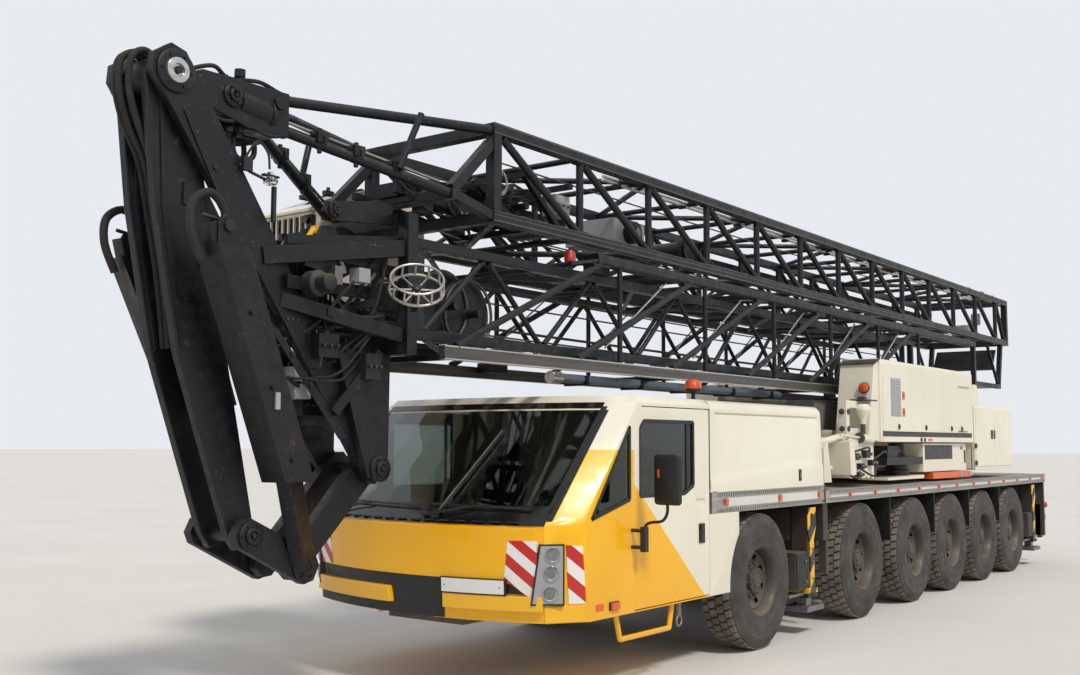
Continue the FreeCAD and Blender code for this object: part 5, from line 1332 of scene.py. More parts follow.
def make_jib_fittings():
    """Bright twin rods, the trolley drive, ropes and cable runs inside the jib."""
    build = Build()
    for z in (4.695, 4.735):
        build.tube((-10.9, 0.50, z), (1.45, 0.50, z), 0.017, 12, 0)
    for x in even_stations(-10.6, 1.2, 9):
        build.block((x - 0.03, 0.46, 4.66), (x + 0.03, 0.54, 4.69), 1)
    build.block((0.35, -0.32, 4.16), (0.95, 0.30, 4.42), 2)
    build.block((0.42, -0.26, 4.42), (0.80, 0.24, 4.46), 1)
    build.tube((0.66, 0.30, 4.29), (0.66, 0.40, 4.29), 0.115, 24, 1)
    build.tube((0.66, 0.40, 4.29), (0.66, 0.425, 4.29), 0.05, 18, 3)
    build.tube((-0.55, -0.30, 4.26), (-0.55, 0.34, 4.26), 0.12, 24, 1)
    for y in (-0.30, 0.28):
        build.tube((-0.55, y, 4.26), (-0.55, y + 0.03, 4.26), 0.175, 28, 1)
    for y, z in ((-0.32, 4.08), (-0.12, 4.06), (0.16, 4.07), (0.34, 4.09), (0.42, 4.60)):
        build.path(sagging((-11.4, y, z), (3.2, y * 0.7, z + 0.03), 0.03), 0.009, 6, 4)
    build.finish("jib_fittings", "jib", ["silver", "dark", "vent", "galvanised", "rope"], "bright_steel",
                 0.003, 1)


SAG_STEPS = 14


def sagging(start, end, drop):
    """A taut line that hangs a little between its ends."""
    start, end = Vector(start), Vector(end)
    shares = [i / SAG_STEPS for i in range(SAG_STEPS + 1)]
    return [start.lerp(end, share) - Vector((0, 0, drop * 4 * share * (1 - share))) for share in shares]


def make_outer_jib():
    build = Build()
    low, high, chord = OUTER_JIB_LOW, OUTER_JIB_HIGH, OUTER_JIB_CHORD
    corner_bars(build, low, high, chord)
    lace_sides(build, low, high, chord, 0.025, even_stations(low.x + chord, high.x - chord, 14), False)
    lace_flats(build, low, high, chord, 0.022, even_stations(low.x + chord, high.x - chord, 7))
    build.tube((-11.85, -0.825, 4.0805), (-11.85, -0.825, 4.5695), 0.042, 18)
    build.block((-11.89, -0.937, 4.09), (-11.64, -0.867, 4.56))
    build.finish("outer_jib_lattice", "outer_jib", ["black"], "mast_black", 0.005, 1, ("jib_outer_section",))


def make_inner_mast():
    build = Build()
    low, high, chord = INNER_LOW, INNER_HIGH, INNER_CHORD
    corner_bars(build, low, high, chord)
    lace_sides(build, low, high, chord, 0.025, even_stations(low.x + chord, high.x - chord, 14), False)
    lace_flats(build, low, high, chord, 0.024, even_stations(low.x + chord, high.x - chord, 7))
    for way in (-1, 1):
        y0, y1 = sorted((way * 0.64, way * 0.7397))
        build.block((low.x + 0.02, y0, 2.80), (low.x + 0.22, y1, 2.90), 1)
    build.finish("inner_mast_lattice", "inner_mast", ["black", "plastic"], "mast_black", 0.005, 1,
                 ("mast_inner",))
    ropes = Build()
    for y, z in ((-0.34, 3.02), (-0.30, 3.52), (-0.10, 3.12), (0.12, 3.10), (0.30, 3.30), (0.36, 3.00),
                 (0.40, 3.42)):
        ropes.path(sagging((-6.9, y, z), (4.3, y * 0.8, z + 0.04), 0.02), 0.009, 6, 0)
    for y in (-0.46, 0.46):
        ropes.path(sagging((-6.6, y, 2.98), (4.2, y, 2.98), 0.03), 0.022, 10, 1)
    for x in even_stations(-6.2, 3.8, 9):
        ropes.block((x - 0.015, -0.50, 2.955), (x + 0.015, 0.50, 2.972), 1)
    ropes.finish("mast_ropes", "inner_mast", ["rope", "hose"], "mast_black")


def make_outer_mast():
    build = Build()
    tops = []
    x = MAST_FRONT - 0.06
    while x - MAST_BAY > MAST_REAR:
        tops.append(x)
        x -= MAST_BAY
    posts = [x - MAST_BAY * 0.2 for x in tops]
    chord_foot = MAST_TOP - 0.11
    for way in (-1, 1):
        y0, y1 = sorted((way * 0.74, way * 0.80))
        build.block((MAST_REAR, y0, RAIL_LOW), (RAIL_FRONT, y1, RAIL_HIGH), 1)
        edge0, edge1 = sorted((way * 0.745, way * 0.804))
        build.block((MAST_REAR, edge0, RAIL_HIGH - 0.012), (RAIL_FRONT, edge1, RAIL_HIGH + 0.003), 2)
        build.block((MAST_REAR, edge0, RAIL_LOW - 0.003), (RAIL_FRONT, edge1, RAIL_LOW + 0.010), 2)
        side = [(way * 0.69, chord_foot), (way * 0.69, MAST_TOP), (way * 0.775, MAST_TOP),
                (way * 0.80, MAST_TOP - 0.025),
                (way * 0.80, chord_foot + 0.02), (way * 0.78, chord_foot)]
        build.plate(side, MAST_REAR, MAST_FRONT, "X", 0)
        y = way * 0.77
        post_y = min(y, y + way * 0.025) - 0.025
        build.block((MAST_REAR, post_y, RAIL_HIGH), (MAST_REAR + 0.09, y + 0.025, chord_foot))
        for x in posts:
            build.tube((x, y, RAIL_HIGH), (x, y, chord_foot), 0.026, 12)
        for x in tops:
            reach = min(x + BRACE_REACH, RAIL_FRONT - 0.02)
            level = chord_foot - (reach - x) / BRACE_REACH * (chord_foot - RAIL_HIGH)
            brace(build, (x, y, chord_foot), (reach, y, level), 0.031)
            build.block((x - 0.14, y - 0.022, chord_foot - 0.02), (x + 0.14, y + 0.022, chord_foot + 0.004))
        for x in tops[1:]:
            start = (x + 0.42, way * 0.735, chord_foot - 0.03)
            build.tube(start, (x + 1.55, way * 0.735, 2.98), 0.011, 8, 2)
        shoe0, shoe1 = sorted((way * 0.58, way * 0.74))
        build.block((1.60, shoe0, 2.78), (1.90, shoe1, 2.8797))
        shoe0, shoe1 = sorted((way * 0.58, way * 0.69))
        build.block((1.60, shoe0, 3.6903), (1.90, shoe1, MAST_TOP))
        y0, y1 = sorted((way * 0.69, way * 0.74))
        lug = [(-9.6, RAIL_HIGH), (-8.7, RAIL_HIGH), (-9.15, 3.17), (-9.45, 3.17), (-9.55, 3.13)]
        build.plate(lug, y0, y1)
        build.block((-9.6, y0, 2.78), (-8.7, y1, RAIL_HIGH))
        y0, y1 = sorted((way * 0.70, way * 0.74))
        build.block((-7.715, y0, RAIL_LOW), (-7.60, y1, 2.88))
    for x in tops[1:]:
        if x > -2.4:
            build.block((x - 0.03, -0.69, MAST_TOP - 0.085), (x + 0.03, 0.69, MAST_TOP - 0.025))
    for x in (RAIL_FRONT - 0.1, 0.4, -3.0, -6.3):
        build.block((x - 0.03, -0.74, RAIL_LOW), (x + 0.03, 0.74, RAIL_LOW + 0.05))
    build.block((MAST_REAR, -0.74, 2.745), (MAST_REAR + 0.08, 0.74, 2.825))
    build.block((-7.715, -0.74, 2.88), (-7.60, 0.74, 2.96))
    build.finish("outer_mast_frame", "outer_mast", ["black", "rail_steel", "silver"], "mast_black", 0.005, 2,
                 ("mast_outer",))
    make_under_mast()


def make_under_mast():
    """Pipes with their clamps below the mast's foot rails, and the small red lamp on its front end."""
    build = Build()
    build.tube((-2.9, 0.30, 2.70), (1.9, 0.30, 2.70), 0.045, 16, 0)
    build.tube((-2.9, 0.12, 2.695), (1.6, 0.12, 2.695), 0.022, 12, 1)
    for x in even_stations(-2.6, 1.5, 4):
        build.block((x - 0.025, 0.08, 2.64), (x + 0.025, 0.36, 2.735), 1)
    build.tube((1.9, 0.30, 2.70), (2.06, 0.30, 2.70), 0.06, 18, 2)
    build.bar((1.90, 0.775, 3.80), (2.42, 0.800, 3.70), 0.03, 0.03, 1)
    build.lathe([(0.0, 0.03), (0.0, 0.050), (0.02, 0.055), (0.08, 0.050), (0.105, 0.030), (0.110, 0.0)],
                (2.42, 0.80, 3.715), (0, 0, 1), 20, 3)
    build.finish("mast_pipes", "outer_mast", ["steel_blue", "dark", "silver", "red"], "cylinder_grey", 0.003,
                 1)


# Engine cover, deck edge and running gear

COVER_FRONT = 1.10
COVER_TOP = 2.49
COVER_FOOT = 1.612
COVER_ROUNDING = 0.09


def cover_crease(x):
    """Height of the crease along the cover's side, which rises towards the rear."""
    share = min(1.0, max(0.0, (1.0 - x) / 2.3))
    return 1.74 + 0.12 * share * share * (3 - 2 * share)


def cover_section(x, inset, recess):
    """Half outline of the cover at one place along it, from its foot up the side to the roof's middle."""
    side = HALF_WIDTH - inset
    top = COVER_TOP - inset
    crease = cover_crease(x)
    upper = side - 0.009
    panel = upper - 0.014 * recess
    points = [(side, COVER_FOOT), (side, crease - 0.050), (side - 0.003, crease - 0.018),
              (upper, crease + 0.006),
              (upper - 0.004 * recess, crease + 0.030), (panel, crease + 0.075), (panel, 2.350),
              (panel - 0.007 * recess, 2.364), (upper - 0.001, 2.374), (upper, 2.384)]
    for k in range(7):
        turn = math.radians(15 * k)
        points.append((upper - COVER_ROUNDING * (1 - math.cos(turn)),
                       top - COVER_ROUNDING * (1 - math.sin(turn))))
    points += [(0.8, top + 0.004), (0.0, top + 0.006)]
    return points


def make_cover():
    columns = [(COVER_FRONT, 0.0, 0.0), (1.02, 0.0, 0.0), (0.99, 0.0, 0.5), (0.96, 0.0, 1.0)]
    columns += [(0.96 - 0.2875 * k, 0.0, 1.0) for k in range(1, 9)]
    columns += [(-1.37, 0.0, 0.5), (-1.41, 0.0, 0.0)]
    for k in range(6):
        turn = math.radians(18 * k)
        columns.append((-1.43 - COVER_ROUNDING * math.sin(turn), COVER_ROUNDING * (1 - math.cos(turn)), 0.0))
    build = Build()
    points = []
    for x, inset, recess in columns:
        half = cover_section(x, inset, recess)
        rear = min(1.0, max(0.0, (-0.9 - x) / 0.5))
        loop = half + [(-y, z) for y, z in half[-2::-1]]
        points += [(x - 0.06 * rear * (COVER_TOP - z) / (COVER_TOP - COVER_FOOT), y, z) for y, z in loop]
    size = len(points) // len(columns)
    faces = [tuple(range(size)), tuple(range(len(points) - size, len(points)))[::-1]]
    for c in range(len(columns) - 1):
        for i in range(size - 1):
            a = c * size + i
            faces.append((a, a + 1, a + size + 1, a + size))
    build.add(points, faces, 0)
    for way in (1, -1):
        outer = way * (HALF_WIDTH + 0.004)
        inner = way * (HALF_WIDTH - 0.010)
        build.plate(rounded_rectangle(-0.915, -0.845, 1.675, 1.800, 0.012), inner, outer, "Y", 1)
        build.block((-0.895, way * HALF_WIDTH, 1.705), (-0.865, way * (HALF_WIDTH + 0.010), 1.770), 2)
        build.block((COVER_FRONT - 0.004, way * 1.44, 1.64), (COVER_FRONT + 0.026, way * 1.487, 2.40), 1)
    build.finish("engine_hood", "carrier", ["cream", "plastic", "galvanised"], "cream_white", smooth=32,
                 replaces=["engine_cover"])


CORNER_STEPS = 4


def rounded_rectangle(u0, u1, v0, v1, radius):
    """Outline of a rectangle with round corners."""
    points = []
    for u, v, start in ((u1 - radius, v1 - radius, 0), (u0 + radius, v1 - radius, 90),
                        (u0 + radius, v0 + radius, 180), (u1 - radius, v0 + radius, 270)):
        for k in range(CORNER_STEPS + 1):
            turn = math.radians(start + 90 * k / CORNER_STEPS)
            points.append((u + radius * math.cos(turn), v + radius * math.sin(turn)))
    return points


RAILS = (
    # front X, rear X, foot, top, markers
    (1.088, -1.530, 1.410, 1.612, (0.79, -0.395, -1.39)),
    (-1.550, -11.200, 1.410, 1.556, tuple(-2.275 - 0.792 * k for k in range(12))),
)
NOTCH_PITCH = 0.046


def make_rails():
    for way, side in SIDES:
        build = Build()
        for front, rear, foot, top, markers in RAILS:
            web = way * (HALF_WIDTH - 0.012)
            face = way * HALF_WIDTH
            back = way * (HALF_WIDTH - 0.038)
            build.block((rear, back, foot), (front, web, top), 0)
            for low, high in ((foot, foot + 0.010), (foot + 0.044, foot + 0.052), (top - 0.052, top - 0.044),
                              (top - 0.010, top)):
                build.block((rear, web, low), (front, face, high), 0)
            count = int((front - rear - 0.16) / NOTCH_PITCH)
            for i in range(count):
                x = front - 0.13 - i * NOTCH_PITCH
                for low, high in ((foot + 0.010, foot + 0.044), (top - 0.044, top - 0.010)):
                    build.block((x - 0.026, web, low), (x, way * (HALF_WIDTH - 0.002), high), 0)
            build.block((front - 0.11, web, foot), (front, way * (HALF_WIDTH + 0.001), top), 0)
            build.block((front - 0.10, back, top), (front - 0.01, face, top + 0.008), 3)
            tape_low, tape_high = foot + 0.056, top - 0.056
            places = [front - 0.11] + list(markers) + [rear + 0.05]
            for ahead, behind in zip(places, places[1:]):
                if ahead - behind > 0.2:
                    build.block((behind + 0.04, web, tape_low),
                                (ahead - 0.04, way * (HALF_WIDTH - 0.010), tape_high), 1)
            for x in markers:
                middle = (foot + top) / 2
                build.block((x - 0.034, web, middle - 0.030),
                            (x + 0.034, way * (HALF_WIDTH + 0.003), middle + 0.030), 2)
                build.block((x - 0.026, web, middle - 0.022),
                            (x + 0.026, way * (HALF_WIDTH + 0.010), middle + 0.022), 2)
        build.finish("deck_edge_" + side, "carrier", ["aluminium", "tape", "amber", "plastic"],
                     "aluminium_rail",
                     0.0015, replaces=["side_rails"])


def make_carrier_details():
    """Posts, boxes, mud flaps, air tanks, suspension struts and rear lamps along the frame."""
    build = Build()
    for way in (1, -1):
        build.block((-1.545, way * 1.40, 1.00), (-1.475, way * 1.495, 1.44), 0)
        build.block((-1.66, way * 1.38, 0.62), (-1.60, way * 1.47, 1.42), 0)
        build.block((-11.19, way * 1.28, 0.46), (-11.12, way * 1.47, 1.45), 0)
        for middle in (-0.98, -10.22):
            box_low = (middle - 0.14, way * 1.08, 0.50)
            box_high = (middle + 0.14, way * 1.45, 0.90)
            build.block(box_low, box_high, 0)
            build.block((middle - 0.13, way * 1.45, 0.51), (middle + 0.13, way * 1.462, 0.88), 1)
            for z in (0.58, 0.80):
                build.tube((middle - 0.08, way * 1.46, z), (middle - 0.08, way * 1.475, z), 0.018, 10, 2)
            build.tube((middle - 0.16, way * 1.40, 0.44), (middle + 0.26, way * 1.40, 0.44), 0.022, 12, 2)
    wheel_bays = ((-1.35 - 0.30, -2.70), (-2.70, -4.52), (-4.52, -6.07), (-6.07, -7.62), (-7.62, -9.17))
    for ahead, behind in wheel_bays:
        middle = (ahead + behind) / 2
        for way in (1, -1):
            build.tube((middle, way * 0.62, 1.30), (middle, way * 0.62, 0.98), 0.085, 20, 0)
            build.ring((middle, way * 0.62, 1.16), (0, 0, 1), 0.086, 0.006, 20, 2)
            if middle < -3:
                build.block((middle - 0.012, way * 1.09, 0.86), (middle + 0.012, way * 1.47, 1.41), 1)
    for x in (0.0, -2.70, -4.52, -6.07, -7.62, -9.17):
        for way in (1, -1):
            build.tube((x + 0.20, way * 0.42, 1.25), (x + 0.12, way * 0.62, 0.72), 0.055, 16, 0)
            build.tube((x + 0.16, way * 0.52, 0.98), (x + 0.115, way * 0.63, 0.70), 0.032, 14, 3)
            build.tube((x - 0.20, way * 0.42, 1.10), (x - 0.16, way * 0.95, 0.72), 0.024, 10, 2)
    build.finish("frame_fittings", "carrier", ["chassis", "plastic", "galvanised", "chrome"],
                 "chassis_black", 0.004)
    lamps = Build()
    for way in (1, -1):
        lamps.block((-11.215, way * 0.98, 1.16), (-11.185, way * 1.44, 1.34), 0)
        for y, kind in ((1.38, 1), (1.28, 1), (1.18, 2), (1.08, 3)):
            lamps.lathe([(0.0, 0.042), (0.010, 0.042), (0.018, 0.030), (0.021, 0.006)],
                        (-11.215, way * y, 1.25), (-1, 0, 0), 20, kind)
        lamps.lathe([(0.0, 0.055), (0.045, 0.060), (0.075, 0.052), (0.092, 0.025), (0.095, 0.004)],
                    (-11.19, way * 1.42, 1.00), (-0.25, way * 0.97, 0), 22, 1)
    tail_hose = curve_through([(-11.15, 1.40, 0.96), (-11.22, 1.45, 0.86), (-11.20, 1.46, 0.72),
                               (-11.12, 1.42, 0.66)])
    lamps.path(tail_hose, 0.011, 8, 0)
    lamps.finish("rear_lamps", "carrier", ["plastic", "red", "amber", "clear"], "axle_black", 0.002)


def make_running_gear():
    softened("chassis_frame", "frame_rails", "carrier", "chassis", 0.008)
    softened("axle_beams", "axle_castings", "carrier", "axle", 0.014)
    softened("tow_couplings", "towing_eyes", "carrier", "chassis", 0.006)
    softened("engine_block", "engine_mass", "carrier", "grey", 0.03)
    give("carrier_deck", "deck")
    for number in (1, 2, 3, 5, 6):
        for way, side in SIDES:
            name = "knuckle_%d_%s" % (number, side)
            softened(name, "steering_" + name, name, "axle", 0.010)
    for end, x_middle in (("front", -1.35), ("rear", -10.60)):
        for way, side in SIDES:
            name = "%s_%s" % (end, side)
            body = "outrigger_beam_" + name
            softened(body, "sliding_beam_" + name, body, "chassis", 0.008)
            softened("outrigger_jack_" + name, "jack_foot_" + name, "outrigger_jack_" + name, "galvanised",
                     0.008)
            x = x_middle + way * 0.108
            build = Build()
            face = way * 1.452
            outer = way * 1.466
            build.plate([(x - 0.105, 1.375), (x + 0.105, 1.375), (x + 0.105, 1.10), (x + 0.055, 0.96),
                         (x + 0.055, 0.50),
                         (x - 0.045, 0.46), (x - 0.045, 1.02), (x - 0.105, 1.16)], face, outer, "Y", 0)
            build.plate(rounded_rectangle(x - 0.045, x + 0.045, 1.17, 1.31, 0.03), way * 1.450, way * 1.4685,
                        "Y", 1)
            build.block((x - 0.115, way * 1.20, 0.44), (x + 0.115, way * 1.47, 0.50), 0)
            build.block((x - 0.13, way * 1.24, 0.395), (x + 0.13, way * 1.465, 0.435), 1)
            for z in (0.60, 0.78, 0.92):
                build.tube((x + 0.005, outer, z), (x + 0.005, outer + way * 0.012, z), 0.016, 8, 2)
            for z in (0.72, 1.06):
                build.block((x - 0.110, way * 1.24, z), (x - 0.096, way * 1.45, z + 0.09), 1)
            build.finish("jack_guard_" + name, body, ["warning", "plastic", "galvanised"], "outrigger_black",
                         0.003)


# Superstructure on the slewing ring

CABINETS = (
    # rear X, front X, foot, top, side
    (-7.32, -3.50, 2.10, 3.17, 1),
    (-9.40, -7.37, 1.68, 2.69, 1),
    (-5.60, -3.50, 1.90, 2.90, -1),
    (-9.30, -5.65, 1.68, 2.60, -1),
)
MAIN_CABINET_FRONT = -4
CABINET_INNER = 0.915
CABINET_OUTER = 1.42


def cabinet_body(build, rear, front, foot, top, way):
    """A sheet metal housing: rounded roof edge and proud door skins, one on the main cabinet, else two."""
    radius = 0.045
    outline = [(way * CABINET_INNER, foot), (way * CABINET_OUTER, foot)]
    for k in range(6):
        turn = math.radians(18 * k)
        outline.append((way * (CABINET_OUTER - radius * (1 - math.cos(turn))),
                        top - radius * (1 - math.sin(turn))))
    outline.append((way * CABINET_INNER, top))
    build.plate(outline, rear, front, "X", 0)
    door = way * (CABINET_OUTER + 0.011)
    lip = 0.06
    gap = 0.012
    middle = (rear + front) / 2
    doors = ((rear + lip, middle - gap / 2), (middle + gap / 2, front - lip))
    low = foot + 0.05
    if way > 0 and front > MAIN_CABINET_FRONT:
        doors = ((rear + lip, front - lip),)
        low = foot + 0.15
    for x0, x1 in doors:
        build.plate(rounded_rectangle(x0, x1, low, top - 0.05, 0.018), way * (CABINET_OUTER - 0.004), door,
                    "Y", 0)


def make_cabinets():
    build = Build()
    for cabinet in CABINETS:
        cabinet_body(build, *cabinet)
    build.finish("cabinet_housings", "platform", ["cream"], "cream_white", 0.006, 2, ["platform_cabinets"],
                 smooth=35)

    trim = Build()
    face = CABINET_OUTER + 0.011
    for k in range(13):
        z = 2.455 + 0.036 * k
        trim.block((-4.18, face, z), (-3.85, face + 0.010, z + 0.024), 1)
    trim.plate(rounded_rectangle(-4.195, -3.835, 2.435, 2.935, 0.01), face - 0.002, face + 0.004, "Y", 1)
    for z in (2.44, 2.66):
        trim.block((-4.34, face, z), (-4.25, face + 0.005, z + 0.11), 2)
        trim.ring((-4.295, face + 0.004, z + 0.055), (0, 1, 0), 0.022, 0.005, 16, 3)
    for x in (-4.10, -5.15, -6.25, -6.72):
        trim.block((x - 0.018, face, 2.265), (x + 0.018, face + 0.014, 2.335), 3)
        trim.tube((x, face + 0.010, 2.30), (x, face + 0.024, 2.30), 0.012, 10, 3)
    strip = CABINET_OUTER + 0.003
    trim.block((-7.24, CABINET_OUTER - 0.002, 2.172), (-3.56, strip, 2.238), 4)
    trim.block((-7.26, CABINET_OUTER - 0.01, 2.240), (-3.54, CABINET_OUTER + 0.016, 2.252), 0)
    trim.block((-7.26, CABINET_OUTER - 0.01, 2.104), (-3.54, CABINET_OUTER + 0.013, 2.166), 0)
    trim.block((-5.02, strip - 0.002, 2.10), (-5.00, strip + 0.003, 2.24), 3)
    for x in (-4.94, -5.08):
        trim.block((x - 0.022, face, 2.108), (x + 0.022, face + 0.014, 2.160), 3)
    trim.block((-5.40, face, 2.118), (-5.22, face + 0.006, 2.150), 2)
    trim.path([(-6.55, face + 0.012, 2.262), (-6.95, face + 0.016, 2.262)], 0.006, 6, 3)
    trim.path([(-6.60, face + 0.010, 2.93), (-7.10, face + 0.014, 2.93)], 0.006, 6, 5)
    trim.block((-7.18, face, 1.70), (-7.14, face + 0.004, 2.06), 3)
    for x0, x1, z in ((-8.30, -8.20, 2.16), (-8.42, -8.36, 2.16)):
        trim.plate(rounded_rectangle(x0, x1, z, z + 0.14, 0.01), face, face + 0.008, "Y", 3)
    for way, x, z in ((-1, -4.0, 2.40), (-1, -5.1, 2.40), (-1, -6.9, 2.15), (-1, -8.2, 2.15)):
        trim.block((x - 0.02, way * face, z), (x + 0.02, way * (face + 0.014), z + 0.12), 3)
    trim.finish("cabinet_fittings", "platform", ["cream", "vent", "orange", "plastic", "trim", "galvanised"],
                "cream_white", 0.0015)
    make_cabinet_front()


def make_cabinet_front():
    """Sloped fairing ahead of the main cabinet with its lamp, open bracket, funnel and hydraulic ram."""
    build = Build()
    build.plate([(-3.50, 3.15), (-3.36, 3.09), (-3.14, 2.13), (-3.50, 2.11)], 0.95, 1.395, "Y", 0)
    build.plate([(-3.53, 3.172), (-3.34, 3.100), (-3.335, 3.085), (-3.53, 3.155)], 0.93, 1.415, "Y", 2)
    lamp = (-3.265, 1.30, 2.78)
    build.lathe([(0.0, 0.072), (0.016, 0.074), (0.022, 0.068)], lamp, (0.97, 0, 0.22), 28, 2)
    build.lathe([(0.016, 0.066), (0.034, 0.062), (0.045, 0.040), (0.048, 0.006)], lamp, (0.97, 0, 0.22), 28,
                1)
    y0, y1 = 1.18, 1.29
    for rear, front, foot, top in ((-2.795, -2.70, 2.18, 2.61), (-3.52, -2.79, 2.52, 2.61),
                                   (-3.52, -2.79, 2.18, 2.27)):
        build.plate([(front, foot), (front, top), (rear, top), (rear, foot)], y0, y1, "Y", 0)
    for z in (2.26, 2.47):
        build.tube((-2.70, 1.235, z), (-2.675, 1.235, z), 0.034, 18, 3)
        build.tube((-2.70, 1.235, z), (-2.655, 1.235, z), 0.016, 6, 3)
        build.tube((-2.748, y1, z), (-2.748, y1 + 0.018, z), 0.034, 18, 3)
    build.lathe([(0.0, 0.035), (0.05, 0.040), (0.10, 0.060), (0.16, 0.095), (0.20, 0.098), (0.235, 0.075),
                 (0.25, 0.07)],
                (-3.10, 1.34, 2.32), (0, 0, 1), 26, 0)
    build.tube((-3.10, 1.34, 2.16), (-3.10, 1.34, 2.33), 0.030, 16, 3)
    build.tube((-3.34, 1.34, 2.125), (-2.98, 1.34, 2.150), 0.060, 22, 0)
    build.tube((-3.00, 1.34, 2.149), (-2.96, 1.34, 2.152), 0.066, 22, 3)
    build.tube((-2.97, 1.34, 2.151), (-2.42, 1.32, 2.185), 0.016, 12, 0)
    build.block((-3.45, 1.20, 2.615), (-3.02, 1.40, 2.632), 3)
    build.block((-3.20, 1.26, 2.632), (-3.12, 1.36, 2.665), 3)
    build.block((-7.365, 1.30, 1.70), (-7.325, 1.44, 2.13), 0)
    for z in (1.79, 2.05):
        build.tube((-7.345, 1.44, z), (-7.345, 1.462, z), 0.040, 18, 3)
    build.finish("cabinet_front", "platform", ["cream", "amber", "plastic", "trim"], "cream_white", 0.004, 2)


def make_machinery():
    """Valves, slewing gear and boxes below the main cabinet."""
    build = Build()
    build.plate([(-2.62, 1.66), (-2.56, 2.06), (-2.70, 2.16), (-3.46, 2.08), (-3.46, 1.64)], 0.96, 1.33, "Y",
                0)
    build.plate([(-2.50, 1.70), (-2.46, 2.10), (-2.60, 2.12), (-2.66, 1.70)], 1.05, 1.42, "Y", 0)
    build.plate([(-1.98, 1.62), (-1.98, 2.02), (-2.10, 2.10), (-2.20, 1.62)], 0.92, 1.30, "Y", 0)
    build.tube((-2.05, 1.18, 2.08), (-2.62, 1.24, 2.16), 0.045, 16, 0)
    build.tube((-2.20, 1.14, 1.78), (-2.62, 1.16, 1.78), 0.032, 14, 0)
    for x, y, z, size in ((-2.78, 1.33, 1.92, 0.07), (-2.95, 1.33, 1.80, 0.06), (-3.12, 1.33, 1.95, 0.08),
                          (-3.30, 1.33, 1.84, 0.06), (-2.86, 1.33, 1.70, 0.05)):
        build.block((x - size, y, z - size * 0.6), (x + size, y + 0.06, z + size * 0.6), 1)
        build.tube((x - size * 0.5, y + 0.06, z), (x - size * 0.5, y + 0.10, z), 0.022, 8, 3)
        build.tube((x + size * 0.5, y + 0.06, z), (x + size * 0.5, y + 0.085, z), 0.018, 8, 3)
    for start, middle, end in (((-2.72, 1.38, 1.98), (-2.98, 1.44, 2.03), (-3.20, 1.38, 1.99)),
                               ((-2.90, 1.39, 1.76), (-3.14, 1.45, 1.68), (-3.36, 1.39, 1.80)),
                               ((-3.34, 1.38, 1.88), (-3.60, 1.42, 1.98), (-3.86, 1.34, 1.92)),
                               ((-2.56, 1.30, 1.75), (-2.68, 1.40, 1.66), (-2.86, 1.38, 1.68))):
        build.path(curve_through([start, middle, end]), 0.014, 8, 1)
    for x in (-2.70, -2.86, -3.02, -3.18, -3.34):
        build.tube((x, 1.331, 1.655), (x, 1.345, 1.655), 0.010, 6, 3)
    gear = (-4.72, 1.16, 1.62)
    build.lathe([(0.0, 0.150), (0.03, 0.165), (0.10, 0.165), (0.12, 0.145), (0.24, 0.140), (0.26, 0.165),
                 (0.30, 0.165),
                 (0.32, 0.110), (0.45, 0.105), (0.47, 0.06)], gear, (0, 0, 1), 28, 1)
    for a, b in around(10, 0.148):
        spot = Vector(gear) + Vector((a, b, 0.30))
        build.tube(spot, spot + Vector((0, 0, 0.018)), 0.012, 6, 3)
    build.block((-5.15, 1.22, 1.80), (-3.80, 1.375, 1.90), 1)
    build.block((-4.30, 1.10, 1.90), (-3.92, 1.34, 2.05), 1)
    build.tube((-4.30, 1.22, 1.98), (-4.55, 1.22, 1.98), 0.07, 20, 1)
    build.plate([(-3.75, 1.606), (-3.75, 1.640), (-5.12, 1.655), (-5.12, 1.606)], 1.0, 1.40, "Y", 0)
    build.block((-7.08, 0.93, 1.69), (-5.17, 1.375, 2.085), 0)
    build.block((-6.42, 1.372, 1.86), (-5.24, 1.380, 2.06), 2)
    build.block((-7.02, 1.372, 1.80), (-6.98, 1.386, 1.99), 1)
    build.block((-6.90, 1.372, 2.00), (-6.80, 1.384, 2.04), 3)
    build.plate([(-5.50, 1.585), (-5.50, 1.675), (-7.16, 1.675), (-7.22, 1.640), (-7.22, 1.585)], 1.02, 1.40,
                "Y", 4)
    build.block((-7.26, 1.08, 1.60), (-7.14, 1.41, 1.665), 5)
    build.block((-6.78, 1.400, 1.595), (-6.70, 1.406, 1.665), 5)
    build.finish("slew_machinery", "platform", ["cream", "plastic", "trim", "galvanised", "orange", "vent"],
                 "cream_white", 0.004)
    softened("slewing_platform", "slewing_frame", "platform", "cream", 0.008)
    softened("ballast_slabs", "ballast_stack", "platform", "grey", 0.020)


def make_cylinders():
    softened("raising_cylinder_barrels", "ram_barrels", "cylinder_barrels", "grey", 0.004,
             40)
    softened("raising_cylinder_rods", "ram_rods", "cylinder_rods", "chrome", 0.004, 40)


# Mast head, its folded struts and the gear between them

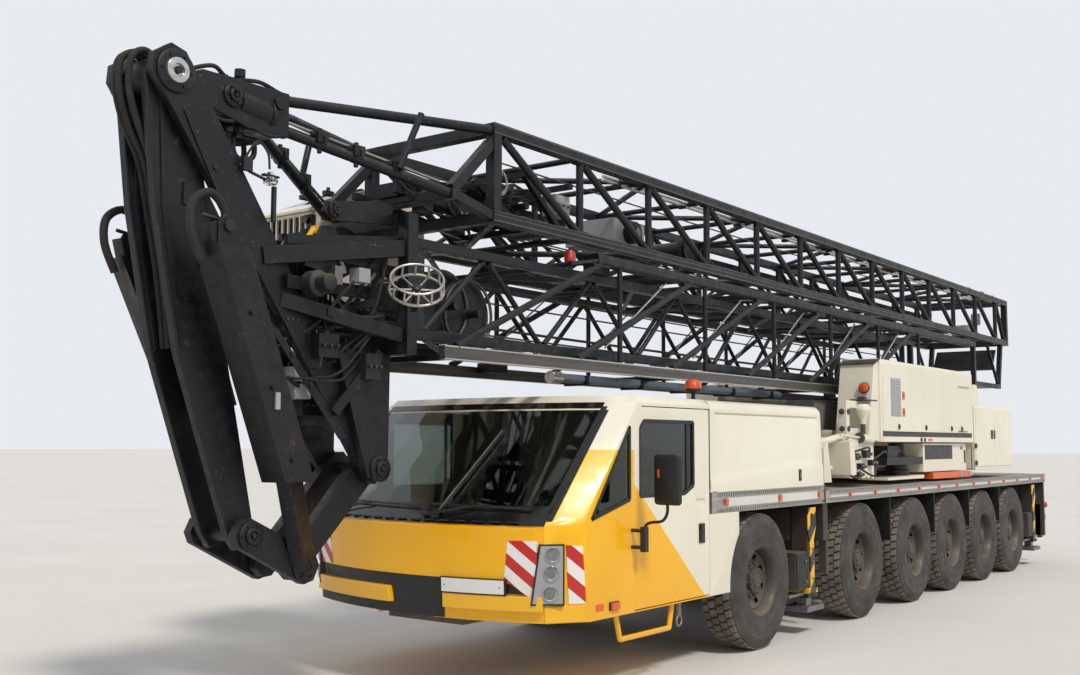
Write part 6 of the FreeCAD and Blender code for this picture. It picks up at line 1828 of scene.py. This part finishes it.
ROOT_PIN = (6.27, 4.58)
STRUT_PIN = (5.55, 1.42)
LINK_PIN = (5.05, 1.17)
LEG_PIN = (4.35, 1.87)
STRUT_TOP = (6.02, 3.50)
WINCH = (5.08, 3.25)
HEAD_SEED = 7
HEAD_HOSES = 52
HEAD_BEAMS = (
    # start, end, size
    ((4.36, 0.50, 3.66), (5.30, 0.30, 3.56), 0.055), ((4.36, -0.50, 3.60), (5.30, -0.30, 3.50), 0.055),
    ((4.36, 0.46, 3.42), (5.06, 0.34, 3.50), 0.045), ((4.36, -0.20, 3.52), (4.98, -0.10, 3.58), 0.05),
    ((4.50, -0.42, 3.10), (4.95, 0.42, 3.05), 0.05), ((4.50, 0.42, 3.16), (4.95, -0.42, 3.02), 0.05),
    ((4.42, 0.40, 2.78), (4.80, 0.30, 2.30), 0.06), ((4.42, -0.40, 2.78), (4.80, -0.30, 2.30), 0.06),
    ((4.46, -0.44, 2.92), (4.46, 0.44, 2.92), 0.07), ((4.62, -0.40, 3.58), (4.62, 0.40, 3.58), 0.06),
    ((4.55, -0.30, 2.55), (4.55, 0.30, 2.55), 0.08), ((4.70, -0.27, 2.25), (4.70, 0.27, 2.25), 0.07),
)
HEAD_BLOCKS = (
    # middle X, Y, Z, then half sizes and the material's number
    ((5.02, 0.10, 2.52), (0.08, 0.10, 0.12), 5), ((5.10, -0.12, 2.44), (0.07, 0.08, 0.10), 4),
    ((4.92, 0.30, 2.80), (0.10, 0.07, 0.09), 0), ((4.74, 0.08, 2.86), (0.12, 0.16, 0.10), 3),
    ((4.62, -0.22, 3.30), (0.10, 0.12, 0.14), 3), ((4.66, 0.20, 3.02), (0.09, 0.10, 0.12), 0),
    ((4.98, -0.26, 2.70), (0.08, 0.07, 0.16), 0), ((5.20, 0.16, 2.98), (0.07, 0.09, 0.08), 3),
    ((4.52, 0.34, 2.66), (0.08, 0.10, 0.10), 3), ((4.82, -0.05, 2.36), (0.10, 0.14, 0.08), 0),
)
HEAD_HOSE_ENDS = (
    (4.45, 0.52, 3.60), (4.48, 0.50, 3.05), (4.50, -0.48, 3.66), (4.66, 0.24, 3.16), (4.72, 0.10, 2.96),
    (5.02, 0.16, 2.64), (5.28, 0.14, 3.06), (4.92, 0.34, 2.90), (5.34, -0.12, 3.48), (4.56, -0.30, 2.62),
    (5.20, 0.24, 2.55), (4.80, 0.0, 3.62), (5.12, 0.20, 3.60), (4.56, 0.38, 2.78), (4.98, -0.2, 2.88),
    (5.36, 0.10, 2.70), (4.60, 0.0, 3.46),
)


def eye(build, spot, face, way, radius, kind=0, cap=1, hub=2):
    """A round boss on a plate's face with the pin's cap, lock ring and bolts."""
    x, z = spot
    build.lathe([(0.0, radius), (0.016, radius), (0.022, radius - 0.008), (0.022, radius * 0.62)],
                (x, way * face, z), (0, way, 0), 36, kind)
    build.lathe([(0.020, radius * 0.60), (0.040, radius * 0.58), (0.046, radius * 0.50),
                 (0.046, radius * 0.30),
                 (0.030, radius * 0.28)], (x, way * face, z), (0, way, 0), 32, cap)
    build.tube((x, way * (face + 0.02), z), (x, way * (face + 0.052), z), radius * 0.20, 6, hub)
    bolt_y = way * (face + 0.020)
    for a, b in around(6, radius * 0.78):
        build.tube((x + a, bolt_y, z + b), (x + a, bolt_y + way * 0.014, z + b), 0.011, 6, kind)


def make_struts():
    softened("mast_head", "mast_head_frame", "inner_mast", "dark", 0.009)
    softened("back_strut_upper", "upper_strut_plates", "upper_strut", "dark", 0.009)
    softened("back_strut_lower", "lower_strut_boxes", "lower_strut", "dark", 0.012)
    head = Build()
    for way in (1, -1):
        eye(head, ROOT_PIN, 0.275, way, 0.150)
        eye(head, LEG_PIN, 0.350, way, 0.105, 0, 0, 2)
        head.plate([(6.10, 4.30), (6.20, 4.33), (5.66, 3.36), (5.56, 3.30)], way * 0.273, way * 0.287, "Y",
                   0)
        head.plate([(5.34, 2.90), (5.44, 2.93), (4.72, 2.10), (4.62, 2.10)], way * 0.273, way * 0.287, "Y",
                   0)
        for x, z in ((5.93, 3.98), (5.20, 2.72), (5.02, 2.50)):
            head.tube((x, way * 0.275, z), (x, way * 0.300, z), 0.020, 10, 2)
    head.finish("head_pins", "inner_mast", ["dark", "silver", "plastic"], "mast_black", 0.002)
    upper = Build()
    for way in (1, -1):
        upper.block((6.04, way * 0.186, 3.70), (6.12, way * 0.200, 3.86), 0)
        upper.tube((5.94, way * 0.185, 3.30), (5.94, way * 0.205, 3.30), 0.024, 10, 1)
        upper.plate([(6.300, 4.45), (6.330, 4.45), (6.285, 3.66), (6.100, 2.70), (6.068, 2.70),
                     (6.252, 3.66)],
                    way * 0.105, way * 0.197, "Y", 0)
    for y, reach in ((0.060, 0.0), (-0.010, 0.03), (-0.075, 0.015)):
        loop = curve_through([(6.24, y, 4.60), (6.28, y, 4.70), (6.38, y, 4.74), (6.47 + reach, y, 4.66),
                              (6.48 + reach, y, 4.46), (6.41 + reach, y, 4.24), (6.30, y, 4.00),
                              (6.22, y, 3.66),
                              (6.12, y, 3.20), (6.05, y, 2.72)], 6)
        upper.path(loop, 0.024, 10, 1)
    for x, z in ((6.20, 3.60), (6.10, 3.10)):
        upper.block((x - 0.05, -0.115, z - 0.02), (x + 0.02, 0.105, z + 0.02), 0)
    upper.finish("upper_strut_hoses", "upper_strut", ["dark", "hose"], "mast_black", 0.003)
    lower = Build()
    for way in (1, -1):
        x, z = STRUT_TOP
        y = way * 0.50
        for cheek in (-0.075, 0.055):
            lower.plate(eye_outline(x, z + 0.02, 0.085, 0.24), y + cheek, y + cheek + 0.020, "Y", 0)
        lower.tube((x, y - 0.095, z + 0.02), (x, y + 0.095, z + 0.02), 0.042, 18, 1)
        lower.tube((x - 0.02, y, z + 0.06), (x + 0.16, y, z + 0.085), 0.014, 10, 3)
        loop = curve_through([(x + 0.02, y, z - 0.08), (x - 0.02, y, z + 0.12), (x + 0.10, y, z + 0.24),
                              (x + 0.24, y, z + 0.16), (x + 0.25, y, z - 0.02), (x + 0.16, y, z - 0.22)], 6)
        lower.path(loop, 0.030, 10, 2)
        eye(lower, LINK_PIN, 0.295, way, 0.115, 0, 0, 1)
        eye(lower, STRUT_PIN, 0.295, way, 0.105, 0, 0, 1)
        lower.block((5.53, way * 0.52, 2.30), (5.57, way * 0.56, 2.42), 4)
        for z_bolt in (1.95, 2.45, 2.95):
            share = (z_bolt - 1.73) / (3.45 - 1.73)
            x_bolt = 5.275 + share * (6.04 - 5.275)
            y_bolt = way * (0.388 + share * (0.505 - 0.388) + 0.112)
            lower.tube((x_bolt, y_bolt, z_bolt), (x_bolt, y_bolt + way * 0.020, z_bolt), 0.018, 8, 0)
        lower.path(curve_through([(5.44, way * 0.30, 1.95), (5.62, way * 0.30, 2.35),
                                  (5.74, way * 0.33, 2.80),
                                  (5.90, way * 0.37, 3.20)], 5), 0.018, 8, 2)
    lower.finish("lower_strut_fittings", "lower_strut", ["dark", "plastic", "hose", "rope", "vent"],
                 "mast_black", 0.003)


def eye_outline(x, z, radius, drop):
    """Outline of a cheek plate: a half circle round the pin with straight sides below it."""
    points = [(x - radius, z - drop), (x - radius, z)]
    points += [(x - radius * math.cos(math.radians(18 * k)), z + radius * math.sin(math.radians(18 * k)))
               for k in range(1, 10)]
    return points + [(x + radius, z), (x + radius, z - drop)]


def make_nose():
    """Sleeve, clamps, shackles and turnbuckles on the jib's root."""
    build = Build()
    for way in (1, -1):
        eye(build, (5.72, 4.56), 0.185, way, 0.085, 0, 0, 1)
        build.tube((5.32, way * 0.10, 4.50), (5.64, way * 0.10, 4.54), 0.115, 24, 0)
        build.ring((5.36, way * 0.10, 4.505), (1, 0, 0.1), 0.118, 0.010, 24, 0)
        build.tube((5.60, way * 0.10, 4.30), (5.60, way * 0.10, 4.79), 0.030, 14, 0)
        build.tube((5.60, way * 0.10, 4.74), (5.60, way * 0.10, 4.80), 0.044, 6, 0)
        build.tube((5.60, way * 0.10, 4.32), (5.60, way * 0.10, 4.37), 0.044, 6, 0)
        build.path(curve_through([(6.02, way * 0.08, 4.70), (5.85, way * 0.12, 4.76),
                                  (5.66, way * 0.05, 4.73),
                                  (5.45, way * 0.13, 4.74), (5.22, way * 0.09, 4.72),
                                  (5.00, way * 0.15, 4.66)], 6),
                   0.017, 8, 1)
        build.path(curve_through([(6.00, way * 0.13, 4.45), (5.82, way * 0.19, 4.36),
                                  (5.60, way * 0.15, 4.40),
                                  (5.40, way * 0.20, 4.33), (5.16, way * 0.14, 4.40)], 6), 0.014, 8, 1)
        for x in (5.70, 5.47):
            link = [(x - 0.04, way * 0.06, 4.33), (x - 0.05, way * 0.06, 4.22),
                    (x - 0.01, way * 0.06, 4.165),
                    (x + 0.09, way * 0.06, 4.150), (x + 0.14, way * 0.06, 4.200),
                    (x + 0.14, way * 0.06, 4.30)]
            build.path(curve_through(link, 4), 0.021, 10, 0)
            build.tube((x - 0.07, way * 0.06, 4.315), (x + 0.17, way * 0.06, 4.315), 0.020, 10, 0)
    foot, tip = Vector((3.945, 0.73, 4.055)), Vector((5.28, 0.11, 4.43))
    for way, share in ((1, 0.76), (1, 0.56), (1, 0.34), (-1, 0.70), (-1, 0.40)):
        x, y, z = foot.lerp(tip, share) + Vector((0, 0, 0.062))
        y = way * y
        build.block((x - 0.055, y - 0.05, z - 0.045), (x + 0.055, y + 0.05, z + 0.045), 0)
        build.tube((x, y, z - 0.12), (x, y, z + 0.075), 0.020, 8, 0)
        build.tube((x - 0.085, y, z + 0.02), (x + 0.085, y, z + 0.02), 0.018, 8, 1)
        build.ring((x, y, z - 0.02), (1, 0.2, 0), 0.062, 0.012, 18, 1)
    for way in (1, -1):
        lift = Vector((0, 0, 0.085))
        start, end = foot.lerp(tip, 0.08) + lift, foot.lerp(tip, 0.97) + lift
        build.tube((start.x, way * start.y, start.z), (end.x, way * end.y, end.z), 0.014, 8, 2)
    build.finish("nose_fittings", "jib", ["dark", "hose", "galvanised"], "mast_black", 0.003)


def valve_block(build, middle, half, kind, union_kind, on_top):
    """A small hydraulic block with three unions on its left side and, where asked, three on its top."""
    low, high = Vector(middle) - Vector(half), Vector(middle) + Vector(half)
    build.block(low, high, kind)
    for k in range(3):
        x = low.x + (k + 0.5) * (high.x - low.x) / 3
        build.tube((x, high.y, middle[2]), (x, high.y + 0.035, middle[2]), 0.014, 8, union_kind)
        if on_top:
            build.tube((x, middle[1], high.z), (x, middle[1], high.z + 0.030), 0.012, 8, union_kind)


def make_head_gear():
    """Winch, sheaves, valve blocks, cable basket, beams and hoses in the mast's head."""
    random.seed(HEAD_SEED)
    build = Build()
    x, z = WINCH
    wraps = [(-0.195 + 0.39 * k / 24, 0.158 if k % 2 else 0.148) for k in range(25)]
    build.lathe(wraps, (x, 0, z), (0, 1, 0), 32, 2)
    for y in (-0.205, 0.185):
        build.lathe([(0.0, 0.215), (0.006, 0.222), (0.016, 0.222), (0.022, 0.215)], (x, y, z), (0, 1, 0), 36,
                    0)
    build.lathe([(0.0, 0.10), (0.10, 0.10), (0.12, 0.07), (0.22, 0.065), (0.24, 0.03)], (x, 0.330, z),
                (0, 1, 0), 24, 3)
    for side_y in (0.42, -0.42):
        way = math.copysign(1, side_y)
        lift = 0.0 if way > 0 else -0.22
        build.plate([(4.34, 3.96 + lift), (4.52, 3.96 + lift), (5.02, 3.88 + lift), (5.06, 3.80 + lift),
                     (4.98, 3.74 + lift), (4.34, 3.80 + lift)], side_y - 0.02, side_y + 0.02, "Y", 0)
        eye(build, (4.96, 3.82 + lift), abs(side_y) + 0.02, way, 0.062, 0, 0, 1)
        build.plate([(4.88, 3.70), (5.02, 3.70), (5.18, 3.38), (4.84, 3.32), (4.74, 3.38)],
                    side_y - 0.075, side_y - 0.045, "Y", 0)
        build.lathe([(-0.022, 0.170), (-0.012, 0.190), (0.0, 0.176), (0.012, 0.190), (0.022, 0.170),
                     (0.022, 0.05),
                     (-0.022, 0.05)], (4.70, side_y * 0.62, 3.56), (0, 1, 0), 36, 0, closed=True)
    for start, end, size in HEAD_BEAMS:
        build.bar(start, end, size, size * 1.2, 0)
    build.tube((5.00, 0.30, 3.55), (4.60, 0.40, 3.62), 0.022, 12, 4)
    build.bar((4.98, 0.33, 3.58), (4.86, 0.37, 3.50), 0.05, 0.03, 4)
    build.bar((4.86, 0.37, 3.52), (4.80, 0.38, 3.36), 0.05, 0.03, 4)
    build.block((4.60, 0.36, 3.30), (4.72, 0.47, 3.41), 5)
    build.block((4.86, 0.32, 3.26), (4.94, 0.44, 3.40), 4)
    build.block((4.82, 0.12, 3.66), (4.91, 0.20, 3.74), 6)
    build.bar((4.90, 0.16, 3.72), (4.99, 0.20, 3.64), 0.045, 0.025, 6)
    build.block((4.78, -0.10, 3.60), (4.96, 0.28, 3.665), 0)
    for middle, half, kind in HEAD_BLOCKS:
        valve_block(build, middle, half, kind, 7, True)
    for _ in range(HEAD_HOSES):
        start = Vector(random.choice(HEAD_HOSE_ENDS))
        end = Vector(random.choice(HEAD_HOSE_ENDS))
        if (end - start).length < 0.2:
            continue
        middle = (start + end) / 2 + Vector((random.uniform(-0.05, 0.12), random.uniform(-0.08, 0.14),
                                             -random.uniform(0.05, 0.28)))
        quarter = (start + middle) / 2 + Vector((random.uniform(-0.04, 0.06), random.uniform(-0.04, 0.06),
                                                 -0.04))
        build.path(curve_through([start, quarter, middle, end], 5), random.choice((0.010, 0.013, 0.017)), 7,
                   1)
    tube_route = curve_through([(5.42, -0.34, 3.72), (5.28, -0.40, 3.66), (5.12, -0.46, 3.52),
                                (4.92, -0.48, 3.46),
                                (4.70, -0.46, 3.50)], 8)
    build.path(tube_route, 0.040, 12, 1)
    for k in range(2, len(tube_route) - 1):
        along = tube_route[k + 1] - tube_route[k - 1]
        build.ring(tube_route[k], along, 0.042, 0.008, 16, 7, 6)
    build.finish("winch_and_gear", "inner_mast",
                 ["dark", "hose", "rail_steel", "chassis", "galvanised", "vent", "yellow", "rope"],
                 "mast_black", 0.002)
    make_basket()


def make_basket():
    """Slatted cable guide ring beside the mast's front end, and the big sheaves inside that end."""
    build = Build()
    middle = Vector((4.54, 0.90, 3.22))
    axis = Vector((0.45, 0.50, 0.74)).normalized()
    level = axis.cross(Vector((0, 0, 1))).normalized()
    upright = axis.cross(level)
    for reach, radius, size in ((0.0, 0.205, 0.012), (0.10, 0.200, 0.010)):
        build.ring(middle + axis * reach, axis, radius, size, 36, 3)
    for k, (a, b) in enumerate(around(12, 0.205)):
        rim_point = level * a + upright * b
        build.tube(middle + rim_point, middle + axis * 0.10 + rim_point * 0.97, 0.010, 8, 3)
        if k % 2 == 0:
            build.tube(middle + axis * 0.004, middle + rim_point, 0.008, 8, 3)
    build.lathe([(0.0, 0.035), (0.03, 0.035), (0.04, 0.02)], middle, axis, 16, 1)
    build.tube(middle - axis * 0.12, middle, 0.022, 12, 1)
    build.bar((4.40, 0.74, 3.10), middle - axis * 0.10, 0.05, 0.05, 1)
    for x, y, z, radius in ((3.74, 0.40, 3.20, 0.30), (3.44, 0.42, 3.16, 0.30), (3.60, -0.34, 3.22, 0.28)):
        build.ring((x, y, z), (0, 1, 0), radius, 0.014, 44, 0)
        build.ring((x, y + 0.05, z), (0, 1, 0), radius, 0.014, 44, 0)
        build.lathe([(0.010, radius - 0.02), (0.020, radius - 0.10), (0.020, 0.06), (0.045, 0.05),
                     (0.045, 0.02)],
                    (x, y, z), (0, 1, 0), 36, 1)
        build.tube((x, y - 0.02, z), (x, y + 0.075, z), 0.030, 14, 2)
    build.tube((3.74, -0.60, 3.20), (3.74, 0.60, 3.20), 0.035, 14, 1)
    build.tube((3.44, -0.60, 3.16), (3.44, 0.60, 3.16), 0.035, 14, 1)
    build.finish("cable_guides", "inner_mast", ["rail_steel", "dark", "silver", "aluminium"], "mast_black",
                 0.001)


def make_leg_lamp():
    """Work lamp and limit switch on the left leg of the mast's head."""
    build = Build()
    build.block((5.64, 0.287, 4.00), (5.72, 0.330, 4.10), 0)
    build.path(curve_through([(5.70, 0.31, 4.08), (5.62, 0.34, 4.22), (5.52, 0.34, 4.16),
                              (5.50, 0.34, 4.04)], 6), 0.009, 8, 0)
    build.lathe([(0.0, 0.050), (0.03, 0.056), (0.05, 0.030), (0.09, 0.022)], (5.49, 0.34, 3.93), (0, 0, 1),
                22, 1)
    build.block((5.42, 0.32, 3.985), (5.56, 0.36, 4.00), 0)
    build.tube((5.66, 0.31, 4.00), (5.52, 0.33, 3.96), 0.012, 8, 0)
    build.block((5.44, 0.325, 3.66), (5.47, 0.355, 3.92), 0)
    build.finish("leg_lamp", "inner_mast", ["plastic", "clear"], "mast_black", 0.002)


# Operator's cabin

CABIN_FRONT = 3.96
CABIN_INNER = -0.88
CABIN_OUTER = -1.66
CABIN_TOP = 4.44
CABIN_SLOPE_RUN, CABIN_SLOPE_DROP = 0.62, 0.26


def make_operator_cabin():
    softened("operator_cabin", "cabin_shell", "operator_cabin", "cream", 0.016)
    softened("operator_cabin_door", "cabin_door", "operator_cabin_door", "cream", 0.008)
    give("operator_cabin_windows", "glass")
    build = Build()
    slope_start = CABIN_FRONT - CABIN_SLOPE_RUN
    for x0, x1, y0, y1, kind, lift in ((3.38, 3.93, -1.00, -1.54, 1, 0.008),
                                       (3.41, 3.90, -1.03, -1.51, 2, 0.014)):
        z0, z1 = (CABIN_TOP - (x - slope_start) * CABIN_SLOPE_DROP / CABIN_SLOPE_RUN for x in (x0, x1))
        build.plate([(x0, z0 - 0.004), (x1, z1 - 0.004), (x1, z1 + lift), (x0, z0 + lift)], y0, y1, "Y",
                    kind)
    build.plate([(3.90, 4.165), (4.04, 4.125), (4.045, 4.150), (3.93, 4.215)], CABIN_INNER - 0.01,
                CABIN_OUTER + 0.01, "Y", 0)
    build.block((3.33, -1.60, 4.436), (3.37, -0.94, 4.452), 3)
    for y in (-1.08, -1.40):
        build.block((3.60, y - 0.03, 4.352), (3.70, y + 0.03, 4.395), 3)
        build.tube((3.65, y, 4.39), (3.65, y, 4.43), 0.018, 10, 3)
    for y in (CABIN_INNER - 0.04, CABIN_OUTER + 0.04):
        build.block((3.965, y - 0.035, 4.00), (4.02, y + 0.035, 4.10), 3)
        build.lathe([(0.0, 0.038), (0.03, 0.042), (0.045, 0.036)], (4.02, y, 4.05), (1, 0, 0), 20, 4)
    build.block((3.962, CABIN_OUTER + 0.03, 3.52), (3.985, CABIN_INNER - 0.03, 3.545), 0)
    build.block((3.962, CABIN_OUTER + 0.03, 4.11), (3.985, CABIN_INNER - 0.03, 4.13), 0)
    build.path(curve_through([(3.95, -0.90, 3.30), (4.03, -0.90, 3.36), (4.04, -0.90, 3.9),
                              (3.97, -0.90, 3.98)], 5),
               0.014, 8, 3)
    build.block((2.552, -1.50, 3.35), (2.562, -1.04, 4.15), 5)
    for z in (3.42, 3.50, 3.58, 3.66):
        build.block((2.545, -1.45, z), (2.556, -1.09, z + 0.03), 3)
    build.tube((3.02, CABIN_INNER + 0.005, 4.30), (3.02, CABIN_INNER + 0.030, 4.30), 0.03, 14, 3)
    build.block((2.66, CABIN_INNER - 0.002, 3.885), (3.30, CABIN_INNER + 0.006, 3.900), 3)
    build.block((2.66, CABIN_INNER - 0.002, 4.262), (3.30, CABIN_INNER + 0.006, 4.277), 3)
    build.finish("cabin_fittings", "operator_cabin", ["cream", "trim", "frit", "plastic", "clear", "vent"],
                 "cream_white", 0.003)
    seat = Build()
    seat.plate([(2.985, 3.50), (3.315, 3.535), (3.345, 3.600), (3.310, 3.640), (3.10, 3.640), (3.045, 3.60)],
               -1.50, -1.04, "Y", 0)
    seat.plate([(2.965, 3.52), (3.065, 3.56), (3.100, 3.62), (3.015, 4.06), (2.970, 4.10), (2.870, 4.10),
                (2.865, 4.02)],
               -1.49, -1.05, "Y", 0)
    for y in (-1.53, -1.06):
        seat.block((3.02, y, 3.74), (3.34, y + 0.05, 3.80), 1)
        seat.tube((3.30, y + 0.025, 3.80), (3.32, y + 0.025, 3.92), 0.012, 10, 1)
        seat.lathe([(0.0, 0.016), (0.02, 0.026), (0.045, 0.018), (0.05, 0.004)], (3.32, y + 0.025, 3.91),
                   (0, 0, 1), 16, 1)
    seat.finish("operator_seat", "operator_cabin", ["seat", "plastic"], "cab_trim_dark", 0.018, 3)


def make_jib_tail():
    """Small gear on the jib's rear end: top rusty lugs, a can, a box and the angled guard plate."""
    build = Build()
    for x, y in ((-11.10, 0.70), (-10.40, 0.72), (-9.70, 0.70)):
        build.block((x - 0.06, y - 0.03, 4.78), (x + 0.06, y + 0.03, 4.815), 0)
    build.lathe([(0.0, 0.07), (0.02, 0.085), (0.20, 0.085), (0.22, 0.06)], (-11.25, 0.35, 4.30), (0, 0, 1),
                22, 1)
    build.block((-11.40, -0.05, 4.05), (-11.10, 0.25, 4.30), 1)
    build.plate([(-11.80, 3.86), (-11.74, 3.86), (-11.46, 3.50), (-11.52, 3.46)], -0.55, 0.55, "Y", 2)
    build.tube((-11.70, 0.55, 3.98), (-11.35, 0.62, 3.98), 0.03, 14, 1)
    build.tube((-11.66, -0.4, 4.10), (-10.9, 0.5, 4.02), 0.012, 8, 3)
    build.finish("jib_tail_gear", "jib", ["orange", "vent", "black", "silver"], "mast_black", 0.003)


FRONT_SEED = 11
FRONT_HOSES = 64
FRONT_SHEAVES = (
    # X, Y, Z, radius
    (2.62, 0.22, 4.24, 0.18), (2.62, 0.06, 4.24, 0.18), (2.62, -0.16, 4.24, 0.18), (3.06, 0.14, 4.12, 0.13),
)
FRONT_BLOCKS = (
    # middle X, Y, Z, then half sizes and the material's number
    ((2.92, 0.20, 4.36), (0.14, 0.12, 0.07), 0), ((3.20, -0.08, 4.26), (0.12, 0.14, 0.10), 0),
    ((2.30, 0.16, 4.10), (0.18, 0.14, 0.07), 0), ((2.36, -0.20, 4.44), (0.12, 0.10, 0.08), 0),
    ((3.34, 0.26, 4.06), (0.09, 0.06, 0.09), 0), ((1.96, 0.30, 4.36), (0.12, 0.08, 0.10), 2),
    ((3.52, 0.10, 4.20), (0.10, 0.16, 0.06), 0), ((3.78, 0.24, 4.12), (0.08, 0.05, 0.10), 0),
    ((3.70, -0.12, 4.24), (0.12, 0.08, 0.07), 0), ((3.98, 0.08, 4.18), (0.07, 0.12, 0.06), 0),
)
FRONT_HOSE_ENDS = (
    (2.10, 0.34, 4.50), (2.30, 0.20, 4.18), (2.62, 0.30, 4.46), (2.90, 0.32, 4.42), (3.06, 0.24, 4.10),
    (3.34, 0.30, 4.16), (3.30, 0.10, 4.36), (2.36, -0.14, 4.50), (2.80, -0.10, 4.04), (3.20, 0.02, 4.40),
    (3.56, 0.22, 4.28), (3.80, 0.30, 4.20), (3.96, 0.16, 4.28), (3.70, -0.06, 4.34), (3.46, 0.32, 4.02),
    (4.10, 0.20, 4.30),
)


def make_jib_front():
    """Rope sheaves, valve blocks and looped hoses in the front end of the jib's root section."""
    random.seed(FRONT_SEED)
    build = Build()
    for x, y, z, radius in FRONT_SHEAVES:
        build.lathe([(-0.020, radius - 0.02), (-0.010, radius), (0.0, radius - 0.014), (0.010, radius),
                     (0.020, radius - 0.02), (0.020, 0.05), (-0.020, 0.05)], (x, y, z), (0, 1, 0), 32, 0,
                    closed=True)
    build.tube((2.62, -0.46, 4.24), (2.62, 0.46, 4.24), 0.034, 14, 0)
    build.tube((3.06, -0.20, 4.12), (3.06, 0.36, 4.12), 0.028, 14, 0)
    for middle, half, kind in FRONT_BLOCKS:
        valve_block(build, middle, half, kind, 3, False)
    for y in (-0.34, 0.34):
        build.bar((2.60, y, 4.04), (4.12, y * 0.7, 4.16), 0.05, 0.06, 0)
    for x in (3.00, 3.50, 4.00):
        build.bar((x, -0.34, 4.09), (x, 0.34, 4.09), 0.045, 0.05, 0)
    for z in (4.00, 4.52):
        build.block((1.90, -0.46, z), (1.96, 0.46, z + 0.05), 0)
        build.block((2.56, -0.46, z), (2.62, 0.46, z + 0.05), 0)
    for start, end in (((1.93, 0.40, 4.02), (2.60, 0.40, 4.54)), ((2.60, 0.40, 4.02), (3.20, 0.30, 4.40)),
                       ((1.93, -0.40, 4.02), (2.60, -0.40, 4.54)),
                       ((2.60, -0.30, 4.50), (3.24, -0.14, 4.16))):
        build.bar(start, end, 0.05, 0.05, 0)
    build.ring((2.96, 0.40, 4.42), (0.2, 1, 0.1), 0.115, 0.011, 32, 4)
    build.ring((2.90, 0.37, 4.40), (0.1, 1, -0.1), 0.095, 0.011, 32, 4)
    for _ in range(FRONT_HOSES):
        start = Vector(random.choice(FRONT_HOSE_ENDS))
        end = Vector(random.choice(FRONT_HOSE_ENDS))
        if (end - start).length > 0.15:
            middle = (start + end) / 2 + Vector((random.uniform(-0.06, 0.06), random.uniform(-0.06, 0.10),
                                                 -random.uniform(0.04, 0.16)))
            build.path(curve_through([start, middle, end], 6), random.uniform(0.007, 0.013), 8, 1)
    build.finish("jib_front_gear", "jib", ["dark", "hose", "vent", "galvanised", "aluminium"], "mast_black",
                 0.002)


make_camera()
make_light()
make_materials()
make_floor()
make_wheels()
make_cab()
make_cover()
make_rails()
make_carrier_details()
make_running_gear()
make_cabinets()
make_machinery()
make_cylinders()
make_jib()
make_jib_fittings()
make_jib_tail()
make_nose()
make_jib_front()
make_outer_jib()
make_inner_mast()
make_outer_mast()
make_struts()
make_head_gear()
make_leg_lamp()
make_operator_cabin()
bpy.context.view_layer.update()
